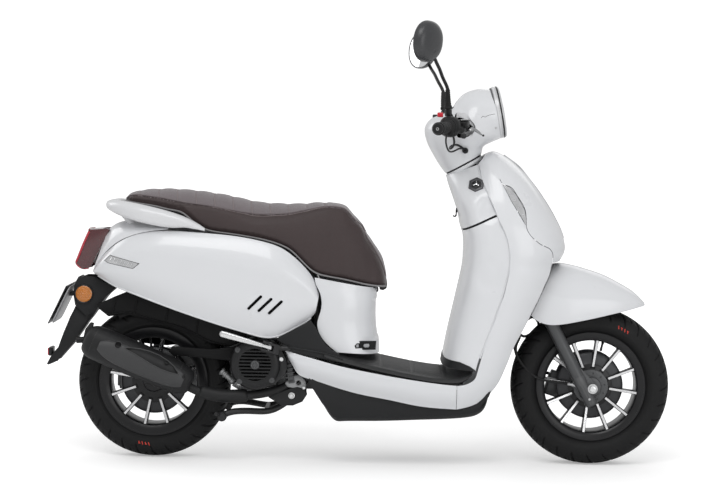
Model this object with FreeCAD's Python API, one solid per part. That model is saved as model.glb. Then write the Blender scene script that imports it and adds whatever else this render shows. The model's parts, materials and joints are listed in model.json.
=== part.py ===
import FreeCAD, Part
import math
import os

# Step-through moped scooter, built as an assembly of separate parts.
# Frame: +X forward, +Y to the rider's left, +Z up, millimetres.
# Origin: on the ground, in the centre plane, under the middle of the overall length.

Vec = FreeCAD.Vector
ORIGIN, LEFT, UP = Vec(0, 0, 0), Vec(0, 1, 0), Vec(0, 0, 1)

# ---------------------------------------------------------------- driving sizes
FRONT_RADIUS, REAR_RADIUS = 236.4, 229.4        # tyre radii
FRONT_AXLE = Vec(697.8, 0, FRONT_RADIUS)
REAR_AXLE = Vec(-608.2, 0, REAR_RADIUS)
FRONT_HALF_WIDTH, REAR_HALF_WIDTH = 60.0, 55.0  # of the tyres
RIM_FLANGE, RIM_SEAT = 163.0, 152.4             # rim radii
FRONT_RIM_INNER, REAR_RIM_INNER = 138.5, 131.5  # inner radii of the rim barrels
SPOKES = 12
DISC_Y, DISC_THICKNESS = 44.1, 4.0
FRONT_DISC_RADIUS, REAR_DISC_RADIUS = 102.0, 97.0

RAKE = 27.5                                     # steering axis from vertical, degrees
STEER_ORIGIN = Vec(637, 0, 305)                 # zero point on the steering axis
HEAD_LOW, HEAD_HIGH = 318.0, 520.0              # ends of the head tube along that axis
STEM_RADIUS = 14.0
LEG_Y = 88.0                                    # fork leg offset from the centre plane
STANCHION_RADIUS, SLIDER_RADIUS = 15.0, 19.0
SLIDER_LOW, SLIDER_HIGH = -136.0, 165.0         # slider ends along the steering axis

SWING_PIVOT = Vec(-150, 0, 245)                 # engine hanger pivot
CRANK = Vec(-299, 0, 297)                       # crankshaft centre
CLUTCH = REAR_AXLE + Vec(22, 0, 6)              # centre of the cover's rear boss
KICK = Vec(-395, 0, 262)                        # kick starter shaft
STAND_PIVOT = Vec(-189, 0, 190)
SHOCK_Y = 115.0
SHOCK_LOW = Vec(-612, SHOCK_Y, 318)
SHOCK_HIGH = Vec(-560, SHOCK_Y, 598)
SEAT_HINGE = Vec(52, 0, 513)
IGNITION = Vec(336, 0, 838)
PEG_X, PEG_Y, PEG_Z, PEG_TILT = -256, 184, 352.0, 15   # folding footrest pivots
BAR_INNER, BAR_OUTER = Vec(252, -215, 1002), Vec(219, -345, 996)   # right handlebar end
BAR_RADIUS = 10.8
SHELL = 3.0                                     # plastic panel thickness

parts = {}


# ---------------------------------------------------------------- helpers
def unit(vector):
    return vector * (1.0 / vector.Length)


def vecs(points):
    return [Vec(p) for p in points]


def flip(point):
    """The same point on the other side of the centre plane."""
    return Vec(point.x, -point.y, point.z)


def at_y(point, y):
    return Vec(point.x, y, point.z)


def lerp(a, b, t):
    return a + (b - a) * t


STEER_UP = Vec(-math.sin(math.radians(RAKE)), 0, math.cos(math.radians(RAKE)))
STEER_AHEAD = Vec(math.cos(math.radians(RAKE)), 0, math.sin(math.radians(RAKE)))


def steer(up, ahead=0.0, y=0.0):
    """Point given along, ahead of and beside the steering axis."""
    return STEER_ORIGIN + STEER_UP * up + STEER_AHEAD * ahead + LEFT * y


def cyl(start, end, radius):
    start, end = Vec(start), Vec(end)
    along = end - start
    return Part.makeCylinder(radius, along.Length, start, along)


def cross(at, y0, y1, radius):
    """Cylinder along Y through the x and z of a point."""
    at = Vec(at)
    return cyl(at_y(at, y0), at_y(at, y1), radius)


def tube(start, end, outer, inner):
    step = unit(end - start)
    return cyl(start, end, outer).cut(cyl(start - step, end + step, inner))


def cross_tube(at, y0, y1, outer, inner):
    return tube(at_y(at, y0), at_y(at, y1), outer, inner)


def cone(start, end, radius0, radius1):
    along = end - start
    return Part.makeCone(radius0, radius1, along.Length, start, along)


def sphere(centre, radius):
    return Part.makeSphere(radius, centre)


def box(x0, x1, y0, y1, z0, z1, fillet=0.0):
    solid = Part.makeBox(x1 - x0, y1 - y0, z1 - z0, Vec(x0, y0, z0))
    return solid.makeFillet(fillet, solid.Edges) if fillet else solid


def fuse(shapes):
    return shapes[0].multiFuse(shapes[1:]).removeSplitter()


def run(points, radius):
    """Round bar through points, with ball corners."""
    points = vecs(points)
    bars = [cyl(a, b, radius) for a, b in zip(points, points[1:])]
    return fuse(bars + [sphere(p, radius) for p in points[1:-1]])


def spline_bar(points, radius):
    """Round bar along a smooth curve through points."""
    points = vecs(points)
    curve = Part.BSplineCurve()
    curve.interpolate(points)
    tangent = curve.tangent(curve.FirstParameter)[0]
    profile = Part.Wire([Part.makeCircle(radius, points[0], tangent)])
    return Part.Wire([curve.toShape()]).makePipeShell([profile], True, True)


def closed(points):
    points = vecs(points)
    return Part.makePolygon(points + [points[0]])


def prism(outline, y0, y1):
    """Polygon of (x, z) pushed along Y."""
    return Part.Face(closed([(x, y0, z) for x, z in outline])).extrude(LEFT * (y1 - y0))


def mirror(shape):
    return shape.mirror(ORIGIN, LEFT)


def both(shape):
    return Part.makeCompound([shape, mirror(shape)])


def place(shape, angle, at):
    """Turn a shape about the Y axis, then move the origin to a point."""
    shape.rotate(ORIGIN, LEFT, angle)
    shape.translate(at)
    return shape


def arch(centre_x, centre_z, side_x, side_z, half_width, power):
    """Superellipse section across the centre plane, from the right side to the left."""
    half = []
    for k in range(7):
        angle = k / 6 * math.pi / 2
        rise = math.sin(angle) ** (2.0 / power)
        spread = math.cos(angle) ** (2.0 / power)
        x, z = lerp(side_x, centre_x, rise), lerp(side_z, centre_z, rise)
        half.append(Vec(x, -half_width * spread, z))
    return half + [flip(p) for p in reversed(half[:-1])]


def arches(stations, inset=0.0, side_back=0.0):
    """Grid of arches; every station is the six arguments of arch."""
    return [arch(cx, cz, sx - side_back, sz, half_width - inset, power)
            for cx, cz, sx, sz, half_width, power in stations]


def skin(grid, thickness):
    """Closed panel: the surface through the grid, thickened against its normal."""
    rows, columns = len(grid), len(grid[0])
    offset = []
    for i in range(rows):
        row = []
        for j in range(columns):
            du = grid[min(i + 1, rows - 1)][j] - grid[max(i - 1, 0)][j]
            dv = grid[i][min(j + 1, columns - 1)] - grid[i][max(j - 1, 0)]
            row.append(grid[i][j] - unit(du.cross(dv)) * thickness)
        offset.append(row)
    face, back = Part.BSplineSurface(), Part.BSplineSurface()
    face.interpolate(grid)
    back.interpolate(offset)
    faces = [face.toShape(), back.toShape()]
    u0, u1, v0, v1 = face.bounds()
    p0, p1, q0, q1 = back.bounds()
    for edge, back_edge in (
        (face.uIso(u0), back.uIso(p0)),
        (face.uIso(u1), back.uIso(p1)),
        (face.vIso(v0), back.vIso(q0)),
        (face.vIso(v1), back.vIso(q1)),
    ):
        faces.append(Part.makeRuledSurface(edge.toShape(), back_edge.toShape()))
    shell = Part.makeShell(faces)
    shell.sewShape()
    solid = Part.makeSolid(shell)
    if solid.Volume < 0:
        solid.reverse()
    return solid


def ring(centre, side, up, half_side, half_up, power, count):
    """Closed superellipse of points in the plane of two unit vectors."""
    points = []
    for k in range(count):
        angle = 2 * math.pi * k / count
        c, s = math.cos(angle), math.sin(angle)
        points.append(
            centre
            + side * (half_side * math.copysign(abs(c) ** (2.0 / power), c))
            + up * (half_up * math.copysign(abs(s) ** (2.0 / power), s))
        )
    return points


def loft(rings):
    """Smooth solid through rings of points."""
    wires = []
    for points in rings:
        curve = Part.BSplineCurve()
        curve.interpolate(points, PeriodicFlag=True)
        wires.append(Part.Wire([curve.toShape()]))
    return Part.makeLoft(wires, True, False)


def ruled_loft(outlines):
    """Straight-sided solid through polygons."""
    return Part.makeLoft([closed(outline) for outline in outlines], True, True)


# ================================================================ wheels
def mirrored(profile):
    """The (radius, y) profile on the other side of the wheel, in reverse order."""
    return [(radius, -y) for radius, y in reversed(profile)]


def profile_curve(centre, profile):
    points = [Vec(centre.x + radius, y, centre.z) for radius, y in profile]
    curve = Part.BSplineCurve()
    curve.interpolate(points)
    return curve.toShape(), points[0], points[-1]


def tyre(centre, half_width):
    """Hollow carcass, open between its beads."""
    radius = centre.z
    height = radius - RIM_SEAT
    outer = [
        (RIM_SEAT + 1, -41), (RIM_SEAT + 9, -45.5), (RIM_SEAT + 26, -half_width + 2),
        (RIM_SEAT + 0.55 * height, -half_width), (radius - 16, -half_width + 8),
        (radius - 5.5, -half_width + 24), (radius - 0.9, -half_width + 44), (radius, 0),
    ]
    inner = [
        (RIM_SEAT + 1, 31), (RIM_SEAT + 12, 33), (RIM_SEAT + 0.52 * height, half_width - 8),
        (radius - 19, half_width - 16), (radius - 10, 0),
    ]
    outside, outside_start, outside_end = profile_curve(centre, outer + mirrored(outer[:-1]))
    inside, inside_start, inside_end = profile_curve(centre, inner + mirrored(inner[:-1]))
    wire = Part.Wire([outside, Part.makeLine(outside_end, inside_start),
                      inside, Part.makeLine(inside_end, outside_start)])
    return Part.Face(wire).revolve(centre, LEFT, 360)


def rim(centre, inner, first_spoke):
    """Drop-centre barrel with hub, hub flange and tapering spokes."""
    half = [
        (inner, 46), (RIM_SEAT - 5, 50), (RIM_FLANGE - 3, 51.5), (RIM_FLANGE, 50.5),
        (RIM_FLANGE - 1.5, 46), (RIM_SEAT, 43.5), (RIM_SEAT, 29), (inner + 5, 20),
    ]
    profile = closed([(centre.x + r, y, centre.z) for r, y in half + mirrored(half)])
    barrel = Part.Face(profile).revolve(centre, LEFT, 360)
    shapes = [barrel, cross(centre, -40, 44, 34), cross(centre, -30, -14, 67)]
    for k in range(SPOKES):
        # (radius, half thickness, right y, left y); the outer end lies near the right-hand lip
        sections = []
        for r, half_t, y0, y1 in ((58.0, 5.0, -33.0, -13.0), (inner + 3.0, 4.2, -44.0, -18.0)):
            sections.append([(r, y0, -half_t * 0.72), (r, y0, half_t * 0.72),
                             (r, y1, half_t), (r, y1, -half_t)])
        shapes.append(place(ruled_loft(sections), -(first_spoke + 360.0 * k / SPOKES), centre))
    # bearing seats and the axle bore
    wheel_rim = fuse(shapes).cut(cross(centre, -41, -28, 16.0))
    return wheel_rim.cut(cross(centre, 30, 45, 16.0)).cut(cross(centre, -60, 60, 11.0))


def brake_disc(centre, radius):
    """Disc on the left of the hub, with six round holes."""
    back, front = DISC_Y - 1, DISC_Y + DISC_THICKNESS + 1
    disc = cross(centre, DISC_Y, DISC_Y + DISC_THICKNESS, radius)
    disc = disc.cut(cross(centre, back, front, 25))
    for k in range(6):
        angle = math.radians(60 * k)
        hole = centre + Vec(78 * math.cos(angle), 0, 78 * math.sin(angle))
        disc = disc.cut(cross(hole, back, front, 7))
    return disc


parts["front_tyre"] = tyre(FRONT_AXLE, FRONT_HALF_WIDTH)
parts["front_rim"] = rim(FRONT_AXLE, FRONT_RIM_INNER, first_spoke=22.5)
parts["front_brake_disc"] = brake_disc(FRONT_AXLE, FRONT_DISC_RADIUS)
parts["rear_tyre"] = tyre(REAR_AXLE, REAR_HALF_WIDTH)
parts["rear_rim"] = rim(REAR_AXLE, REAR_RIM_INNER, first_spoke=19.0)
parts["rear_brake_disc"] = brake_disc(REAR_AXLE, REAR_DISC_RADIUS)

parts["front_wheel_bearings"] = Part.makeCompound([
    cross_tube(FRONT_AXLE, -39.9, -28.1, 15.95, 6.06),
    cross_tube(FRONT_AXLE, 30.1, 43.9, 15.95, 6.06),
])
# front axle with head and nut
parts["front_axle"] = fuse([
    cross(FRONT_AXLE, -108, 108, 6.0),
    cross(FRONT_AXLE, -115, -107, 10.5),
    cross(FRONT_AXLE, 107, 115, 9.5),
])
# speedometer drive on the right of the hub and spacer on the left, round the axle
drive = cross_tube(FRONT_AXLE, -66, -41, 30, 6.3)
drive = drive.fuse(cross_tube(FRONT_AXLE, -54, -48, 51, 29)).removeSplitter()
cable_socket = cyl(FRONT_AXLE + Vec(-40, -51, 3), FRONT_AXLE + Vec(-72, -51, 8), 5.5)
drive = drive.fuse(cable_socket).removeSplitter()
parts["speedometer_drive"] = Part.makeCompound(
    [drive, cross_tube(FRONT_AXLE, 48.5, 66, 11, 6.3)])

# ================================================================ fork
AXLE_UP = (FRONT_AXLE - STEER_ORIGIN).dot(STEER_UP)
AXLE_AHEAD = (FRONT_AXLE - STEER_ORIGIN).dot(STEER_AHEAD)


def fork_slider(y):
    """Hollow leg with a forward web that carries the axle eye."""
    leg = fuse([
        cyl(steer(SLIDER_LOW, y=y), steer(SLIDER_HIGH, y=y), SLIDER_RADIUS),
        cyl(steer(SLIDER_HIGH - 22, y=y), steer(SLIDER_HIGH, y=y), SLIDER_RADIUS + 1.5),
        cross(FRONT_AXLE, y - 17, y + 17, 15.5),
        cyl(steer(AXLE_UP + 26, y=y), steer(AXLE_UP + 50, y=y), SLIDER_RADIUS + 1.0),
    ])
    outline = [(AXLE_UP - 15, 0), (AXLE_UP - 15, AXLE_AHEAD), (AXLE_UP + 12, AXLE_AHEAD + 6),
               (AXLE_UP + 85, 14), (AXLE_UP + 85, 0)]
    face = Part.Face(closed([steer(up, ahead, y - 9) for up, ahead in outline]))
    leg = fuse([leg, face.extrude(LEFT * 18)])
    bore = cyl(steer(SLIDER_LOW + 24, y=y), steer(SLIDER_HIGH + 1, y=y), STANCHION_RADIUS + 0.1)
    return leg.cut(bore).cut(cross(FRONT_AXLE, y - 40, y + 40, 6.05))


caliper_bracket = prism([(617, 262), (650, 226), (668, 232), (655, 268), (630, 282)], 62, 70)
parts["fork_sliders"] = Part.makeCompound(
    [fork_slider(-LEG_Y), fuse([fork_slider(LEG_Y), caliper_bracket])])

parts["front_caliper"] = fuse([
    box(577, 622, 49.5, 61.5, 196, 268, 4),
    box(577, 622, 27.5, 42.5, 196, 268, 4),
    box(572, 592, 30, 59, 204, 260, 3),
    cross((600, 0, 216), 61, 66, 13),
    cross((600, 0, 248), 61, 66, 13),
])

# steering stem, lower yoke and stanchions: one part
parts["steering_stem_yoke"] = fuse([
    cyl(steer(262), steer(742), STEM_RADIUS),
    place(box(-30, 30, -107, 107, 0, 26, 7), -RAKE, steer(255)),
    cyl(steer(281), steer(300), 24.0),
    cyl(steer(40, y=-LEG_Y), steer(282, y=-LEG_Y), STANCHION_RADIUS),
    cyl(steer(40, y=LEG_Y), steer(282, y=LEG_Y), STANCHION_RADIUS),
])
parts["steering_bearings"] = Part.makeCompound([
    tube(steer(301), steer(HEAD_LOW - 0.3), 24, STEM_RADIUS + 0.1),
    tube(steer(HEAD_HIGH + 0.3), steer(HEAD_HIGH + 16), 24, STEM_RADIUS + 0.1),
])

# ================================================================ frame
# head tube and down tube
tubes = [
    cyl(steer(HEAD_LOW), steer(HEAD_HIGH), 26),
    run([steer(370, -8), (372, 0, 560), (330, 0, 420), (318, 0, 300), (300, 0, 236)], 19),
]
# side rails and hanger lugs
for side in (-1, 1):
    y = side * 75
    tubes.append(run([
        (300, side * 10, 236), (262, y, 222), (-60, y, 212), (-98, side * 84, 240),
        (-112, side * 100, 330), (-122, side * 104, 500), (-200, side * 104, 560),
        (-470, side * 96, 640), (-700, side * 70, 652),
    ], 11))
    tubes.append(box(-168, -96, side * 100 - 4, side * 100 + 4, 222, 270))
# cross tubes: x, z, half length
for x, z, half_length in (
    (230, 221, 75), (60, 216, 75), (-50, 213, 75), (-118, 420, 104), (-470, 640, 96), (-700, 652, 70),
):
    tubes.append(cross((x, 0, z), -half_length, half_length, 9))
# shock absorber plate and pin
tubes.append(prism([(-575, 585), (-545, 585), (-545, 648), (-575, 648)], 84, 98))
tubes.append(cross(SHOCK_HIGH, 92, 124.5, 5.9))
# gusset behind the head tube
gusset = Part.Face(closed([steer(325, -20, -3), steer(470, -20, -3), (366, -3, 560)]))
tubes.append(gusset.extrude(LEFT * 6))
# footrest arms
for side in (-1, 1):
    y = side * 104
    tubes.append(run([(-118, y, 372), (-165, side * 140, 352), (-205, side * 182, 350),
                      (-232, side * PEG_Y, 350)], 7.0))
    tubes.append(cyl((-118, y, 350), (-118, y, 380), 11))
frame = fuse(tubes).cut(cyl(steer(HEAD_LOW - 2), steer(HEAD_HIGH + 2), 19.5))
frame = frame.cut(cross(SWING_PIVOT, -120, 120, 7.1))
# a clevis with its pin for each folding footrest
PEG_AXIS = Vec(math.sin(math.radians(PEG_TILT)), 0, math.cos(math.radians(PEG_TILT)))
for side in (-1, 1):
    pivot = Vec(PEG_X, side * PEG_Y, PEG_Z)
    clevis = box(-22, 30, -11, 11, -14, 14).cut(box(-23, 13, -12, 12, -8.2, 8.2))
    clevis = place(clevis, PEG_TILT, pivot)
    frame = frame.fuse(clevis.fuse(cyl(pivot - PEG_AXIS * 14, pivot + PEG_AXIS * 14, 4.0)))
parts["frame"] = frame.removeSplitter()

# bolt through the frame lugs and the engine ears
parts["hanger_bolt"] = fuse([
    cross(SWING_PIVOT, -112, 112, 7.0),
    cross(SWING_PIVOT, -119, -111, 12),
    cross(SWING_PIVOT, 111, 119, 12),
])

# ================================================================ bodywork, front
# Arch stations here and below: centre x, centre z, side x, side z, half width, power.
SHIELD = [  # from the top edge downwards
    (371, 924, 349, 896, 84, 2.3), (392, 932, 353, 878, 106, 2.3),
    (415, 927, 358, 852, 128, 2.3), (452, 904, 371, 820, 150, 2.3),
    (493, 866, 386, 787, 168, 2.3), (539, 808, 401, 748, 182, 2.3),
    (575, 752, 415, 718, 190, 2.3), (603, 699, 427, 692, 194, 2.3),
    (614, 660, 437, 655, 196, 2.3), (612, 634, 441, 622, 196, 2.3),
    (600, 610, 440, 604, 196, 2.3),
]
# (x, z) outlines of the indicator opening and of the lens in it
LENS_OPENING = [(416, 836), (439, 831), (460, 806), (484, 762), (485, 719), (470, 741), (444, 788)]
LENS = [(417.8, 834.9), (438.4, 829.2), (458.8, 804.9), (482.8, 761.4), (483.6, 724),
        (471, 743.4), (445.4, 788.8)]
opening = prism(LENS_OPENING, -260, 0)
shield = skin(arches(SHIELD), -SHELL)
parts["front_shield"] = shield.cut(opening).cut(mirror(opening))
lens = skin(arches(SHIELD, inset=1.5), -2.0).common(prism(LENS, -260, 0))
parts["front_indicators"] = both(lens)

# lower wings, from the seam with the inner panel to the wheel opening
WING = [  # seam x, z, half width; edge x, z, half width
    (440, 601, 196, 574, 600, 132), (438, 580, 196, 560, 578, 142),
    (432, 550, 195, 546, 545, 148), (424, 515, 194, 531, 509, 152),
    (412, 480, 193, 514, 474, 154), (399, 440, 192, 497, 437, 156),
    (384, 400, 191, 477, 398, 157), (371, 360, 190, 458, 360, 158),
    (360, 320, 189, 443, 320, 158), (352, 285, 188, 428, 285, 157),
    # round the foot of the wing to the joint with the side skirt
    (343, 268, 188, 412, 252, 157), (330, 258, 188.5, 391, 226, 160),
    (313, 251, 189, 366, 203, 165), (300, 249, 189, 330, 186, 171),
    (293.5, 248, 189, 294, 177, 176),
]
WING_BULGE = 6
grid = []
for seam_x, seam_z, seam_w, edge_x, edge_z, edge_w in WING:
    row = []
    for k in range(5):
        t = k / 4.0
        bulge = 4 * t * (1 - t) * WING_BULGE
        y = -(lerp(seam_w, edge_w, t) + bulge)
        row.append(Vec(lerp(seam_x, edge_x, t), y, lerp(seam_z, edge_z, t)))
    grid.append(row)
parts["leg_wings"] = both(skin(grid, -SHELL))

# side skirts under the floor edge
SKIRT = [  # x, top z, bottom z, half width
    (-209, 341, 338, 166), (-196, 338, 305, 170), (-170, 331, 272, 175), (-130, 321, 257, 180),
    (-60, 303, 236, 186), (20, 287, 217, 190), (100, 273, 203, 191), (180, 261, 186, 191),
    (250, 252, 179, 190), (291, 249, 177, 189),
]
SKIRT_BULGE, SKIRT_TUCK = 5, 12   # outwards at mid height, inwards at the bottom
grid = []
for x, top, bottom, half_width in SKIRT:
    row = []
    for k in range(5):
        t = k / 4.0
        y = -(half_width + SKIRT_BULGE * math.sin(math.pi * t) - SKIRT_TUCK * t)
        row.append(Vec(x, y, lerp(top, bottom, t)))
    grid.append(row)
parts["side_skirts"] = both(skin(grid, SHELL))

# centre trim strip down the front of the shield: (x, z), narrowing downwards
TRIM = [(443, 911), (474, 891), (493, 868), (518, 837), (539, 810), (564, 773), (585, 735),
        (603, 701), (613, 672)]
last = len(TRIM) - 1
grid = []
for i, (x, z) in enumerate(TRIM):
    above, below = TRIM[max(i - 1, 0)], TRIM[min(i + 1, last)]
    along = unit(Vec(below[0] - above[0], 0, below[1] - above[1]))
    outward = Vec(-along.z, 0, along.x)
    half_width = 15 - 6 * i / last
    middle = Vec(x, 0, z) + outward * 5.6
    grid.append([middle + LEFT * (half_width * across) - outward * drop for across, drop in
                 ((-1, 2.6), (-0.5, 0.6), (0, 0), (0.5, 0.6), (1, 2.6))])
parts["front_trim_strip"] = skin(grid, -1.4)

# inner leg shield in two panels; the side points are the seams
INNER_UPPER = [
    (256.5, 859, 349, 896, 82, 3.2), (263, 835, 353, 868, 112, 3.4),
    (274, 805, 366, 830, 142, 3.6), (284, 778, 382, 796, 163, 3.8),
    (296, 740, 397, 762, 176, 3.8), (303, 706, 409, 733, 183, 3.8),
]
INNER_LOWER = [
    (306, 697, 411, 724, 186, 3.8), (313, 663, 428, 690, 189, 3.8),
    (313, 629, 438, 640, 191, 3.8), (311, 595, 437, 592, 191, 3.6),
    (304, 557, 429, 556, 190, 3.4), (295, 515, 420, 520, 189, 3.2),
    (281, 450, 399, 450, 188, 3.2), (268, 390, 378, 390, 187, 3.2),
    (256, 330, 360, 330, 186, 3.2),
]
upper = skin(arches(INNER_UPPER, inset=4, side_back=2.5), SHELL)
parts["inner_shield_upper"] = upper.cut(cross(IGNITION, -200, -60, 17))
parts["inner_shield_lower"] = skin(arches(INNER_LOWER, inset=4, side_back=3.0), SHELL)

# floor board, drawn in where it rises at the front
FLOOR_LINE = [(-92, 337), (-60, 327), (0, 312), (67, 297), (120, 286), (169, 277), (236, 268),
              (286, 267), (309, 271), (329, 283), (338, 293)]   # x, z
FLOOR_SECTION = [(-184, -6), (-176, 3), (-120, 7), (-60, 11), (0, 13),
                 (60, 11), (120, 7), (176, 3), (184, -6)]       # y, rise
grid = []
for x, z in FLOOR_LINE:
    narrowing = 1.0 - max(x - 286, 0) / 400.0
    grid.append([Vec(x, y * narrowing, z + rise) for y, rise in FLOOR_SECTION])
parts["floorboard"] = skin(grid, 4.0)

# rear corners of the floor: an upright plate and a flange turned inwards
corner = prism([
    (-136, 431), (-238, 376), (-213, 362), (-205, 345), (-150, 331), (-96, 318), (-72, 336),
    (-98, 362), (-118, 400),
], -178, -174.5)
corner = corner.fuse(prism([
    (-213, 362), (-205, 345), (-150, 331), (-96, 318), (-94, 331), (-150, 345),
], -174.6, -120))
parts["floor_rear_corners"] = both(corner)

# belly pan: (x, z) outline and the hollow in it
PAN_OUTLINE = [
    (-142, 250), (-60, 131), (60, 133), (172, 138), (270, 143), (347, 153), (375, 170), (386, 205),
    (362, 192), (330, 181), (287, 173.5), (220, 175), (153, 184), (108, 194), (69, 204), (-60, 229),
]
PAN_HOLLOW = [
    (-150, 236), (-150, 262), (-58, 245), (150, 200), (330, 200), (384, 230), (384, 196),
    (368, 174), (343, 158), (270, 148), (172, 143), (60, 138), (-57, 136), (-128, 236),
]
parts["belly_pan"] = prism(PAN_OUTLINE, -170, 170).cut(prism(PAN_HOLLOW, -166, 166))

# ================================================================ bodywork, rear
SIDE_PANEL = [  # from the rear: top x, z, bottom x, z, half width
    (-787, 566, -777, 548, 96), (-766, 596, -752, 536, 118), (-732, 630, -715, 518, 138),
    (-685, 660, -672, 503, 154), (-628, 678, -620, 485, 166), (-558, 685, -556, 463, 176),
    (-463, 681, -470, 435, 184), (-362, 673, -385, 409, 188), (-275, 657, -310, 388, 187),
    (-228, 641, -262, 379, 185), (-190, 616, -222, 389, 181), (-156, 583, -180, 411, 177),
    (-128, 543, -146, 431, 173), (-113, 500, -120, 456, 169),
]
TOP_TUCK, BOTTOM_TUCK = 30, 20    # how far the panel turns in at its edges
SLOTS = [((-316, 466), (-282, 499)), ((-286, 460), (-252, 491)), ((-256, 452), (-222, 483))]
SLOT_HALF_HEIGHT = 4
REAR_LENS = [(-749, 594), (-731, 611), (-640, 589), (-660, 573), (-737, 587)]   # x, z


def side_grid(inward=0.0):
    rows = []
    for i, (top_x, top_z, bottom_x, bottom_z, half_width) in enumerate(SIDE_PANEL):
        u = i / (len(SIDE_PANEL) - 1.0)
        fade = 1 - 0.5 * max(0, u - 0.9) / 0.1     # less tuck at the front end
        row = []
        for k in range(7):
            t = k / 6.0
            tuck = (TOP_TUCK * max(0.0, 1 - t / 0.32) ** 2
                    + BOTTOM_TUCK * max(0.0, (t - 0.55) / 0.45) ** 2)
            y = -(half_width - tuck * fade) + inward
            row.append(Vec(lerp(top_x, bottom_x, t), y, lerp(top_z, bottom_z, t)))
        rows.append(row)
    return rows


def shrink(outline, factor):
    """Scale an outline about the mean of its points."""
    mid_x = sum(x for x, z in outline) / len(outline)
    mid_z = sum(z for x, z in outline) / len(outline)
    return [(mid_x + (x - mid_x) * factor, mid_z + (z - mid_z) * factor) for x, z in outline]


panel = skin(side_grid(), SHELL)
for (x0, z0), (x1, z1) in SLOTS:
    low, high = Vec(x0, -220, z0), Vec(x1, -220, z1)
    along = unit(high - low)
    half = Vec(-along.z, 0, along.x) * SLOT_HALF_HEIGHT
    slot = Part.Face(closed([low - half, high - half, high + half, low + half]))
    panel = panel.cut(slot.extrude(LEFT * 100))
parts["side_panels"] = both(panel.cut(prism(REAR_LENS, -230, -60)))
lens = skin(side_grid(inward=1.0), 2.0).common(prism(shrink(REAR_LENS, 0.93), -230, -60))
parts["rear_indicators"] = both(lens)

# tail cover between the side panels, from behind the seat to the tail lamp
TAIL_COVER = [
    (-560, 700, -560, 690, 146, 2.6), (-610, 706, -620, 682, 140, 2.6),
    (-660, 711, -680, 665, 128, 2.6), (-700, 707, -728, 636, 112, 2.6),
    (-728, 698, -763, 600, 94, 2.6), (-745, 686, -785, 569, 80, 2.6),
]
parts["tail_cover"] = skin(arches(TAIL_COVER, inset=4), -SHELL)

# tail lamp: shell with rounded sides over a bowl
LAMP_HALF_WIDTH = 58
lamp = prism([(-806, 683), (-758, 686), (-799, 566), (-826, 562), (-845, 582)],
             -LAMP_HALF_WIDTH, LAMP_HALF_WIDTH)
lamp = lamp.makeFillet(7, [edge for edge in lamp.Edges
                           if abs(abs(edge.CenterOfMass.y) - LAMP_HALF_WIDTH) < 1e-3])
parts["tail_lamp_lens"] = lamp.cut(
    prism([(-803, 680), (-757, 683), (-801, 560), (-824, 562), (-841, 583)], -54.5, 54.5))
parts["tail_lamp_bowl"] = prism([(-792, 668), (-768, 668), (-800, 580), (-822, 580)], -44, 44)

# cover under the front of the seat; the side points are its rear edge
UNDER_SEAT = [
    (54, 508, -126, 537, 150, 3.0), (56, 490, -112, 512, 152, 3.0),
    (56, 450, -108, 462, 154, 3.0), (58, 410, -118, 420, 156, 3.0),
    (64, 365, -98, 372, 158, 3.0), (66, 338, -60, 346, 158, 3.0),
]
cover = skin(arches(UNDER_SEAT), -SHELL).cut(box(-140, 80, -170, 170, 300, 338.5))
parts["under_seat_cover"] = cover.cut(box(24, 80, -30, 30, 488, 530))

# ================================================================ seat
SEAT = [  # x, top z, piping z, low z, half width at the piping, half width at the side
    (-683, 778, 772, 768, 60, 66), (-664, 795, 784, 764, 84, 92),
    (-600, 804, 781, 755, 104, 114), (-521, 803, 769, 737, 114, 124),
    (-446, 795, 760, 700, 120, 130), (-389, 786, 750, 688, 122, 134),
    (-310, 768, 738, 675, 122, 138), (-258, 764, 737, 660, 120, 140),
    (-205, 764, 741, 640, 116, 140), (-153, 767, 751, 592, 110, 138),
    (-111, 770, 760, 566, 104, 135), (-74, 769, 762, 556, 98, 132),
    (-48, 765, 757, 551, 92, 128), (-12, 737, 722, 542, 84, 120),
    (21, 693, 672, 534, 76, 108), (52, 634, 610, 529, 68, 92),
    (72, 590, 566, 527, 56, 74), (80, 556, 544, 527, 40, 54),
]
sections = []
for x, top, piping, low, piping_w, side_w in SEAT:
    half = [Vec(x, -y, z) for y, z in (
        (0, low), (side_w * 0.55, low), (side_w - 6, low), (side_w, lerp(low, piping, 0.25)),
        ((side_w + piping_w) / 2.0 + 1, lerp(low, piping, 0.65)), (piping_w, piping),
        (piping_w * 0.72, lerp(piping, top, 0.72)), (piping_w * 0.35, lerp(piping, top, 0.95)),
        (0, top),
    )]
    sections.append(half + [flip(p) for p in reversed(half[1:-1])])
parts["seat_cushion"] = ruled_loft(sections)

# seat pan just under the cushion, with two hinge knuckles
PAN_GAP, PAN_THICKNESS, PAN_INSET = 1.5, 6, 16
sections = []
for x, top, piping, low, piping_w, side_w in SEAT[1:-2]:
    high = low - PAN_GAP
    y = side_w - PAN_INSET
    sections.append([(x, -y, high - PAN_THICKNESS), (x, y, high - PAN_THICKNESS),
                     (x, y, high), (x, -y, high)])
knuckles = (-22, 14)              # right faces of the knuckles, each 8 wide
seat_pan = ruled_loft(sections).fuse(fuse(
    [box(28, 47, y, y + 8, 508, 526) for y in knuckles]
    + [cross(SEAT_HINGE, y, y + 8, 8) for y in knuckles]
    + [box(44, 52, y, y + 8, 505, 521) for y in knuckles]
)).removeSplitter()
parts["seat_pan"] = seat_pan.cut(cross(SEAT_HINGE, -30, 30, 4.08))
parts["seat_hinge"] = fuse([
    cross(SEAT_HINGE, -24, 24, 4.0),
    box(46.5, 57, -13, 13, 500, 511),
    box(38, 57, -13, 13, 496, 502),
    box(-12, 44, -12, 12, 496, 501),
])
parts["seat_latch"] = fuse([
    box(-520, -480, -18, 18, 644, 662, 2),
    cyl((-500, 0, 661), (-500, 0, 668), 9),
])

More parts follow.
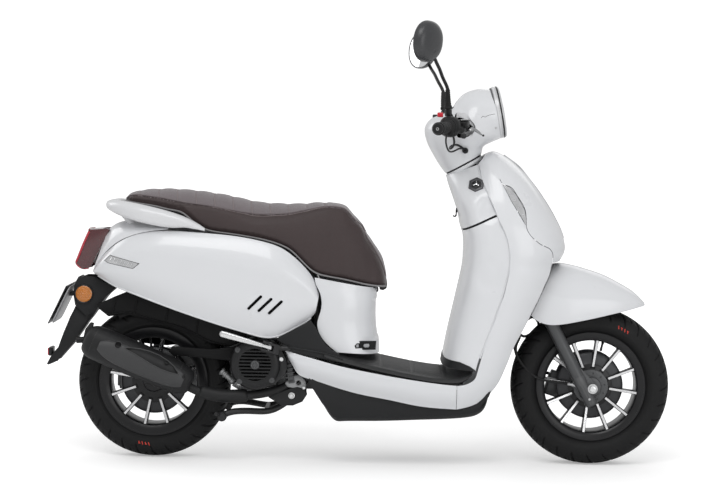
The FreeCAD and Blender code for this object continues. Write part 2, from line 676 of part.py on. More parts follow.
# storage bucket, fuel tank with cap, battery
bucket = box(-450, -190, -80, 80, 486, 610, 12)
parts["storage_bucket"] = bucket.cut(box(-447, -193, -77, 77, 489, 640, 10))
tank = box(-688, -484, -58, 58, 566, 632, 14)
parts["fuel_tank"] = tank.fuse(cyl((-560, 0, 630), (-560, 0, 652), 22)).removeSplitter()
parts["fuel_cap"] = fuse([
    cyl((-560, 0, 652.5), (-560, 0, 664), 27),
    box(-584, -536, -4, 4, 663, 671),
])
parts["battery"] = fuse([
    box(-86, 4, -36, 36, 356, 450, 3),
    cyl((-70, -20, 449), (-70, -20, 456), 6),
    cyl((-12, -20, 449), (-12, -20, 456), 6),
])

# grab rail round the tail of the seat, right half from the front to the centre plane
RAIL = [  # x, y, z, half width across, half height
    (-470, -150, 699, 8, 7), (-520, -153, 712, 15, 15), (-590, -151, 726, 18, 17),
    (-660, -138, 739, 20, 17), (-706, -112, 749, 22, 16), (-732, -62, 757, 23, 15),
    (-741, 0, 760, 23, 14),
]
centres = [Vec(x, y, z) for x, y, z, half_width, half_height in RAIL]
sections = []
for i, (x, y, z, half_width, half_height) in enumerate(RAIL):
    if i == len(RAIL) - 1:
        along = LEFT
    else:
        along = unit(centres[i + 1] - centres[max(i - 1, 0)])
    across = unit(along.cross(UP))
    up = across.cross(along)
    sections.append(ring(centres[i], across, up, half_width, half_height, 2.6, 12))
rail = loft(sections)
stays = []
for side in (-1, 1):
    y = side * 95
    stays.append(cyl((-640, y, 722), (-640, side * 128, 730), 9))
    stays.append(cyl((-640, y, 714), (-640, y, 730), 12))
parts["grab_rail"] = rail.fuse(mirror(rail)).fuse(stays).removeSplitter()

# rear fender: wide hollow root and narrower hollow tongue below it
root = prism([
    (-792, 540), (-726, 508), (-749, 485), (-767, 463), (-785, 433), (-812, 424), (-843, 452),
    (-848, 516),
], -52, 52)
root = root.cut(prism([
    (-789, 533), (-733, 507), (-770, 470), (-787, 441), (-811, 430), (-839, 456), (-843, 513),
], -49, 49))
tongue = prism([
    (-790, 452), (-785, 433), (-807, 404), (-835, 363), (-861, 330), (-889, 296), (-934.2, 271),
    (-918, 300), (-897, 326), (-880, 372), (-862, 418), (-843, 456),
], -34, 34)
tongue = tongue.cut(prism([
    (-780, 430), (-804, 397), (-832, 356), (-858, 323), (-886, 289), (-890, 299), (-864, 334),
    (-838, 368), (-811, 410), (-790, 440),
], -31, 31))
parts["rear_fender"] = root.fuse(tongue).removeSplitter()

# sloping number plate bracket with two screw holes
PLATE_TOP, PLATE_TILT = Vec(-866, 0, 508), 25.5
tilt = math.radians(PLATE_TILT)
plate_normal = Vec(-math.cos(tilt), 0, math.sin(tilt))
plate_down = Vec(-math.sin(tilt), 0, -math.cos(tilt))
plate = place(box(-3, 0, -95, 95, -118, 6), PLATE_TILT, PLATE_TOP)
for side in (-1, 1):
    hole = PLATE_TOP + plate_down * 46 + LEFT * (side * 72)
    plate = plate.cut(cyl(hole - plate_normal * 10, hole + plate_normal * 10, 3.25))
parts["plate_bracket"] = plate.fuse(box(-877, -850, -20, 20, 480, 492)).removeSplitter()
parts["side_reflectors"] = Part.makeCompound(
    [cross((-818, 0, 489), side * 52.3, side * 58.5, 26) for side in (-1, 1)])
parts["rear_reflector"] = box(-928, -915, -28, 28, 300, 322, 2.5)

# ================================================================ engine and rear drive
# Crankcase in the middle, transmission case on the left reaching the rear axle.
CASE_OUTLINE = [
    (-330, 366), (-560, 322), (-608, 296), (-650, 255), (-655, 215), (-620, 178), (-560, 180),
    (-300, 225), (-240, 250), (-232, 300), (-260, 350),
]
BELT_CHAMBER = [
    (-330, 356), (-556, 312), (-600, 288), (-640, 250), (-643, 218), (-615, 188), (-560, 190),
    (-300, 235), (-252, 256), (-243, 300), (-268, 342),
]
SHOCK_AXIS = unit(SHOCK_HIGH - SHOCK_LOW)
case = fuse([
    cross(CRANK, -96, 58, 66),
    box(-330, -235, -60, 58, 205, 300, 8),
    box(-240, -168, -34, 34, 220, 262, 6),
    cross(CRANK, 62, 104, 74),
    prism(CASE_OUTLINE, 62, 104),
    cross(REAR_AXLE, 60.5, 104, 58),
    box(-340, -240, 50, 70, 225, 330),
    prism([(-626, 300), (-598, 300), (-600, 332), (-624, 332)], 92, 104),
])
ears = fuse([
    box(-178, -142, -34, -22, 228, 262),
    box(-178, -142, 22, 34, 228, 262),
    cross(SWING_PIVOT, -94, 94, 14),
])
case = fuse([case, ears]).cut(cross(SWING_PIVOT, -120, 120, 7.08))
# belt chamber, crank chambers, crankshaft bore and axle bore
case = case.cut(prism(BELT_CHAMBER, 66, 110))
for centre, y0, y1, radius in (
    (CRANK, 66, 110, 66), (CRANK, -110, -12, 60), (CRANK, -50, 80, 12.1), (REAR_AXLE, 50, 120, 9.1),
):
    case = case.cut(cross(centre, y0, y1, radius))
# stand lugs under the case
for y in (-30, 30):
    case = case.fuse(prism([(-205, 182), (-173, 182), (-176, 232), (-240, 232)], y - 5, y + 5))
case = case.cut(cross(STAND_PIVOT, -60, 60, 6.08)).removeSplitter()
# lower shock absorber pin
parts["crankcase"] = case.fuse(cross(SHOCK_LOW, 104, 126, 6.0)).removeSplitter()

# transmission cover, hollow, with room for the shock absorber
COVER_OUTLINE = [
    (-330, 367), (-560, 323), (-608, 297), (-650, 256), (-656, 215), (-620, 177), (-560, 179),
    (-300, 224), (-238, 250), (-230, 300), (-258, 351),
]
COVER_HOLLOW = [
    (-330, 359), (-556, 315), (-602, 290), (-642, 252), (-646, 216), (-616, 186), (-560, 188),
    (-300, 232), (-250, 254), (-240, 300), (-265, 344),
]
cover = fuse([
    prism(COVER_OUTLINE, 104.5, 122),
    cross(CRANK, 104.5, 136, 70),
    cone(at_y(CLUTCH, 121), at_y(CLUTCH, 132), 44, 36),
])
cover = cover.cut(prism(COVER_HOLLOW, 104, 117)).cut(cross(CRANK, 104, 131, 64))
cover = cover.cut(cross(KICK, 100, 150, 8.1)).cut(cross(SHOCK_LOW, 95, 140, 21))
parts["transmission_cover"] = cover.cut(
    cyl(SHOCK_LOW + SHOCK_AXIS * 20, SHOCK_LOW + SHOCK_AXIS * 170, 32))

# crankshaft with the drive pulley on the left and a flywheel near the middle
parts["crankshaft_pulley"] = fuse([
    cross(CRANK, -128, 112, 12.0),
    cross(CRANK, 69, 80, 50),
    cone(at_y(CRANK, 80), at_y(CRANK, 86), 50, 20),
    cone(at_y(CRANK, 96), at_y(CRANK, 102), 20, 50),
    cross(CRANK, 102, 106, 50),
    cross(CRANK, -50, -16, 48),
])
FAN_BLADES = 16
fan = [cross(CRANK, -112, -106, 57)]
for k in range(FAN_BLADES):
    blade = box(24, 56, -0.9, 0.9, 0, 22)
    blade.rotate(Vec(24, 0, 0), UP, 35)
    blade.rotate(ORIGIN, UP, 360 / FAN_BLADES * k)
    blade.rotate(ORIGIN, Vec(1, 0, 0), 90)
    blade.translate(at_y(CRANK, -111))
    fan.append(blade)
parts["cooling_fan"] = fuse(fan).cut(cross(CRANK, -150, -50, 12.02))

# fan cover on the right; its grille slots leave horizontal bars and a hub
GRILLE_RADIUS, GRILLE_PITCH, SLOT_HALF, HUB_RADIUS = 46.0, 9.6, 2.9, 13
cover = fuse([
    cross(CRANK, -160, -98, 75),
    prism([(-310, 366), (-262, 371), (-218, 335), (-206, 300), (-212, 268), (-262, 232),
           (-310, 228)], -150, -98),
])
cover = cover.cut(cross(CRANK, -157, -97, 71.5))
cover = cover.cut(prism([(-310, 362), (-264, 367), (-222, 333), (-210, 300), (-215, 270),
                         (-263, 236), (-310, 232)], -147, -97))
for k in range(-4, 5):
    z = CRANK.z + k * GRILLE_PITCH
    reach = math.sqrt(GRILLE_RADIUS ** 2 - (k * GRILLE_PITCH) ** 2)
    if abs(k) <= 1:
        spans = [(-reach, -HUB_RADIUS), (HUB_RADIUS, reach)]
    else:
        spans = [(-reach, reach)]
    for x0, x1 in spans:
        cover = cover.cut(
            box(CRANK.x + x0, CRANK.x + x1, -165, -150, z - SLOT_HALF, z + SLOT_HALF))
parts["fan_cover"] = cover

# cylinder with fins and head, pointing forward, and its cowl
FIN_PITCH = 9
fins = [cyl((-232 + FIN_PITCH * k, 0, 300.6 + 1.3 * k), (-229 + FIN_PITCH * k, 0, 301 + 1.3 * k), 52)
        for k in range(4)]
parts["cylinder_head"] = fuse(
    [cyl((-236, 0, 300), (-196, 0, 306), 40)] + fins + [box(-197, -166, -38, 38, 272, 344, 6)])
cowl = box(-236, -160, -62, 60, 264, 362, 12).cut(box(-240, -163, -58, 56, 268, 358, 9))
parts["cylinder_cowl"] = cowl.cut(box(-250, -150, -40, 40, 250, 275))

# carburettor with its intake pipe, air box, starter motor
carburettor = fuse([
    box(-330, -272, -24, 24, 384, 426, 5),
    cyl((-300, 0, 372), (-300, 0, 385), 20),
    cyl((-345, 0, 405), (-329, 0, 405), 18),
])
intake = run([(-273, 0, 402), (-236, 0, 400), (-205, 0, 388), (-195, 0, 363.5)], 13)
parts["carburettor"] = fuse([carburettor, intake])
parts["airbox"] = fuse([
    box(-545, -372, 80, 124, 378, 440, 12),
    cyl((-348, 0, 405), (-392, 86, 408), 17),
]).cut(parts["carburettor"])
STARTER = (-372, 0, 352)
parts["starter_motor"] = fuse([
    cross(STARTER, -18, 52, 20),
    cross(STARTER, 52, 60, 12),
]).cut(cross(CRANK, -110, 61.5, 66.5))

# exhaust: header with a thicker sleeve, passing under the fan cover to the muffler
header = spline_bar([
    (-178, -50, 262), (-176, -70, 232), (-190, -92, 206), (-232, -112, 196), (-300, -122, 196),
    (-390, -128, 200), (-462, -134, 212), (-505, -138, 232),
], 13)
sleeve = spline_bar([(-330, -125, 196.5), (-392, -128.3, 200), (-455, -133.5, 211)], 19)
header = fuse([header, sleeve])
MUFFLER_FRONT, MUFFLER_REAR = Vec(-486, -140, 236), Vec(-800, -140, 366)
muffler_along = unit(MUFFLER_REAR - MUFFLER_FRONT)
muffler_up = Vec(muffler_along.z, 0, -muffler_along.x)
MUFFLER = [  # distance along, half width, half height
    (0, 22, 22), (10, 38, 36), (45, 47, 45), (120, 51, 50), (220, 51, 51), (300, 50, 49),
    (330, 42, 42), (341, 26, 28),
]
muffler = loft([
    ring(MUFFLER_FRONT + muffler_along * along, LEFT, muffler_up, half_width, half_height, 2.5, 14)
    for along, half_width, half_height in MUFFLER])
tail = MUFFLER_FRONT + muffler_along * 338 + Vec(0, 8, -4)
muffler = fuse([muffler, cyl(tail - Vec(6, 0, 0), tail - Vec(36, 0, 2), 9)])
muffler = muffler.cut(cyl(tail - Vec(12, 0, 0.7), tail - Vec(37, 0, 2.1), 7))
parts["exhaust"] = fuse([header, muffler])

# heat shield round the right of the muffler
HEAT_SHIELD = [  # distance along, reach downwards, reach upwards, muffler half width
    (28, 20, 24, 43), (60, 28, 32, 49), (120, 31, 35, 51), (200, 31, 34, 51),
    (262, 26, 29, 51), (288, 14, 20, 50),
]
HEAT_SHIELD_GAP = 8.5
grid = []
for along, down, up, half_width in HEAT_SHIELD:
    row = []
    for k in range(7):
        angle = math.radians(-60 + 120 * k / 6.0)
        # -1 to 1 over the arc; 0.891 is the value at its ends
        swing = math.copysign(abs(math.sin(angle)) ** 0.8, angle) / 0.891
        outward = (half_width + HEAT_SHIELD_GAP) * (1 - 0.16 * swing * swing)
        rise = (down if angle < 0 else up) * swing
        row.append(MUFFLER_FRONT + muffler_along * along - LEFT * outward + muffler_up * rise)
    grid.append(row)
parts["muffler_shield"] = skin(grid, 2.0)

# hugger arched over the rear tyre
HUGGER_RADIUS = 257
HUGGER_SECTION = [(-70, -36), (-68, -14), (-50, 0), (0, 5), (50, 0), (68, -14), (70, -36)]  # y, rise
grid = []
for k in range(9):
    angle = math.radians(54 + 62 * k / 8.0)
    radial = Vec(math.cos(angle), 0, math.sin(angle))
    grid.append([REAR_AXLE + radial * (HUGGER_RADIUS + rise) + LEFT * y
                 for y, rise in HUGGER_SECTION])
parts["rear_hugger"] = skin(grid, -3.0)

parts["rear_axle"] = fuse([cross(REAR_AXLE, -52, 64, 9.0), cross(REAR_AXLE, -60, -41, 14)])
parts["rear_caliper"] = fuse([
    box(-720, -676, 49.5, 60, 196, 262, 4),
    box(-720, -676, 28, 42.5, 196, 262, 4),
    box(-726, -708, 31, 58, 204, 254, 3),
    box(-694, -640, 59, 61.9, 214, 240),
]).cut(cross(REAR_AXLE, 60, 70, 58.3))

# kick starter lever on the left
parts["kick_lever"] = fuse([
    cross(KICK, 117.5, 150, 8.0),
    cross(KICK, 137.5, 152, 15),
    run([at_y(KICK, 145), (-470, 147, 262), (-560, 150, 286), (-588, 152, 300)], 7.5),
    cross((-590, 0, 301), 146, 196, 8),
])

# centre stand, folded up
STAND_LEGS = [  # side, y at the bend, y at the foot, y of the foot bar's ends
    (-1, -118, -128, -100, -146),
    (1, 112, 120, 94, 138),
]
stand = []
for side, bend_y, foot_y, foot_inner, foot_outer in STAND_LEGS:
    stand.append(run([at_y(STAND_PIVOT, side * 46.5), (-250, side * 62, 150),
                      (-370, bend_y, 152), (-396, foot_y, 140)], 9.5))
    stand.append(cross((-396, 0, 140), foot_inner, foot_outer, 11.5))
stand += [
    cross(STAND_PIVOT, -56, -35.6, 12.5),
    cross(STAND_PIVOT, 35.6, 56, 12.5),
    cross((-268, 0, 150), -70, 66, 8),
    cyl((-392, -120, 140), (-410, -160, 150), 6.5),
]
stand = fuse(stand).cut(cross(STAND_PIVOT, -60, 60, 6.08))
for y0, y1 in ((-70, -56.4), (56.4, 70)):
    stand = stand.cut(cross(STAND_PIVOT, y0, y1, 10.4))     # room for the pivot bolt heads
parts["centre_stand"] = stand
parts["stand_pivot_bolt"] = fuse([
    cross(STAND_PIVOT, -60, 60, 6.0),
    cross(STAND_PIVOT, -65, -57, 10),
    cross(STAND_PIVOT, 57, 65, 10),
])


# ================================================================ rear shock absorber, left
def from_low(distance):
    return SHOCK_LOW + SHOCK_AXIS * distance


def from_high(distance):
    return SHOCK_HIGH - SHOCK_AXIS * distance


parts["shock_body"] = fuse([
    cross(SHOCK_HIGH, SHOCK_Y - 9, SHOCK_Y + 9, 14),
    cyl(from_high(12), from_high(40), 12),
    cyl(from_high(40), from_high(46), 29),
    cyl(from_high(46), from_high(150), 13),
]).cut(cross(SHOCK_HIGH, 90, 140, 6.0)).cut(cyl(from_high(60), from_high(160), 7.6))
parts["shock_rod"] = fuse([
    cross(SHOCK_LOW, SHOCK_Y - 9, SHOCK_Y + 9, 15),
    cyl(from_low(12), from_low(34), 11),
    cyl(from_low(34), from_low(40), 29),
    cyl(from_low(30), from_low(170), 7.5),
]).cut(cross(SHOCK_LOW, 90, 140, 9.6))

# coil spring between the two seats
COIL_TURNS, COIL_RADIUS, WIRE_RADIUS = 8, 23.0, 3.6
COIL_MARGIN = 3.8                 # from either limit to the wire's centre
COIL_START = 41.0
coil_end = (SHOCK_HIGH - SHOCK_LOW).Length - 47.0
coil_height = coil_end - COIL_START - 2 * COIL_MARGIN
helix = Part.makeHelix(coil_height / COIL_TURNS, coil_height, COIL_RADIUS)
wire_section = Part.Wire([Part.makeCircle(WIRE_RADIUS, Vec(COIL_RADIUS, 0, 0), LEFT)])
spring = Part.Wire(helix).makePipeShell([wire_section], True, True)
shock_tilt = math.degrees(math.atan2(SHOCK_AXIS.x, SHOCK_AXIS.z))
parts["shock_spring"] = place(spring, shock_tilt, from_low(COIL_START + COIL_MARGIN))

# folding pillion footrests
for side, name in ((-1, "right"), (1, "left")):
    pivot = Vec(PEG_X, side * PEG_Y, PEG_Z)
    peg = box(-150, -27, -9, 9, -9, 9, 3).fuse(box(-40, 8, -7.5, 7.5, -7.9, 7.9, 2))
    peg = place(peg, PEG_TILT, pivot)
    parts["footrest_" + name] = peg.cut(
        cyl(pivot - PEG_AXIS * 30, pivot + PEG_AXIS * 30, 4.08))

# ================================================================ front fender
FENDER = [
    (580, 600, 512, 452, 119, 2.5), (600, 603, 536, 436, 120, 2.5),
    (626, 600, 566, 427, 120, 2.5), (655, 594, 600, 428, 119, 2.5),
    (690, 585, 650, 437, 115, 2.5), (735, 570, 704, 448, 104, 2.5),
    (789, 543, 768, 462, 90, 2.5), (825, 520, 812, 472, 70, 2.5),
    (852, 497, 846, 479, 42, 2.5),
]
parts["front_fender"] = skin(arches(FENDER), -SHELL)

# ================================================================ handlebar and controls
BAR_ALONG = unit(BAR_OUTER - BAR_INNER)     # outwards along the right handlebar end
BAR_AHEAD = unit(UP.cross(BAR_ALONG))
BAR_BACK = BAR_AHEAD * -1
BAR_UP = BAR_ALONG.cross(BAR_AHEAD)


def bar(along):
    """Point on the right handlebar end, measured outwards from its inner point."""
    return BAR_INNER + BAR_ALONG * along


def bar_left(along):
    return flip(bar(along))


bar_points = [Vec(292.5, 0, 969), Vec(294, -70, 985), bar(-84), BAR_OUTER]
parts["handlebar"] = fuse([
    run(bar_points, BAR_RADIUS),
    run([flip(p) for p in bar_points], BAR_RADIUS),
    tube(steer(712), steer(748), 20, STEM_RADIUS + 0.02),
]).cut(cyl(steer(700), steer(760), STEM_RADIUS + 0.02))


def grip(point, bore):
    return fuse([
        tube(point(6), point(128), 16.0, bore),
        tube(point(3), point(9), 22, bore),
        tube(point(122), point(134), 18.5, bore),
    ])


parts["throttle_grip"] = grip(bar, BAR_RADIUS + 0.08)
parts["left_grip"] = grip(bar_left, BAR_RADIUS + 0.05)
parts["bar_ends"] = both(cyl(bar(134.6), bar(142), 15))

# switch housings, one each side, with buttons set in pockets
HOUSING = [(-47, 24, 26), (-41, 28, 31), (-20, 30, 36), (-4, 29, 33), (1.5, 24, 27)]
# (along the bar, half depth, half height)
housing_blank = loft([
    ring(bar(along) + BAR_UP * 2, BAR_AHEAD, BAR_UP, half_depth, half_height, 3.2, 16)
    for along, half_depth, half_height in HOUSING]).cut(cyl(bar(-80), bar(20), 10.95))
BUTTONS = {  # up, back; facing back, facing up; half width, half height, pocket depth
    "right": {
        "kill_switch": (24, 25, 0.7, 0.7, 7, 6, 6),
        "starter_button": (-14, 27.5, 1, 0, 7, 7, 6),
    },
    "left": {
        "beam_switch": (22, 26, 0.8, 0.6, 7, 6, 6),
        "indicator_switch": (2, 29.5, 1, 0, 8, 5, 5),
        "horn_button": (-16, 27.5, 1, 0, 7, 6, 6),
    },
}


def block(centre, facing, half_width, half_height, start, end):
    """Rectangular block on the housing, from start to end along its facing direction."""
    rise = unit(facing.cross(BAR_ALONG)) * half_height
    across = BAR_ALONG * half_width
    base = centre + facing * start
    corners = [base + across + rise, base - across + rise,
               base - across - rise, base + across - rise]
    return Part.Face(closed(corners)).extrude(facing * (end - start))


for name, buttons in BUTTONS.items():
    housing = housing_blank
    for button, (up, back, face_back, face_up, half_w, half_h, depth) in buttons.items():
        centre = bar(-22) + BAR_UP * up + BAR_BACK * back
        facing = BAR_BACK * face_back + BAR_UP * face_up
        housing = housing.cut(
            block(centre, facing, half_w + 0.6, half_h + 0.6, -depth - 1.2, 12))
        solid = block(centre, facing, half_w, half_h, -depth + 3.2, 4.5)
        parts[button] = mirror(solid) if name == "left" else solid
    parts["switch_housing_" + name] = mirror(housing) if name == "left" else housing

# brake master cylinder with lever fork and mirror boss
LEVER_PIVOT = Vec(318, -186, 988)
MIRROR_BASE = Vec(262, -152, 1030)
MIRROR_AXIS = unit(Vec(-0.06, -0.10, 1))


def on_lever(half_height, radius):
    return cyl(LEVER_PIVOT - UP * half_height, LEVER_PIVOT + UP * half_height, radius)


master = fuse([
    tube(bar(-76), bar(-50), 17, 10.82),
    run([bar(-63) + Vec(12, 0, -2), (290, -160, 992), (310, -172, 990)], 9),
    cyl((296, -158, 992), (296, -122, 996), 12),
    box(278, 322, -160, -122, 1002, 1026, 4),
    cyl((298, -142, 996), (298, -142, 1004), 9),
    on_lever(11, 9),
    cyl((263, -151, 1003), (262, -152, 1036), 11),
])
master = master.cut(cyl(bar(-90), bar(-40), 10.82)).cut(on_lever(5.7, 19))
master = master.fuse(on_lever(6, 3.5)).removeSplitter()
master = master.cut(cyl(MIRROR_BASE - MIRROR_AXIS * 16, MIRROR_BASE + MIRROR_AXIS * 20, 5.05))

lever = fuse([
    on_lever(5.4, 8.5),
    spline_bar([LEVER_PIVOT + Vec(0.5, -3, 0), (314, -218, 986), (300, -262, 982),
                (293, -305, 979), (292, -334, 977)], 4.8),
    sphere(Vec(292, -336, 977), 8.5),
]).cut(on_lever(9, 3.58))

# mirrors: the stem turns in its boss, the head tilts on the stem's ball
BALL = Vec(201, -292, 1213)
BALL_RADIUS, SOCKET_RADIUS = 8.0, 8.08
mirror_stem = fuse([
    cyl(MIRROR_BASE - MIRROR_AXIS * 14, MIRROR_BASE + MIRROR_AXIS * 10, 5.0),
    cone(MIRROR_BASE + MIRROR_AXIS * 7.5, MIRROR_BASE + MIRROR_AXIS * 60, 12, 7.5),
    spline_bar([MIRROR_BASE + MIRROR_AXIS * 56, (250, -186, 1110), (236, -208, 1140),
                (216, -262, 1180), (206, -286, 1200), (201, -292, 1212)], 4.6),
    sphere(BALL, BALL_RADIUS),
])

HEAD_CENTRE = Vec(186, -300, 1243)
GLASS_NORMAL = unit(Vec(-0.76, 0.62, 0.10))      # the glass faces back and in
HEAD_UP = unit(UP - GLASS_NORMAL * GLASS_NORMAL.z)
HEAD_SIDE = HEAD_UP.cross(GLASS_NORMAL)


def head_loft(stations):
    """Loft along the glass normal: (distance, half width, half height)."""
    return loft([
        ring(HEAD_CENTRE + GLASS_NORMAL * along, HEAD_SIDE, HEAD_UP, half_w, half_h, 2.1, 16)
        for along, half_w, half_h in stations])


head = head_loft([(-13, 14, 16), (-11, 34, 36), (-5, 50, 52), (3, 56, 58), (7, 57, 59)])
head = head.cut(head_loft([(2.5, 52, 54), (9, 54.5, 56.5)]))
head = head.cut(sphere(BALL, SOCKET_RADIUS)).cut(cyl(BALL, BALL - Vec(0.1, -0.15, 1) * 40, 11))
collar = sphere(BALL, 13).cut(sphere(BALL, SOCKET_RADIUS))
collar = collar.cut(cyl(BALL - UP * 2, BALL - Vec(-1, -1, 30), 12.9))
collar = collar.cut(cyl(BALL, BALL + Vec(30, 40, -40), 9.0))
collar = collar.common(box(170, 230, -322, -262, 1212, 1252))
head = head.fuse(collar).removeSplitter()
head = head.cut(cyl(BALL, BALL + UP * 18, 3.2))         # grease pocket above the ball
for angle in (-13, -6.5, 0, 6.5, 13):                   # room for the stem over the whole tilt
    room = cyl((204.5, -288, 1204), (221, -250, 1170), 7.6)
    room.rotate(BALL, UP, angle)
    head = head.cut(room)
glass = head_loft([(3.0, 51.4, 53.4), (5.5, 53.0, 55.0)]).cut(sphere(BALL, 13.5))

for name, shape in (
    ("master_cylinder", master), ("brake_lever", lever), ("mirror_stem", mirror_stem),
    ("mirror_head", head), ("mirror_glass", glass),
):
    parts[name + "_right"] = shape
    parts[name + "_left"] = mirror(shape)

# ================================================================ handlebar cover and headlamp
BAR_COVER = [  # from the bottom: rear x, z, front x, z, half width
    (254.5, 871.5, 348.5, 920.5, 84), (245, 885, 362, 940, 92), (228, 912, 372, 962, 100),
    (208, 942, 384, 985, 106), (194, 972, 392, 1010, 110), (192, 1000, 393, 1040, 106),
    (205, 1026, 390, 1066, 94), (236, 1046, 372, 1092, 74), (268, 1062, 345, 1108, 48),
]
BAR_COVER_WALL = 3.2
# the inside is carried below the bottom edge and stops short of the top
outer, inner = [], []
for i, (rear_x, rear_z, front_x, front_z, half_width) in enumerate(BAR_COVER):
    centre = Vec((rear_x + front_x) / 2.0, 0, (rear_z + front_z) / 2.0)
    depth = Vec(front_x - rear_x, 0, front_z - rear_z)
    half_depth = depth.Length / 2.0
    drop = {0: 8, len(BAR_COVER) - 1: 3}.get(i, 0)
    outer.append(ring(centre, unit(depth), LEFT, half_depth, half_width, 2.6, 20))
    inner.append(ring(centre - UP * drop, unit(depth), LEFT,
                      half_depth - BAR_COVER_WALL, half_width - BAR_COVER_WALL, 2.6, 20))
cover = loft(outer).cut(loft(inner)).cut(cyl(steer(676), steer(692), 40))
# openings for the bar on both sides, the headlamp in front and the instrument on top
BAR_OPENING = [(281, 972), (322, 970), (336, 992), (330, 1022), (308, 1040), (276, 1036),
               (262, 1010), (264, 984)]   # x, z
curve = Part.BSplineCurve()
curve.interpolate([Vec(x, -130, z) for x, z in BAR_OPENING], PeriodicFlag=True)
cover = cover.cut(Part.Face(Part.Wire([curve.toShape()])).extrude(LEFT * 260))
LAMP = Vec(411, 0, 1041)
LAMP_TILT = math.radians(9)
LAMP_AHEAD = Vec(math.cos(LAMP_TILT), 0, math.sin(LAMP_TILT))
LAMP_UP = Vec(-LAMP_AHEAD.z, 0, LAMP_AHEAD.x)
cover = cover.cut(cyl(LAMP - LAMP_AHEAD * 40, LAMP + LAMP_AHEAD * 60, 72))
DIAL = Vec(252, 0, 1044)
DIAL_AXIS = Vec(-0.50, 0, 0.866)
cover = cover.cut(cyl(DIAL - DIAL_AXIS * 30, DIAL + DIAL_AXIS * 40, 46))
parts["handlebar_cover"] = max(cover.Solids, key=lambda solid: solid.Volume)

LAMP_PROFILES = {  # (radius, distance ahead) turned about the lamp axis
    "headlamp_shell": [(70.5, -40), (71.5, -40), (74.5, -17), (74.5, -13), (68, -13), (68, -17),
                       (70.0, -20), (67.5, -40)],
    "headlamp_rim": [(74.8, -12.5), (74.2, -4), (69, 3.5), (63.5, 6.5), (60.6, 5), (60.6, -8),
                     (66, -12.5)],
    "headlamp_bowl": [(0.0, -44), (22, -42), (46, -30), (60, -12), (60.2, -9), (64, -9),
                      (64, -15), (50, -34), (24, -47), (0.0, -48)],
    "headlamp_lens": [(0.0, 12.0), (24, 10.6), (44, 6.6), (56, 1.5), (59.8, -3), (59.8, -7),
                      (57, -5), (43, 3.5), (24, 8.0), (0.0, 9.4)],
}
for name, profile in LAMP_PROFILES.items():
    outline = closed([LAMP + LAMP_UP * radius + LAMP_AHEAD * ahead for radius, ahead in profile])
    parts[name] = Part.Face(outline).revolve(LAMP, LAMP_AHEAD, 360)

# instrument with its glass
parts["instrument"] = fuse([
    cyl(DIAL - DIAL_AXIS * 16, DIAL + DIAL_AXIS * 7, 45.5),
    tube(DIAL + DIAL_AXIS * 7, DIAL + DIAL_AXIS * 11, 45.5, 40.5),
])
parts["instrument_glass"] = cyl(DIAL + DIAL_AXIS * 7.4, DIAL + DIAL_AXIS * 9.6, 40.2)

# ================================================================ cables, lock and horn
# control cables from each switch housing into the handlebar cover
parts["control_cables"] = both(spline_bar([
    bar(-24) - BAR_UP * 36, bar(-26) - BAR_UP * 54 + Vec(6, 4, 0),
    (262, -160, 934), (286, -128, 932), (303, -101, 934),
], 3.2))
parts["brake_hose"] = spline_bar([
    steer(240, -34, 52), steer(190, -50, 62), (520, 74, 360), (535, 78, 300), (572, 74, 268),
    (600, 58, 272),
], 4.0)
parts["speedometer_cable"] = spline_bar([
    steer(240, -36, -50), steer(195, -66, -62), (484, -100, 340), (492, -104, 303),
    (536, -100, 268), (585, -76, 250), (622, -51, 246),
], 3.0)

# ignition lock on the inner shield, its turning barrel with the key blade
parts["ignition_lock"] = cross_tube(IGNITION, -134, -88, 14, 8.05)
parts["ignition_barrel"] = fuse([
    cross(IGNITION, -136, -90, 8.0),
    box(334.6, 337.4, -152, -135, 829, 847),
])
# horn inside the nose
parts["horn"] = fuse([
    cyl((470, 60, 690), (490, 60, 701), 30),
    cyl((462, 60, 686), (470, 60, 690), 12),
])

# ================================================================ fits between fixed neighbours
# Each part gives way to the neighbours listed; the order matters.
FITS = {
    "belly_pan": ["frame"],
    "master_cylinder_right": ["handlebar"],
    "master_cylinder_left": ["handlebar"],
    "brake_hose": ["front_caliper", "fork_sliders"],
    "cylinder_head": ["crankcase"],
    "cylinder_cowl": ["crankcase", "cylinder_head", "carburettor", "exhaust"],
    "exhaust": ["crankcase"],
    "floorboard": ["frame"],
    "floor_rear_corners": ["frame", "floorboard", "belly_pan"],
    "front_trim_strip": ["front_shield"],
    "tail_cover": ["side_panels"],
    "tail_lamp_lens": ["side_panels", "tail_cover"],
    "under_seat_cover": ["side_panels", "floor_rear_corners", "frame"],
    "rear_reflector": ["rear_fender"],
    "handlebar_cover": ["headlamp_shell"],
    "headlamp_bowl": ["headlamp_rim"],
    "storage_bucket": ["frame"],
}
CRUMB = 0.02      # pieces below this share of the largest are dropped
for name, neighbours in FITS.items():
    shape = parts[name]
    for neighbour in neighbours:
        shape = shape.cut(parts[neighbour])
    largest = max(solid.Volume for solid in shape.Solids)
    parts[name] = Part.makeCompound(
        [solid for solid in shape.Solids if solid.Volume > CRUMB * largest])

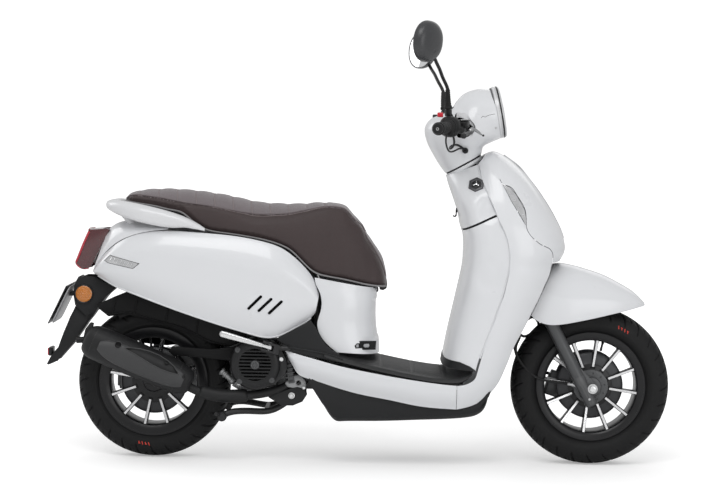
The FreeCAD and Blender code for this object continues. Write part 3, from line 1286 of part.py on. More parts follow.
# pieces of one material on one body share a file
GROUPS = {
    "lower_fairings": ["leg_wings", "side_skirts"],
    "front_shield": ["front_shield", "front_trim_strip"],
    "lenses": ["front_indicators", "rear_indicators", "side_reflectors", "rear_reflector"],
    "inner_shield": ["inner_shield_upper", "inner_shield_lower"],
    "floorboard": ["floorboard", "floor_rear_corners"],
    "side_panels": ["side_panels", "tail_cover"],
    "tail_lamp": ["tail_lamp_lens", "tail_lamp_bowl"],
    "storage_bucket": ["storage_bucket", "battery"],
    "fuel_tank": ["fuel_tank", "fuel_cap"],
    "frame_fittings": ["seat_hinge", "seat_latch", "ignition_lock", "hanger_bolt",
                       "steering_bearings", "horn"],
    "headlamp": ["headlamp_shell", "headlamp_rim", "headlamp_bowl", "headlamp_lens"],
    "handlebar_cover": ["handlebar_cover", "instrument", "instrument_glass"],
    "bar_controls": ["switch_housing_right", "switch_housing_left",
                     "master_cylinder_right", "master_cylinder_left"],
    "cables": ["control_cables", "brake_hose", "speedometer_cable"],
    "mirror_stems": ["mirror_stem_right", "mirror_stem_left"],
    "mirror_head_right": ["mirror_head_right", "mirror_glass_right"],
    "mirror_head_left": ["mirror_head_left", "mirror_glass_left"],
    "front_axle": ["front_axle", "speedometer_drive"],
    "front_rim": ["front_rim", "front_wheel_bearings"],
    "crankcase": ["crankcase", "stand_pivot_bolt", "rear_caliper"],
    "cylinder": ["cylinder_head", "cylinder_cowl", "carburettor", "airbox", "starter_motor"],
    "exhaust": ["exhaust", "muffler_shield"],
    "crankshaft_fan": ["crankshaft_pulley", "cooling_fan"],
    "rear_rim": ["rear_rim", "rear_brake_disc", "rear_axle"],
    "handlebar": ["handlebar", "bar_ends"],
}
for group, members in GROUPS.items():
    solids = []
    for member in members:
        solids += parts.pop(member).Solids
    parts[group] = Part.makeCompound(solids)

# ================================================================ write
os.makedirs("parts", exist_ok=True)
for name, shape in parts.items():
    if len(shape.Solids) == 1:
        shape = shape.Solids[0]
    shape.exportStep(os.path.join("parts", name + ".step"))
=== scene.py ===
import bpy, bmesh, math, json
import numpy as np
from mathutils import Vector, Matrix

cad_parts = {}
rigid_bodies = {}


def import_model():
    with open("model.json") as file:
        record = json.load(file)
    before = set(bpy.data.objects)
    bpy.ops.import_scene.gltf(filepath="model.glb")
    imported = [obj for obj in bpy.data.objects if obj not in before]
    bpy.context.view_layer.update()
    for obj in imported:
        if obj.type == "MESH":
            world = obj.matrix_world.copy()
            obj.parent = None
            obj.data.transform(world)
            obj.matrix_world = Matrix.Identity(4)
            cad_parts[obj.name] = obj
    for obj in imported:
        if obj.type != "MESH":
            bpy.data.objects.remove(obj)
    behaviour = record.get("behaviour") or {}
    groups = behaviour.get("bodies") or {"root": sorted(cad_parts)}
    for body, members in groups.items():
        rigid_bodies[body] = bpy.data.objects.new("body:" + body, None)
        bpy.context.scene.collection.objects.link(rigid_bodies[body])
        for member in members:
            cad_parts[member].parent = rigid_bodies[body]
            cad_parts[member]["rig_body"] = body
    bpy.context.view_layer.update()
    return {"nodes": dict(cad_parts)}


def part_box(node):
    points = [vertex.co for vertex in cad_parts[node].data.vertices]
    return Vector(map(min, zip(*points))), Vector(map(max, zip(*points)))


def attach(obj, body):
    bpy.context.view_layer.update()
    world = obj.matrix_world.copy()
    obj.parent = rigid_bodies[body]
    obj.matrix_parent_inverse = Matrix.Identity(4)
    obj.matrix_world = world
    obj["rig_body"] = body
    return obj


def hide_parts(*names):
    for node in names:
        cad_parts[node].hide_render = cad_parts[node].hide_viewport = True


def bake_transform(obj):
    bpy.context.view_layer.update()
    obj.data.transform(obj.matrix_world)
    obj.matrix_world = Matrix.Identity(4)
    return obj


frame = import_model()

K = 0.001
sc = bpy.context.scene

# ------------------------------------------------------------------ curves and grids


def spl(P, n, closed=False, uniform=False):
    """n samples of a natural cubic spline through the rows of P, by chord length."""
    P = np.array(P, float)
    if closed:
        k = 4
        Q = np.vstack([P[-k:], P, P[:k + 1]])
        d = np.r_[0, np.cumsum(np.maximum(np.linalg.norm(np.diff(Q[:, :3], axis=0), axis=1) ** 0.5, 1e-9))]
        t = np.linspace(d[k], d[k + len(P)], n, endpoint=False)
        return _nat(d, Q, t)
    q = P[:, :3] if P.shape[1] >= 3 else P
    d = np.r_[0, np.cumsum(np.maximum(np.linalg.norm(np.diff(P, axis=0), axis=1) ** (0.0 if uniform else 0.7), 1e-9))]
    return _nat(d, P, np.linspace(0, d[-1], n))


def _nat(x, Y, t):
    n = len(x)
    if n == 2:
        f = ((t - x[0]) / (x[1] - x[0]))[:, None]
        return Y[0] * (1 - f) + Y[1] * f
    h = np.diff(x)
    A = np.zeros((n, n))
    B = np.zeros_like(Y)
    A[0, 0] = A[-1, -1] = 1
    for i in range(1, n - 1):
        A[i, i - 1], A[i, i], A[i, i + 1] = h[i - 1], 2 * (h[i - 1] + h[i]), h[i]
        B[i] = 6 * ((Y[i + 1] - Y[i]) / h[i] - (Y[i] - Y[i - 1]) / h[i - 1])
    M = np.linalg.solve(A, B)
    i = np.clip(np.searchsorted(x, t) - 1, 0, n - 2)
    a, b, hh = (x[i + 1] - t)[:, None], (t - x[i])[:, None], h[i][:, None]
    return M[i] * a ** 3 / (6 * hh) + M[i + 1] * b ** 3 / (6 * hh) + (Y[i] / hh - M[i] * hh / 6) * a + (Y[i + 1] / hh - M[i + 1] * hh / 6) * b


def table(rows, n):
    """Rows of numbers or nested points, splined to n rows."""
    flat = np.array([np.hstack([np.ravel(c) for c in r]) for r in rows], float)
    return spl(flat, n)


def ribs(rows, nu, nv, full=True, a1=1.0):
    """Superellipse panel: rows of (centre xz, side xz, half width, power)."""
    T = table(rows, nu)
    a = np.linspace(0, a1, nv) * math.pi / 2
    G = np.zeros((nu, nv, 3))
    for i, (cx, cz, sx, sz, w, n) in enumerate(T):
        s, c = np.sin(a).clip(0) ** (2 / n), np.cos(a).clip(0) ** (2 / n)
        G[i, :, 0] = sx + (cx - sx) * s
        G[i, :, 1] = -w * c
        G[i, :, 2] = sz + (cz - sz) * s
    if full:
        M = G[:, ::-1][:, 1:].copy()
        M[..., 1] *= -1
        G = np.concatenate([G, M], axis=1)
    return G


def refine(G, nu, nv):
    """A small grid of points splined both ways."""
    G = np.array(G, float)
    a = np.stack([spl(G[:, j], nu) for j in range(G.shape[1])], 1)
    return np.stack([spl(a[i], nv) for i in range(nu)], 0)


def gnormals(G):
    du = np.gradient(G, axis=0)
    dv = np.gradient(G, axis=1)
    n = np.cross(du, dv)
    return n / np.maximum(np.linalg.norm(n, axis=2, keepdims=True), 1e-9)


def rot(P, c, axis, deg):
    """Points turned about an axis through c."""
    R = np.array(Matrix.Rotation(math.radians(deg), 3, Vector(axis)))
    return (np.array(P, float) - c) @ R.T + c


# ------------------------------------------------------------------ meshes
def quads(nu, nv, cu=False, cv=False, off=0):
    F = []
    for i in range(nu if cu else nu - 1):
        i2 = (i + 1) % nu
        for j in range(nv if cv else nv - 1):
            j2 = (j + 1) % nv
            F.append((off + i * nv + j, off + i2 * nv + j, off + i2 * nv + j2, off + i * nv + j2))
    return F


def raw(name, V_, F):
    me = bpy.data.meshes.new(name)
    me.from_pydata([tuple(v) for v in np.asarray(V_, float) * K], [], F)
    me.validate()
    o = bpy.data.objects.new(name, me)
    sc.collection.objects.link(o)
    return o


def outward(o):
    bm = bmesh.new()
    bm.from_mesh(o.data)
    bmesh.ops.recalc_face_normals(bm, faces=bm.faces)
    bm.to_mesh(o.data)
    bm.free()


def sharp(o, deg=35):
    bm = bmesh.new()
    bm.from_mesh(o.data)
    lim = math.radians(deg)
    for e in bm.edges:
        e.smooth = len(e.link_faces) == 2 and e.calc_face_angle(0.0) < lim
    for f in bm.faces:
        f.smooth = True
    bm.to_mesh(o.data)
    bm.free()


def apply(o):
    dg = bpy.context.evaluated_depsgraph_get()
    dg.update()
    me = bpy.data.meshes.new_from_object(o.evaluated_get(dg))
    o.modifiers.clear()
    o.data = me


def done(o, mat, body, rep=(), deg=35, bevel=0.0, seg=2, sub=0, blim=40):
    """Finishes a mesh: bevel, normals, material, body."""
    if bevel:
        m = o.modifiers.new("b", "BEVEL")
        m.width, m.segments, m.limit_method, m.angle_limit = bevel * K, seg, "ANGLE", math.radians(blim)
        m.harden_normals = False
        apply(o)
    if sub:
        m = o.modifiers.new("s", "SUBSURF")
        m.levels = m.render_levels = sub
        apply(o)
    sharp(o, deg)
    o.data.materials.clear()
    for mm in (mat if isinstance(mat, (list, tuple)) else [mat]):
        o.data.materials.append(mm)
    if body:
        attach(o, body)
    if rep:
        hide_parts(*rep)
    return o


def shell(name, G, t, cu=False, cv=False, N=None):
    """Thick panel from a grid: thickness t against the grid's normal."""
    G = np.asarray(G, float)
    if N is None:
        if cv:
            W = np.concatenate([G[:, -1:], G, G[:, :1]], 1)
            N = gnormals(W)[:, 1:-1]
        else:
            N = gnormals(G)
    H = G - N * t
    nu, nv = G.shape[:2]
    V_ = np.vstack([G.reshape(-1, 3), H.reshape(-1, 3)])
    n = nu * nv
    F = quads(nu, nv, cu, cv)
    F2 = [tuple(n + k for k in reversed(f)) for f in F]
    E = []
    if not cu:
        for i in (0, nu - 1):
            for j in range(nv if cv else nv - 1):
                a, b = i * nv + j, i * nv + (j + 1) % nv
                E.append((a, b, n + b, n + a) if i else (b, a, n + a, n + b))
    if not cv:
        for j in (0, nv - 1):
            for i in range(nu if cu else nu - 1):
                a, b = i * nv + j, ((i + 1) % nu) * nv + j
                E.append((b, a, n + a, n + b) if j else (a, b, n + b, n + a))
    o = raw(name, V_, F + F2 + E)
    outward(o)
    return o


def solid_loft(name, R, caps=True, tip=0.0):
    """Closed rings (k, m, 3) joined into a solid; caps are fans."""
    R = np.asarray(R, float)
    k, m = R.shape[:2]
    V_ = R.reshape(-1, 3)
    F = quads(k, m, False, True)
    if caps:
        V_ = np.vstack([V_, R[0].mean(0), R[-1].mean(0)])
        c0, c1 = k * m, k * m + 1
        F += [(c0, (j + 1) % m, j) for j in range(m)]
        F += [(c1, (k - 1) * m + j, (k - 1) * m + (j + 1) % m) for j in range(m)]
    o = raw(name, V_, F)
    outward(o)
    return o


def frames(P):
    """Parallel-transport frames along a path."""
    P = np.asarray(P, float)
    T = np.gradient(P, axis=0)
    T /= np.linalg.norm(T, axis=1, keepdims=True)
    a = np.array([0, 0, 1.0]) if abs(T[0][2]) < 0.9 else np.array([1.0, 0, 0])
    u = np.cross(T[0], a)
    u /= np.linalg.norm(u)
    U = [u]
    for i in range(1, len(P)):
        v = U[-1] - T[i] * np.dot(U[-1], T[i])
        U.append(v / np.linalg.norm(v))
    U = np.array(U)
    return T, U, np.cross(T, U)


def tube(name, P, r, seg=14, n=None, smoothpath=True, closed=False):
    """Round tube; r is a number or a list along the control points."""
    P = np.asarray(P, float)
    rr = np.full(len(P), float(r)) if np.isscalar(r) else np.asarray(r, float)
    if smoothpath:
        n = n or max(12, len(P) * 8)
        Q = spl(np.hstack([P, rr[:, None]]), n)
        P, rr = Q[:, :3], Q[:, 3]
    T, U, W = frames(P)
    a = np.linspace(0, 2 * math.pi, seg, endpoint=False)
    R = P[:, None] + rr[:, None, None] * (np.cos(a)[None, :, None] * U[:, None] + np.sin(a)[None, :, None] * W[:, None])
    return solid_loft(name, R)


def sweep(name, P, sec, n=None, up=None, caps=True):
    """Closed section (k,2) along a path."""
    P = spl(P, n or len(P) * 8)
    T = np.gradient(P, axis=0)
    T /= np.linalg.norm(T, axis=1, keepdims=True)
    up = np.array(up if up is not None else (0, 0, 1), float)
    U = np.cross(T, up)
    U /= np.linalg.norm(U, axis=1, keepdims=True)
    W = np.cross(U, T)
    sec = np.asarray(sec, float)
    R = P[:, None] + sec[None, :, 0, None] * U[:, None] + sec[None, :, 1, None] * W[:, None]
    return solid_loft(name, R, caps)


def basis(axis):
    d = np.array(axis, float)
    d /= np.linalg.norm(d)
    a = np.array([0, 0, 1.0]) if abs(d[2]) < 0.9 else np.array([1.0, 0, 0])
    u = np.cross(a, d)
    u /= np.linalg.norm(u)
    return d, u, np.cross(d, u)


def lathe(name, c, axis, prof, seg=64, closed=True, ref=None):
    """Profile of (radius, along) turned about an axis; closed profiles make a solid ring, open ones are capped at the axis."""
    d, u, w = basis(axis)
    if ref is not None:
        u = np.array(ref, float)
        u -= d * np.dot(u, d)
        u /= np.linalg.norm(u)
        w = np.cross(d, u)
    c = np.array(c, float)
    a = np.linspace(0, 2 * math.pi, seg, endpoint=False)
    dirs = np.cos(a)[:, None] * u + np.sin(a)[:, None] * w
    prof = np.array(prof, float)
    G = c + prof[None, :, 0, None] * dirs[:, None] + prof[None, :, 1, None] * d
    m = len(prof)
    F = quads(seg, m, True, closed)
    o = raw(name, G.reshape(-1, 3), F)
    if not closed:
        bm = bmesh.new()
        bm.from_mesh(o.data)
        bmesh.ops.remove_doubles(bm, verts=bm.verts, dist=1e-6)
        bmesh.ops.holes_fill(bm, edges=[e for e in bm.edges if len(e.link_faces) == 1], sides=0)
        bm.to_mesh(o.data)
        bm.free()
    else:
        bm = bmesh.new()
        bm.from_mesh(o.data)
        bmesh.ops.remove_doubles(bm, verts=bm.verts, dist=1e-6)
        bm.to_mesh(o.data)
        bm.free()
    outward(o)
    return o


def plate(name, pts, y0, y1, spline=0, tr=None):
    """Polygon in XZ pushed from y0 to y1 (a side-view cut-out)."""
    pts = np.array(pts, float)
    if spline:
        pts = spl(pts, spline, closed=True)
    m = len(pts)
    V_ = np.vstack([np.c_[pts[:, 0], np.full(m, y0), pts[:, 1]], np.c_[pts[:, 0], np.full(m, y1), pts[:, 1]]])
    F = [tuple(range(m)), tuple(range(2 * m - 1, m - 1, -1))] + [(j, (j + 1) % m, m + (j + 1) % m, m + j) for j in range(m)]
    o = raw(name, V_, F)
    outward(o)
    return o


def block(name, c, ex, ey, ez, hx, hy, hz):
    """Box about c along three unit directions."""
    c, ex, ey, ez = (np.array(v, float) for v in (c, ex, ey, ez))
    V_ = [c + ex * hx * sx + ey * hy * sy + ez * hz * sz for sx in (-1, 1) for sy in (-1, 1) for sz in (-1, 1)]
    F = [(0, 1, 3, 2), (4, 6, 7, 5), (0, 4, 5, 1), (2, 3, 7, 6), (0, 2, 6, 4), (1, 5, 7, 3)]
    o = raw(name, V_, F)
    outward(o)
    return o


X_, Y_, Z_ = (1, 0, 0), (0, 1, 0), (0, 0, 1)


def abox(name, x0, x1, y0, y1, z0, z1):
    return block(name, ((x0 + x1) / 2, (y0 + y1) / 2, (z0 + z1) / 2), X_, Y_, Z_, (x1 - x0) / 2, (y1 - y0) / 2, (z1 - z0) / 2)


def cylo(name, a, b, r, seg=32, r2=None):
    a, b = np.array(a, float), np.array(b, float)
    L = np.linalg.norm(b - a)
    return lathe(name, a, b - a, [(0, 0), (r, 0), (r if r2 is None else r2, L), (0, L)], seg, closed=False)


def boolean(o, cutters, op="DIFFERENCE", keep=False):
    for c in cutters:
        m = o.modifiers.new("c", "BOOLEAN")
        m.operation, m.solver, m.object = op, "EXACT", c
    apply(o)
    if not keep:
        for c in cutters:
            bpy.data.objects.remove(c, do_unlink=True)
    return o


def join(name, objs):
    """Several meshes in one object."""
    bm = bmesh.new()
    for ob in objs:
        me = ob.data.copy()
        me.transform(ob.matrix_world)
        bm.from_mesh(me)
    me = bpy.data.meshes.new(name)
    bm.to_mesh(me)
    bm.free()
    for ob in objs:
        bpy.data.objects.remove(ob, do_unlink=True)
    o = bpy.data.objects.new(name, me)
    sc.collection.objects.link(o)
    return o


def flip(o, name):
    """Mirror copy across the centre plane."""
    me = o.data.copy()
    me.transform(Matrix.Diagonal((1, -1, 1, 1)))
    me.flip_normals()
    c = bpy.data.objects.new(name, me)
    sc.collection.objects.link(c)
    return c


def ribbon(path, w, y0, y1):
    """Thin wall along a side-view path, to cut a seam."""
    P = spl(path, max(8, len(path) * 6)) if len(path) > 2 else np.array(path, float)
    t = np.gradient(P, axis=0)
    t /= np.linalg.norm(t, axis=1, keepdims=True)
    n = np.c_[-t[:, 1], t[:, 0]] * w / 2
    L, R = P + n, P - n
    V_, F = [], []
    k = len(P)
    for y in (y0, y1):
        V_ += [(a[0], y, a[1]) for a in L] + [(a[0], y, a[1]) for a in R]
    for i in range(k - 1):
        F += [(i, i + 1, 2 * k + i + 1, 2 * k + i), (k + i + 1, k + i, 3 * k + i, 3 * k + i + 1), (i + 1, i, k + i, k + i + 1), (2 * k + i, 2 * k + i + 1, 3 * k + i + 1, 3 * k + i)]
    F += [(0, 2 * k, 3 * k, k), (k - 1, 2 * k - 1, 4 * k - 1, 3 * k - 1)]
    o = raw("cut", V_, F)
    outward(o)
    return o


# ------------------------------------------------------------------ materials
def material(name, col, rough=0.5, metal=0.0, coat=0.0, coat_r=0.05, bump=0.0, scale=400.0, kind="NOISE", var=0.06, rvar=0.1, spec=0.5, trans=0.0, edge_wear_and_highlight=0.0, edge_wear_and_highlight_col=(0.5, 0.5, 0.5), sheen=0.0, emit=None, ior=1.45, big=6.0, aniso=0.0):
    m = bpy.data.materials.new(name)
    m.use_nodes = True
    nt = m.node_tree
    b = nt.nodes["Principled BSDF"]
    L = nt.links.new
    tc = nt.nodes.new("ShaderNodeTexCoord")
    n1 = nt.nodes.new("ShaderNodeTexNoise")
    n1.inputs["Scale"].default_value = big
    n1.inputs["Detail"].default_value = 4
    L(tc.outputs["Object"], n1.inputs["Vector"])
    mix = nt.nodes.new("ShaderNodeMix")
    mix.data_type = "RGBA"
    c = np.array(col, float)
    mix.inputs[6].default_value = (*np.clip(c * (1 - var), 0, 1), 1)
    mix.inputs[7].default_value = (*np.clip(c * (1 + var), 0, 1), 1)
    L(n1.outputs["Fac"], mix.inputs[0])
    out = mix.outputs[2]
    n2 = nt.nodes.new("ShaderNodeTexNoise")
    n2.inputs["Scale"].default_value = big * 7
    n2.inputs["Detail"].default_value = 6
    L(tc.outputs["Object"], n2.inputs["Vector"])
    mr = nt.nodes.new("ShaderNodeMapRange")
    mr.inputs[3].default_value = max(0.02, rough - rvar * 0.5)
    mr.inputs[4].default_value = min(1.0, rough + rvar * 0.5)
    L(n2.outputs["Fac"], mr.inputs[0])
    L(mr.outputs[0], b.inputs["Roughness"])
    # lighter colour on sharp convex edges, from pointiness: partly rubbed edge wear, partly painted highlight along the
    # edges
    if edge_wear_and_highlight:
        g = nt.nodes.new("ShaderNodeNewGeometry")
        r = nt.nodes.new("ShaderNodeMapRange")
        r.inputs[1].default_value, r.inputs[2].default_value = 0.53, 0.62
        L(g.outputs["Pointiness"], r.inputs[0])
        mu = nt.nodes.new("ShaderNodeMath")
        mu.operation = "MULTIPLY"
        L(r.outputs[0], mu.inputs[0])
        mu.inputs[1].default_value = edge_wear_and_highlight
        mw = nt.nodes.new("ShaderNodeMix")
        mw.data_type = "RGBA"
        L(mu.outputs[0], mw.inputs[0])
        L(out, mw.inputs[6])
        mw.inputs[7].default_value = (*edge_wear_and_highlight_col, 1)
        out = mw.outputs[2]
    L(out, b.inputs["Base Color"])
    if bump:
        if kind == "VORONOI":
            t = nt.nodes.new("ShaderNodeTexVoronoi")
            t.feature = "DISTANCE_TO_EDGE"
            t.inputs["Scale"].default_value = scale
            L(tc.outputs["Object"], t.inputs["Vector"])
            h = t.outputs["Distance"]
        elif kind == "BRUSH":
            mp = nt.nodes.new("ShaderNodeMapping")
            mp.inputs["Scale"].default_value = (1, 1, 30)
            L(tc.outputs["Object"], mp.inputs["Vector"])
            t = nt.nodes.new("ShaderNodeTexNoise")
            t.inputs["Scale"].default_value = scale
            L(mp.outputs[0], t.inputs["Vector"])
            h = t.outputs["Fac"]
        else:
            t = nt.nodes.new("ShaderNodeTexNoise")
            t.inputs["Scale"].default_value = scale
            t.inputs["Detail"].default_value = 3
            L(tc.outputs["Object"], t.inputs["Vector"])
            h = t.outputs["Fac"]
        bp = nt.nodes.new("ShaderNodeBump")
        bp.inputs["Strength"].default_value = bump
        bp.inputs["Distance"].default_value = 0.0006
        L(h, bp.inputs["Height"])
        L(bp.outputs[0], b.inputs["Normal"])
    b.inputs["Metallic"].default_value = metal
    b.inputs["Specular IOR Level"].default_value = spec
    b.inputs["IOR"].default_value = ior
    b.inputs["Coat Weight"].default_value = coat
    b.inputs["Coat Roughness"].default_value = coat_r
    b.inputs["Transmission Weight"].default_value = trans
    b.inputs["Anisotropic"].default_value = aniso
    if sheen:
        b.inputs["Sheen Weight"].default_value = sheen
        b.inputs["Sheen Roughness"].default_value = 0.4
    if emit:
        b.inputs["Emission Color"].default_value = (*emit[0], 1)
        b.inputs["Emission Strength"].default_value = emit[1]
    return m


WHITE = material("white_body", (0.69, 0.70, 0.72), 0.28, coat=0.55, coat_r=0.04, bump=0.006, scale=40, var=0.008, rvar=0.03, big=2.5)
LAMPR = material("lamp_rim_paint", (0.56, 0.565, 0.575), 0.34, metal=0.25, coat=0.4, coat_r=0.12, bump=0.01, scale=300, var=0.02, rvar=0.04)
STRIPC = material("strip_paint", (0.44, 0.445, 0.46), 0.3, metal=0.35, coat=0.5, coat_r=0.1, bump=0.01, scale=300, var=0.02, rvar=0.04)
# heat shield paint: its lighter convex edges are a painted edge highlight
SHLD = material("shield_paint", (0.046, 0.0465, 0.048), 0.46, spec=0.4, bump=0.22, scale=1600, var=0.08, rvar=0.1, edge_wear_and_highlight=0.3, edge_wear_and_highlight_col=(0.13, 0.13, 0.13))
BEZL = material("bezel_metal", (0.10, 0.10, 0.105), 0.3, metal=0.8, bump=0.05, scale=500, var=0.08)
BLACK2 = material("deep_black", (0.0045, 0.0046, 0.005), 0.5, spec=0.25, bump=0.2, scale=1200, var=0.2)
# mid grey: the headlamp gasket's own grey, and painted shade along the shell's split line
GASKET_GREY_AND_SEAM_SHADE = material("gasket_grey_and_seam_shade", (0.11, 0.11, 0.115), 0.7, var=0.1)
MIRB = material("mirror_back", (0.030, 0.031, 0.034), 0.38, spec=0.6, coat=0.25, coat_r=0.3, bump=0.1, scale=1200, var=0.12)
LEVA = material("lever_metal", (0.34, 0.345, 0.35), 0.34, metal=0.75, bump=0.1, scale=500, kind="BRUSH", var=0.08)
SILVER = material("rail_paint", (0.66, 0.665, 0.68), 0.32, coat=0.4, bump=0.03, scale=300, var=0.02, big=4)
BLACKP = material("black_plastic", (0.012, 0.0125, 0.0135), 0.5, spec=0.32, bump=0.22, scale=1400, var=0.15, edge_wear_and_highlight=0.25, edge_wear_and_highlight_col=(0.07, 0.07, 0.07))
SATIN = material("satin_black", (0.010, 0.0102, 0.011), 0.36, spec=0.4, bump=0.05, scale=900, var=0.12, edge_wear_and_highlight=0.2, edge_wear_and_highlight_col=(0.06, 0.06, 0.06))
# flat black: the dial's own black, and elsewhere painted shade in gaps, slots and hollows
BLACK_AND_PAINTED_SHADE = material("black_and_painted_shade", (0.006, 0.006, 0.007), 0.8, var=0.2)
GRIP = material("rubber", (0.012, 0.012, 0.0125), 0.6, spec=0.35, bump=0.3, scale=900, var=0.15)
TYRE = material("tyre", (0.0085, 0.0086, 0.009), 0.62, spec=0.28, bump=0.25, scale=700, var=0.25, rvar=0.16, big=14)
RIM = material("wheel_paint", (0.008, 0.008, 0.009), 0.3, spec=0.35, coat=0.12, coat_r=0.2, bump=0.04, scale=800, var=0.15)
MACH = material("machined", (0.80, 0.80, 0.81), 0.26, metal=1.0, bump=0.25, scale=300, kind="BRUSH", var=0.05, rvar=0.14, big=20)
DISC = material("disc_dark", (0.05, 0.051, 0.054), 0.36, metal=0.5, bump=0.18, scale=250, kind="BRUSH", var=0.12, big=20)
GRAPH = material("graphite_paint", (0.075, 0.077, 0.080), 0.4, metal=0.45, coat=0.2, coat_r=0.25, bump=0.08, scale=1200, var=0.08, edge_wear_and_highlight=0.2, edge_wear_and_highlight_col=(0.2, 0.2, 0.2))
MUFF = material("exhaust_paint", (0.013, 0.0132, 0.014), 0.52, spec=0.35, bump=0.28, scale=1600, var=0.12, rvar=0.14, edge_wear_and_highlight=0.25, edge_wear_and_highlight_col=(0.06, 0.06, 0.06))
CAST = material("cast_aluminium", (0.33, 0.335, 0.34), 0.46, metal=0.85, bump=0.4, scale=700, var=0.16, rvar=0.2, big=22)
ALU = material("aluminium", (0.78, 0.785, 0.79), 0.28, metal=1.0, bump=0.12, scale=350, kind="BRUSH", var=0.06, rvar=0.16, big=20)
STEEL = material("steel", (0.56, 0.565, 0.57), 0.3, metal=1.0, bump=0.1, scale=350, kind="BRUSH", var=0.08, rvar=0.16, big=24)
CHROME = material("chrome", (0.86, 0.865, 0.875), 0.07, metal=1.0, var=0.02, rvar=0.05)
FRAMEP = material("frame_paint", (0.015, 0.015, 0.016), 0.42, bump=0.1, scale=500, var=0.15)
GLASS = material("clear_lens", (0.93, 0.94, 0.95), 0.03, trans=0.92, ior=1.45, var=0.01, rvar=0.02)
LENS = material("silver_lens", (0.50, 0.505, 0.515), 0.2, metal=0.3, coat=1.0, coat_r=0.03, bump=0.4, scale=600, kind="VORONOI", var=0.25, big=60)
MIRR = material("mirror_glass", (0.90, 0.91, 0.92), 0.015, metal=1.0, var=0.01, rvar=0.01)
REDL = material("red_lens", (0.085, 0.012, 0.016), 0.1, coat=1.0, coat_r=0.03, trans=0.12, bump=0.06, scale=300, kind="VORONOI", var=0.2, big=30)
REDE = material("red_edge", (0.42, 0.012, 0.03), 0.14, coat=1.0, coat_r=0.03, bump=0.06, scale=300, var=0.15)
AMBER = material("amber", (0.50, 0.155, 0.006), 0.2, coat=1.0, coat_r=0.04, bump=0.7, scale=420, kind="VORONOI", var=0.14, big=60)
REDS = material("red_switch", (0.55, 0.015, 0.03), 0.3, bump=0.05, scale=600, var=0.08)
REDM = material("red_mark", (0.62, 0.05, 0.03), 0.55, bump=0.1, scale=600, var=0.1)
GREYP = material("plate_metal", (0.36, 0.365, 0.38), 0.36, metal=0.3, bump=0.06, scale=500, var=0.06)
MAT = material("floor_rubber", (0.028, 0.0285, 0.0295), 0.5, spec=0.35, bump=0.4, scale=1500, var=0.18, rvar=0.16, edge_wear_and_highlight=0.15, edge_wear_and_highlight_col=(0.06, 0.06, 0.06))
PIPING = material("piping", (0.22, 0.215, 0.22), 0.42, bump=0.1, scale=900, var=0.08)
PIP2 = material("seam_cord", (0.115, 0.094, 0.098), 0.46, bump=0.1, scale=900, var=0.08)
THRD = material("seam_thread", (0.24, 0.20, 0.20), 0.6, bump=0.2, scale=1600, var=0.1)


def leather(name, col, col2, rough):
    m = material(name, col, rough, bump=0.0, var=0.1, rvar=0.14, big=9, sheen=0.25, spec=0.4)
    nt = m.node_tree
    L = nt.links.new
    b = nt.nodes["Principled BSDF"]
    tc = [n for n in nt.nodes if n.type == "TEX_COORD"][0]
    v1 = nt.nodes.new("ShaderNodeTexVoronoi")
    v1.feature = "DISTANCE_TO_EDGE"
    v1.inputs["Scale"].default_value = 520
    v1.inputs["Randomness"].default_value = 1.0
    n = nt.nodes.new("ShaderNodeTexNoise")
    n.inputs["Scale"].default_value = 60
    n.inputs["Detail"].default_value = 5
    L(tc.outputs["Object"], n.inputs["Vector"])
    add = nt.nodes.new("ShaderNodeVectorMath")
    add.operation = "MULTIPLY_ADD"
    L(n.outputs["Color"], add.inputs[0])
    add.inputs[1].default_value = (0.004, 0.004, 0.004)
    L(tc.outputs["Object"], add.inputs[2])
    L(add.outputs[0], v1.inputs["Vector"])
    r = nt.nodes.new("ShaderNodeMapRange")
    r.inputs[1].default_value, r.inputs[2].default_value = 0.0, 0.12
    L(v1.outputs["Distance"], r.inputs[0])
    a2 = nt.nodes.new("ShaderNodeMath")
    a2.operation = "MULTIPLY_ADD"
    L(n.outputs["Fac"], a2.inputs[0])
    a2.inputs[1].default_value = 0.6
    L(r.outputs[0], a2.inputs[2])
    bp = nt.nodes.new("ShaderNodeBump")
    bp.inputs["Strength"].default_value = 0.38
    bp.inputs["Distance"].default_value = 0.0005
    L(a2.outputs[0], bp.inputs["Height"])
    L(bp.outputs[0], b.inputs["Normal"])
    mw = nt.nodes.new("ShaderNodeMix")
    mw.data_type = "RGBA"
    src = b.inputs["Base Color"].links[0].from_socket
    L(src, mw.inputs[7])
    mw.inputs[6].default_value = (*col2, 1)
    L(r.outputs[0], mw.inputs[0])
    L(mw.outputs[2], b.inputs["Base Color"])
    return m


SEAT = leather("seat_leather", (0.049, 0.0335, 0.0335), (0.032, 0.0215, 0.0210), 0.44)
# top panel leather: the side leather with a neutral grey added, a painted sheen of the light the upward faces catch
SEAT_TOP_SHEEN = leather("seat_leather_top_painted_sheen", (0.172, 0.148, 0.156), (0.12, 0.10, 0.105), 0.5)

# ------------------------------------------------------------------ geometry constants shared with the CAD
RAKE = 27.5
AXD = np.array([-math.sin(math.radians(RAKE)), 0, math.cos(math.radians(RAKE))])
AXF = np.array([math.cos(math.radians(RAKE)), 0, math.sin(math.radians(RAKE))])
AX0 = np.array([637.0, 0, 305])
XF, RF, XR, RR = 697.8, 236.4, -608.2, 229.4
LEGY = 88.0


def axp(t, f=0.0, y=0.0):
    return AX0 + AXD * t + AXF * f + np.array([0, y, 0])


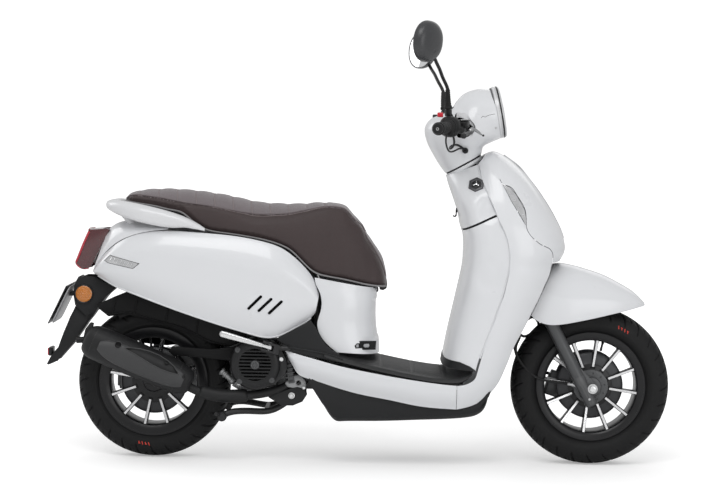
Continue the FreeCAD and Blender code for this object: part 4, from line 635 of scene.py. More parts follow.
# ================================================================== leg shield and lower fairing
SHIELD = [
    ((371, 924), (349, 896), 84, 2.3), ((392, 932), (353, 878), 106, 2.3), ((415, 927), (358, 852), 128, 2.3), ((452, 904), (371, 820), 150, 2.3),
    ((493, 866), (386, 787), 168, 2.3), ((539, 808), (401, 748), 182, 2.3), ((575, 752), (415, 718), 190, 2.3), ((603, 699), (427, 692), 194, 2.3),
    ((614, 660), (437, 655), 196, 2.3), ((612, 634), (441, 622), 196, 2.3), ((600, 611), (440, 603), 196, 2.3),
]
WING = [
    (438, 580, 196, 560, 578, 142), (432, 550, 195, 546, 545, 148), (424, 515, 194, 531, 509, 152), (412, 480, 193, 514, 474, 154), (399, 440, 192, 497, 437, 156),
    (384, 400, 191, 477, 398, 157), (371, 360, 190, 458, 360, 158), (360, 320, 189, 443, 320, 158), (352, 290, 188, 431, 290, 157),
    (345, 270, 188, 414, 254, 158), (332, 259, 188.5, 393, 227, 161), (315, 252, 189, 367, 204, 166), (302, 249.5, 189, 332, 187, 171), (293.2, 248.5, 189, 293.5, 178, 176),
]
NV1, NV2 = 34, 30
TH0 = 0.562 * math.pi / 2
A1, A2 = np.linspace(0, TH0, NV1), np.linspace(TH0, math.pi / 2, NV2)[1:]
top = []
for (cx, cz), (sx, sz), w, n in SHIELD:
    a = np.r_[A1, A2]
    s, c = np.sin(a) ** (2 / n), np.cos(a).clip(0) ** (2 / n)
    top.append(np.c_[sx + (cx - sx) * s, -w * c, sz + (cz - sz) * s])
low = []
for xs, zs, w, xe, ze, we in WING:
    n = 2.3
    c1 = (we / w) ** (n / 2)
    th = math.acos(min(1, c1))
    a = np.linspace(0, th, NV1)
    s, c = np.sin(a) ** (2 / n), np.cos(a) ** (2 / n)
    k = s / s[-1]
    low.append(np.c_[xs + (xe - xs) * k, -w * c, zs + (ze - zs) * k])
ctl = [t[:NV1] for t in top] + low
d = np.r_[0, np.cumsum([np.linalg.norm(ctl[i + 1][NV1 // 2] - ctl[i][NV1 // 2]) for i in range(len(ctl) - 1)])]
iw = len(top) - 1
NU1, NU2 = 110, 110
t1 = np.linspace(0, d[iw], NU1)
t2 = np.linspace(d[iw], d[-1], NU2)[1:]
band = np.stack([_nat(d, np.array([c[j] for c in ctl]), np.r_[t1, t2]) for j in range(NV1)], 1)
crown = np.stack([_nat(d[:iw + 1], np.array([t[NV1 + j] for t in top]), t1) for j in range(NV2 - 1)], 1)
half_top = np.concatenate([band[:NU1], crown], 1)
G_top = np.concatenate([half_top, half_top[:, ::-1][:, 1:] * np.array([1, -1, 1])], 1)
# normals of the whole, so that the joint between crown and wings stays smooth
N_top = gnormals(G_top)
N_band = gnormals(band)
N_band[:NU1, :NV1 - 1] = N_top[:, :NV1 - 1]


def shield_mesh(name, t=3.0):
    """Crown over the full width running on into the two wings, as one closed shell."""
    nvf = G_top.shape[1]
    bandL = band[NU1:] * np.array([1, -1, 1])
    nb = NU2 - 1
    Nt = N_top
    Nr = N_band[NU1:]
    Nl = Nr * np.array([1, -1, 1])
    pts, nor = [G_top.reshape(-1, 3), band[NU1:].reshape(-1, 3), bandL.reshape(-1, 3)], [Nt.reshape(-1, 3), Nr.reshape(-1, 3), Nl.reshape(-1, 3)]
    P = np.vstack(pts)
    Nn = np.vstack(nor)
    o1 = G_top.shape[0] * nvf
    o2 = o1 + nb * NV1
    idt = lambda i, j: i * nvf + j
    idr = lambda i, j: (idt(NU1 - 1, j) if i < 0 else o1 + i * NV1 + j)
    idl = lambda i, j: (idt(NU1 - 1, nvf - 1 - j) if i < 0 else o2 + i * NV1 + j)
    F = [(idt(i, j), idt(i + 1, j), idt(i + 1, j + 1), idt(i, j + 1)) for i in range(NU1 - 1) for j in range(nvf - 1)]
    for i in range(-1, nb - 1):
        for j in range(NV1 - 1):
            F.append((idr(i, j), idr(i + 1, j), idr(i + 1, j + 1), idr(i, j + 1)))
            F.append((idl(i, j), idl(i, j + 1), idl(i + 1, j + 1), idl(i + 1, j)))
    o = raw(name, P, F)
    # inner skin: offset along the normals, then rim
    n = len(P)
    inn = P - Nn * t
    E = {}
    for f in F:
        for a, b in zip(f, f[1:] + f[:1]):
            k = (min(a, b), max(a, b))
            E.setdefault(k, []).append((a, b))
    rim = [(e[0][1], e[0][0], e[0][0] + n, e[0][1] + n) for e in E.values() if len(e) == 1]
    bpy.data.objects.remove(o, do_unlink=True)
    o = raw(name, np.vstack([P, inn]), F + [tuple(n + k for k in reversed(f)) for f in F] + rim)
    outward(o)
    return o


if np.dot(N_top[NU1 // 2, G_top.shape[1] // 2], (1, 0, 0.3)) < 0:
    N_top, N_band = -N_top, -N_band
sh = shield_mesh("shield_all")
LINE2 = [(409, 852), (418, 838), (439, 831), (458, 808), (476, 780), (485, 752), (486, 718), (496, 695), (516, 675), (538, 661), (557, 652), (566, 640), (569, 622), (568, 600)]
cuts = []
for s in (-1, 1):
    cuts.append(ribbon(LINE2 if True else 0, 1.6, s * 30, s * 260))
LENS2 = [(416, 838), (438, 831), (459, 807), (482, 766), (487, 740), (486, 717), (477, 731), (462, 756), (441, 790)]
for s in (-1, 1):
    cuts.append(plate("c", LENS2, s * 40, s * 260))
boolean(sh, cuts)
done(sh, WHITE, "frame", ("front_shield",), deg=30)
sh.name = "leg_shield"
# indicator lens filling its opening, with ribs
Gs = G_top[:, :NV1 + NV2 - 1] - N_top[:, :NV1 + NV2 - 1] * 0.8
ln = shell("l", Gs, 2.4)
sm = [(418.0, 836.8), (437.6, 829.8), (458, 806), (480.8, 765.3), (485.6, 740), (484.9, 719.6), (478.2, 732.6), (463.2, 757), (442.2, 790.6)]
boolean(ln, [plate("c", sm, -260, -40)], "INTERSECT")
lr = flip(ln, "front_indicator_left")
ln.name = "front_indicator_right"
done(ln, LENS, "frame", ("lenses",))
done(lr, LENS, "frame", ())
# thin bars behind the front indicator lens, proud as moulded lines
for s, nm in ((-1, "right"), (1, "left")):
    bars = []
    for k in range(4):
        f = 0.2 + 0.2 * k
        a = np.array([419 + (485.5 - 419) * f, 836 - (836 - 722) * f])
        cpt = np.array([438 + (484 - 438) * f, 829 - (829 - 738) * f])
        row = []
        for t in np.linspace(0.08, 0.92, 8):
            x, z = a * (1 - t) + cpt * t
            dd = (G_top[:, :NV1 + NV2 - 1, 0] - x) ** 2 + (G_top[:, :NV1 + NV2 - 1, 2] - z) ** 2
            i, j = np.unravel_index(dd.argmin(), dd.shape)
            p = G_top[i, j] + N_top[i, j] * 0.3
            row.append((p[0], p[1] * -s, p[2]))
        bars.append(tube("b", row, 0.9, 6, 12))
    done(join("indicator_rib_" + nm, bars), MACH, "frame", ())
# centre strip down the front
TR = [(428, 921), (443, 911), (474, 888), (493, 866), (518, 836), (539, 808), (564, 771), (585, 735), (603, 699), (611, 677)]
P = spl(TR, 70)
t = np.gradient(P, axis=0)
t /= np.linalg.norm(t, axis=1, keepdims=True)
nn = np.c_[-t[:, 1], t[:, 0]]
nn *= np.sign(nn[:, :1])
G = []
for i in range(len(P)):
    f = i / (len(P) - 1.0)
    w = 13.5 * math.sin(min(1, f * 6 + 0.25) * math.pi / 2) * (1 - 0.55 * f) * math.sin(min(1, (1 - f) * 8 + 0.2) * math.pi / 2)
    row = []
    for v in np.linspace(-1, 1, 11):
        h = 3.6 * (1 - abs(v) ** 4) - 1.2
        row.append((P[i, 0] + nn[i, 0] * h, v * w, P[i, 1] + nn[i, 1] * h))
    G.append(row)
ts = shell("front_trim", np.array(G), 1.4)
done(ts, STRIPC, "frame", ())

# ================================================================== inner leg shield
IU = [
    ((256.5, 859), (347, 893), 80, 3.0), ((263, 835), (351, 866), 110, 3.2), ((274, 805), (364, 828), 140, 3.4), ((284, 778), (380, 795), 161, 3.6), ((296, 740), (395, 762), 174, 3.7), ((303, 706), (407, 733), 181, 3.8),
    ((309, 690), (412, 716), 184, 3.8), ((313, 663), (426, 690), 189, 3.8), ((313, 629), (437, 642), 192, 3.8), ((311, 595), (437, 594), 192.5, 3.7), ((304, 557), (429, 556), 191, 3.5), ((295, 515), (420, 518), 190, 3.4),
    ((281, 450), (399, 452), 189, 3.3), ((268, 390), (378, 392), 188, 3.3), ((257, 330), (357, 330), 187, 3.3), ((252, 300), (347, 292), 186, 3.3),
]
G = ribs([(C, (S[0] - 0.9, S[1]), w - 1.3, n) for C, S, w, n in IU], 240, 70)
N = gnormals(G)
if N[120, 69, 0] > 0:
    N = -N
for cx, cz, r, dep in ((382, 576, 42, 7.0), (352, 768, 34, -2.0), (374, 764, 30, 9.0)):
    dd = np.sqrt((G[..., 0] - cx) ** 2 + ((G[..., 2] - cz) * 0.8) ** 2)
    G = G - N * (dep * np.exp(-(dd / r) ** 4))[..., None] * (np.abs(G[..., 1]) > 110)[..., None]
inn = shell("inner_leg_shield", G, 3.0, N=N)
cuts = [ribbon([(240, 668), (262, 679), (312, 704.5), (352, 724), (374, 734.5), (400, 747)], 6.2, -260, 260)]
cuts.append(abox("c", 200, 480, -260, 260, 180, 293))
boolean(inn, cuts)
done(inn, WHITE, "frame", ("inner_shield",), deg=32)
# backing behind the gaps: white, with a black strip behind the lower gap as painted shade
G2 = ribs([(C, (S[0] + 1.0, S[1]), w + 1.5, n) for C, S, w, n in IU[1:-1]], 120, 60)
N2 = gnormals(G2)
if N2[60, 59, 0] > 0:
    N2 = -N2
for cx, cz, r, dep in ((382, 576, 42, 7.0), (374, 764, 30, 9.0)):
    dd = np.sqrt((G2[..., 0] - cx) ** 2 + ((G2[..., 2] - cz) * 0.8) ** 2)
    G2 = G2 - N2 * (dep * np.exp(-(dd / (r * 1.12)) ** 4))[..., None] * (np.abs(G2[..., 1]) > 100)[..., None]
bk = shell("inner_shield_backing", G2 - N2 * 3.6, 2.0, N=N2)
# black liner strip behind the lower gap: painted shade in the gap
bk2 = shell("inner_shield_gap_shade_liner", G2 - N2 * 3.6, 2.0, N=N2)
GAPL = [(262, 679), (312, 704.5), (352, 724), (420, 757)]
boolean(bk, [ribbon(GAPL, 17, -260, 260)])
boolean(bk2, [ribbon(GAPL, 16.8, -260, 260)], "INTERSECT")
done(bk, WHITE, "frame", ())
done(bk2, BLACK_AND_PAINTED_SHADE, "frame", ())
# seal between the inner and the outer shield
for sd, nm in ((-1, "right"), (1, "left")):
    sl = tube("inner_shield_seal_" + nm, [(S[0] + 2.2, sd * (w - 2.6), S[1]) for C, S, w, n in IU[:-1]], 3.0, 12, 160)
    done(sl, WHITE, "frame", ())
# black corner at the foot of the inner shield
Gc = ribs([(C, (S[0] - 2.2, S[1]), w - 1.2, n) for C, S, w, n in IU[-4:]], 60, 70)
Nc = gnormals(Gc)
if Nc[30, 69, 0] > 0:
    Nc = -Nc
ft = shell("inner_foot_cover", Gc + Nc * 1.6, 2.4, N=Nc)
boolean(ft, [plate("c", [(236, 325), (262, 322), (300, 318), (330, 306), (347, 294), (352, 270), (200, 270)], -300, 300)], "INTERSECT")
done(ft, BLACKP, "frame", (), deg=32)

# ignition lock with its bezel and shutter
kc = np.array([341.0, -133.5, 837.0])
dd = np.linalg.norm(G.reshape(-1, 3) - kc, axis=1)
i = dd.argmin()
kc = G.reshape(-1, 3)[i]
kn = np.array(N.reshape(-1, 3)[i])
kn = kn * np.array([1, 1, 1])
d_, u_, w_ = basis(kn)
hexo = []
for k in range(6):
    a = math.radians(60 * k + 30)
    hexo.append((math.cos(a), math.sin(a)))


def poly_ring(c, d, u, w, prof, sides, ph=30, m=None):
    """Rings of a polygon-section turned part."""
    R = []
    for r, h in prof:
        R.append([c + d * h + (u * math.cos(math.radians(360 / sides * k + ph)) + w * math.sin(math.radians(360 / sides * k + ph))) * r for k in range(sides)])
    return np.array(R)


bz = solid_loft("ignition_bezel", poly_ring(kc, kn, u_, w_, [(25, -3), (25.5, 1.5), (23.0, 4.0), (18.0, 4.0), (15.2, 2.0)], 6), caps=True)
done(bz, BEZL, "frame", ("frame_fittings",), bevel=0.6)
sh2 = solid_loft("ignition_shutter", poly_ring(kc, kn, u_, w_, [(14, 1.0), (14, 3.0), (12.6, 3.4)], 6), caps=True)
done(sh2, SATIN, "frame", (), bevel=0.4)
kb = []
for k in range(3):
    a = math.radians(120 * k + 90)
    v = u_ * math.cos(a) + w_ * math.sin(a)
    t3 = np.cross(kn, v)
    kb.append(block("k", kc + kn * 4.3 + v * 5.4, v, t3, kn, 5.0, 1.4, 0.9))
kb.append(cylo("k", kc + kn * 3, kc + kn * 6.2, 4.0, 24))
done(join("ignition_key_face", kb), CHROME, "ignition_key", ("ignition_barrel",), bevel=0.4)

# bag hook below the top of the inner shield
hk = plate("bag_hook", [(298, 764), (293, 765), (288.5, 761), (287, 752), (287.6, 744), (286, 738.5), (282.5, 737.2), (280.6, 741), (278.6, 740), (280.4, 734.6), (286.4, 733.6), (290.4, 738), (291, 748), (298, 756)], -6, 6)
done(hk, SATIN, "frame", (), bevel=1.2, seg=3)

# ================================================================== floor, skirts, belly
SK = [
    (-209, 341.5, 338.5, 166), (-201, 340, 318, 168), (-190, 337, 300, 171), (-172, 331.5, 273, 175), (-150, 326, 262, 178), (-130, 321, 257, 180), (-60, 303, 236, 186), (20, 287, 216, 190), (100, 273, 202, 191), (180, 261, 186.5, 191),
    (250, 252.5, 180, 190), (292, 249, 178, 189),
]
rows = []
for x, zt, zb, w in SK:
    row = []
    for k in range(9):
        t = k / 8.0
        row.append((x, -(w + 6 * math.sin(math.pi * min(1, t * 1.05)) - 13 * t ** 1.6), zt + (zb - zt) * t))
    rows.append(row)
G = refine(rows, 140, 36)
sk = shell("side_skirt_right", G, 3.0 if gnormals(G)[70, 18, 1] < 0 else -3.0)
sl = flip(sk, "side_skirt_left")
done(sk, WHITE, "frame", ("lower_fairings",), bevel=0.9)
done(sl, WHITE, "frame", (), bevel=0.9)
# rolled lip between skirt and floor mat
FLZ = [(-95, 338), (-60, 328), (0, 313), (67, 298), (120, 287), (169, 278), (236, 269), (286, 268), (309, 272), (327, 282), (338, 293)]
fl = spl(FLZ, 150)
rows = []
ys = np.r_[np.linspace(-186, -172, 8), np.linspace(-166, 166, 112), np.linspace(172, 186, 8)]
G = np.zeros((len(fl), len(ys), 3))
for i, (x, z) in enumerate(fl):
    wf = 1.0 if x < 286 else 1.0 - ((x - 286) / 52.0) ** 2 * 0.10
    crown = 12.5 * (1 - (ys / 186.0) ** 4)
    edge = -7.5 * np.clip((np.abs(ys) - 176) / 10.0, 0, 1) ** 1.5
    rib_ = np.zeros_like(ys)
    inside = np.clip((158 - np.abs(ys)) / 3, 0, 1) * np.clip((x + 78) / 4, 0, 1) * np.clip((268 - x) / 4, 0, 1)
    # long ribs of the mat, broken by cross gaps
    ribp = np.clip((3.2 - np.abs(np.mod(ys + 500, 9.0) - 4.5)) / 1.2, 0, 1)
    gap = 1.0 if (x + 300) % 92 > 3.0 else 0.0
    rib_ = 1.1 * ribp * inside * gap
    G[i, :, 0], G[i, :, 1], G[i, :, 2] = x, ys * wf, z + crown - 5.5 + edge + rib_ + 2.0
fb = shell("floor_mat", G, 5.0 if gnormals(G)[70, 60, 2] > 0 else -5.0)
done(fb, MAT, "frame", ("floorboard",), deg=28)
# rear black corners of the floor
for s, nm in ((-1, "right"), (1, "left")):
    tri = plate("floor_corner_" + nm, [(-137, 432), (-190, 403), (-239, 376), (-224, 366), (-212, 358), (-209, 343), (-168, 333), (-100, 319), (-62, 310), (-50, 322), (-52, 336), (-70, 343), (-92, 360), (-110, 388), (-124, 414)], s * 164, s * 176.5)
    done(tri, BLACKP, "frame", (), bevel=2.4, seg=3)
    edge = tube("floor_corner_bead_" + nm, [(-216, s * 174, 357), (-180, s * 176, 350), (-120, s * 177, 341), (-70, s * 178, 330), (-40, s * 180, 320)], 3.2, 10, 40)
    done(edge, BLACKP, "frame", ())
# belly pan: lofted across the width
PB = [(-142, 250), (-131, 232), (-100, 184), (-60, 133), (-40, 131.5), (60, 134), (172, 139), (270, 144), (330, 150), (352, 156), (370, 168), (380, 184), (388, 214)]
pb = spl(PB, 120)
ys = np.linspace(-1, 1, 61)
G = np.zeros((len(pb), 61, 3))
for i, (x, z) in enumerate(pb):
    wv = 168.0
    up = 16 * np.clip((np.abs(ys) - 0.78) / 0.22, 0, 1) ** 2
    rb = 2.0 * (np.abs(np.mod(ys * 168 + 500, 42) - 21) < 7)
    G[i] = np.c_[np.full(61, x), ys * wv, z + up + rb * (1 if -40 < x < 340 else 0)]
bp_ = shell("belly_pan", G, 3.0 if gnormals(G)[60, 30, 2] < 0 else -3.0)
sides = []
for s in (-1, 1):
    sd = plate("s", [(-141, 251), (-130, 233), (-99, 186), (-60, 147), (-40, 147), (60, 149), (172, 154), (270, 159), (330, 165), (350, 171), (364, 182), (372, 195), (388, 216), (394, 232), (360, 214), (330, 196), (287, 188), (220, 190), (153, 200), (69, 220), (-60, 246), (-128, 262)], s * 164.5, s * 168.2)
    sides.append(sd)
bl = join("belly_pan_all", [bp_] + sides)
done(bl, BLACKP, "frame", ("belly_pan",), bevel=1.0)

# ================================================================== handlebar cover (nacelle)
NAC = [
    ((254, 866), (360, 925), 84), ((240, 884), (362, 934), 88), ((226, 905), (364, 943), 93), ((213, 927), (369, 949), 98), ((203, 945), (373, 952), 102), ((190, 990), (382, 956), 108), ((197, 1014), (390, 960), 110), ((222, 1036), (399, 964), 109),
    ((252, 1053), (406, 967), 104), ((274, 1068), (411, 969), 98), ((298, 1096), (414.5, 971), 90), ((330, 1113), (418, 973), 82), ((360, 1118), (421, 975), 77), ((384, 1117), (424, 979), 75),
]
T = table([(r, f, w, 2.35 - 0.35 * min(1, i / 12)) for i, (r, f, w) in enumerate(NAC)], 150)
m = 112
ang = np.linspace(0, 2 * math.pi, m, endpoint=False)
G = np.zeros((len(T), m, 3))
for i, (rx, rz, fx, fz, w, p) in enumerate(T):
    c, s = np.cos(ang), np.sin(ang)
    cc, ss = np.sign(c) * np.abs(c) ** (2 / p), np.sign(s) * np.abs(s) ** (2 / p)
    G[i, :, 0] = (rx + fx) / 2 + (fx - rx) / 2 * cc
    G[i, :, 1] = w * ss
    G[i, :, 2] = (rz + fz) / 2 + (fz - rz) / 2 * cc
Wn = np.concatenate([G[:, -1:], G, G[:, :1]], 1)
Nn = gnormals(Wn)[:, 1:-1]
if Nn[80, 0, 0] < 0:
    Nn = -Nn
nac = shell("handlebar_cover", G, 3.2, cv=True, N=Nn)
OPEN = [(279, 1042), (292, 1045.5), (306, 1043), (321, 1026), (335, 1008), (335, 996), (330, 986), (317, 976), (302, 971.5), (287, 972), (282, 978), (283, 990), (281, 1005), (277, 1024)]
cuts = []
for s in (-1, 1):
    cuts.append(plate("c", OPEN, s * 40, s * 160, spline=60))
    cuts.append(cylo("c", (308, s * 40, 934), (308, s * 150, 934), 6.5, 24))
INC, IND = np.array([252.0, 0, 1044]), np.array([-0.5, 0, 0.8660254])
cuts.append(cylo("c", INC - IND * 40, INC + IND * 40, 42.5, 64))
boolean(nac, cuts)
done(nac, WHITE, "steering", ("handlebar_cover",), deg=32, bevel=0.7, seg=2, blim=50)
# lining seen through the side openings: a light grey ceiling plate above, and below it a black lining that is painted
# shade inside the cover
T2 = T.copy()
T2[:, 4] -= 30
G2 = G.copy()
cen = np.c_[(T[:, 0] + T[:, 2]) / 2, np.zeros(len(T)), (T[:, 1] + T[:, 3]) / 2]
G2 = cen[:, None] + (G - cen[:, None]) * np.array([0.86, 0.52, 0.86])
lin = shell("cover_inner_shade_box", G2[40:132], 2.0, cv=True)
boolean(lin, [cylo("c", INC - IND * 60, INC + IND * 40, 52, 48)])
done(lin, BLACK_AND_PAINTED_SHADE, "steering", ())
for s, nm in ((-1, "right"), (1, "left")):
    ceil = plate("c", [(281, 1043.5), (292, 1046.5), (306, 1044), (320, 1028), (333, 1011), (337, 1003), (331, 1003), (318, 1015), (303, 1027), (290, 1031), (281, 1029)], s * 66, s * 92)
    done(ceil, SILVER, "steering", (), bevel=1.0)
    ceil.name = "opening_ceiling_" + nm
    bx = abox("opening_box_" + nm, 294, 327, s * 60 if s < 0 else 60, s * 60 if s > 0 else -60, 973, 1001)
    bpy.data.objects.remove(bx, do_unlink=True)
    bx = block("opening_box_" + nm, (312, s * 74, 987), (0.98, 0, -0.18), Y_, (0.18, 0, 0.98), 14, 10, 12)
    done(bx, SATIN, "steering", (), bevel=2.0, seg=3)
# speedometer
ins = lathe("instrument_bezel", INC, IND, [(41.8, -16), (44.6, -2), (46.6, 2.6), (45.6, 5.0), (42.0, 5.4), (39.4, 2.0), (39.2, -16)], 96)
done(ins, SATIN, "steering", ("instrument",) if "instrument" in frame["nodes"] else ())
dial = lathe("instrument_dial", INC, IND, [(0, -8), (39.0, -8), (39.0, -6.6), (0, -6.4)], 64, closed=False)
done(dial, BLACK_AND_PAINTED_SHADE, "steering", ())
uI, vI = np.array([0, -1.0, 0]), np.cross(IND, np.array([0, -1.0, 0]))
tk = []
for k in range(25):
    a = math.radians(225 - 270 * k / 24)
    e = uI * math.cos(a) + vI * math.sin(a) * -1
    e = -np.array([0, 1.0, 0]) * math.cos(a) * 1 + np.cross(np.array([0, 1.0, 0]), IND) * -math.sin(a)
    long_ = k % 4 == 0
    tk.append(block("k", INC - IND * 6.1 + e * (33 if long_ else 34.5), e, np.cross(IND, e), IND, 3.6 if long_ else 2.0, 0.55 if long_ else 0.35, 0.25))
a = math.radians(225)
e = -np.array([0, 1.0, 0]) * math.cos(a) + np.cross(np.array([0, 1.0, 0]), IND) * -math.sin(a)
tk.append(cylo("k", INC - IND * 6.4, INC - IND * 3.6, 3.6, 24))
done(join("dial_marks", tk), SILVER, "steering", ())
nd = block("dial_needle", INC - IND * 4.6 + e * 14, e, np.cross(IND, e), IND, 17, 0.8, 0.35)
done(nd, REDM, "steering", (), bevel=0.2)
gl = lathe("instrument_glass", INC, IND, [(0, 4.4), (20, 4.0), (32, 3.1), (39.3, 1.4), (39.3, 0.2), (32, 1.8), (20, 2.7), (0, 3.0)], 72, closed=False)
done(gl, GLASS, "steering", ())

# ================================================================== headlamp
TI = math.radians(11.2)
HA = np.array([math.cos(TI), 0, math.sin(TI)])      # looking forwards
HB = np.array([-math.sin(TI), 0, math.cos(TI)])     # up the lamp's face
edge_c = (np.array([384.0, 0, 1117]) + np.array([424.0, 0, 979])) / 2
REF = HB
rim = lathe("headlamp_rim", edge_c, HA, [(72.0, -6), (76.2, -3.5), (77.2, 1.5), (76.6, 9), (74.8, 13), (71.8, 14.6), (69.6, 13.6), (68.6, 9), (68.6, -6)], 144, ref=REF)
done(rim, LAMPR, "steering", ("headlamp",), deg=28)
seam = lathe("headlamp_gasket", edge_c, HA, [(70.2, -9), (74.4, -9), (75.2, -4.4), (70.2, -3.0)], 120, ref=REF)
done(seam, GASKET_GREY_AND_SEAM_SHADE, "steering", ())
strip = lathe("headlamp_strip", edge_c, HA, [(69.6, 7.8), (77.4, 8.0), (77.6, 9.0), (76.8, 12.6), (69.6, 12.8)], 120, ref=REF)
done(strip, SATIN, "steering", (), deg=50)
bead_ = lathe("headlamp_bead", edge_c, HA, [(67.8, 12.2), (75.8, 12.4), (75.6, 15.0), (74.0, 17.2), (70.6, 17.8), (67.8, 16.0)], 120, ref=REF)
done(bead_, LAMPR, "steering", (), deg=50)
band_ = lathe("headlamp_band", edge_c, HA, [(75.0, -2.2), (77.6, -1.6), (77.9, 0.6), (77.6, 2.4), (75.0, 2.8)], 120, ref=REF)
done(band_, SILVER, "steering", (), deg=50)
prof = [(0, 22.5), (12, 22.3), (24, 21.6), (36, 20.3), (48, 18.4), (58, 16.3), (65, 14.2), (68.4, 12.6), (68.4, 9.6), (64, 11.0), (56, 13.4), (46, 15.7), (34, 17.7), (22, 18.9), (0, 19.7)]
hl = lathe("headlamp_lens", edge_c, HA, prof, 120, closed=False, ref=REF)
done(hl, GLASS, "steering", ())
# reflector bowl with stepped facets
R = []
for i in range(30):
    t = i / 29.0
    r = 66.5 * math.sqrt(1 - 0.96 * t)
    row = []
    for k in range(96):
        f = 1 + 0.018 * (1 if (k // 8 + i // 3) % 2 else -1) * (1 - t)
        a = 2 * math.pi * k / 96
        row.append(edge_c + HA * (10 - 46 * t) + (HB * math.cos(a) + np.array([0, 1.0, 0]) * math.sin(a)) * r * f)
    R.append(row)
Rb = np.array(R)
bowl = shell("headlamp_bowl", Rb, 1.2, cv=True)
done(bowl, CHROME, "steering", (), deg=12)
bulb = lathe("headlamp_bulb", edge_c, HA, [(0, 0), (4, -0.5), (7, -3), (8.2, -8), (7.6, -14), (9.5, -15), (9.5, -20), (14, -21), (14, -38), (0, -38)], 36, closed=False)
done(bulb, GLASS, "steering", ())
# grey line sunk along the horizontal split line round the shell, painted shade in the seam, and a small screw under it
for s, nm in ((-1, "right"), (1, "left")):
    pth = []
    for x in np.linspace(352, 395, 12):
        z = 1031 + (x - 349) * 0.25
        dd = (G[60:, :, 0] - x) ** 2 + (G[60:, :, 2] - z) ** 2 + np.where(G[60:, :, 1] * s < 20, 1e6, 0)
        i, j = np.unravel_index(dd.argmin(), dd.shape)
        pth.append(G[60 + i, j] - Nn[60 + i, j] * 0.4)
    done(tube("shell_seam_shade_" + nm, pth, 0.8, 8, 30), GASKET_GREY_AND_SEAM_SHADE, "steering", ())
    dd = (G[60:, :, 0] - 398) ** 2 + (G[60:, :, 2] - 1002) ** 2 + np.where(G[60:, :, 1] * s < 10, 1e6, 0)
    i, j = np.unravel_index(dd.argmin(), dd.shape)
    p, q = G[60 + i, j], Nn[60 + i, j]
    scw = lathe("shell_screw_" + nm, p - q * 1.0, q, [(0, 2.4), (2.6, 2.2), (3.8, 1.2), (4.0, 0), (3.0, -3), (0, -3)], 20, closed=False)
    done(scw, STEEL, "steering", ())

# ================================================================== handlebar, grips, switches, levers, mirrors
BI, BO = np.array([252.0, -215, 1002]), np.array([219.0, -345, 996])
BD = (BO - BI) / np.linalg.norm(BO - BI)


def bar(s, sd=-1):
    p = BI + BD * s
    return np.array([p[0], p[1] * -sd, p[2]])


FL = np.array([1, -1, 1.0])
path = [(292.5, 0, 969), (293.2, -35, 975), (294, -70, 985), tuple(BI - BD * 84), tuple(BI - BD * 40), tuple(BI), tuple(BI + BD * 60), tuple(BI + BD * 121)]
full_path = [tuple(np.array(p) * FL) for p in path[::-1]] + path[1:]
hb = tube("handlebar_bar", full_path, 10.8, 20, 160)
done(hb, SATIN, "steering", ("handlebar",))
clampb = block("bar_clamp", (292, 0, 960), (0.9, 0, 0.42), Y_, (-0.42, 0, 0.9), 20, 22, 14)
done(clampb, CAST, "steering", (), bevel=3, seg=3)


def grip(name, sd):
    """Ribbed rubber grip: fine rings and long grooves over a soft swell."""
    nu, nv = 150, 72
    bdv = BD * np.array([1, -sd, 1])
    d, u, w = basis(bdv)
    Gp = np.zeros((nu, nv, 3))
    a = np.linspace(0, 2 * math.pi, nv, endpoint=False)
    for i in range(nu):
        s = 3.0 + 129.5 * i / (nu - 1)
        if s < 4.2:
            r = 17.5 + (s - 3) * 3.5
        elif s < 9:
            r = 21.8
        elif s < 12:
            r = 21.8 - (s - 9) / 3 * 5.2
        elif s < 122:
            r = 16.3 + 0.9 * math.sin((s - 12) / 110 * math.pi) - (0.75 if (s % 6.2) < 1.6 else 0)
        elif s < 125:
            r = 16.3 + (s - 122) * 0.8
        else:
            r = 18.7 - max(0, s - 129) ** 2 * 0.13
        groove = np.where((np.mod(a * 36 / (2 * math.pi), 1) < 0.35) & (14 < s < 120) & (np.abs(np.mod(s, 31) - 15) < 12), -0.6, 0.0)
        rr = r + groove
        Gp[i] = bar(s, sd) + rr[:, None] * (np.cos(a)[:, None] * u + np.sin(a)[:, None] * w)
    o = solid_loft(name, Gp)
    return o


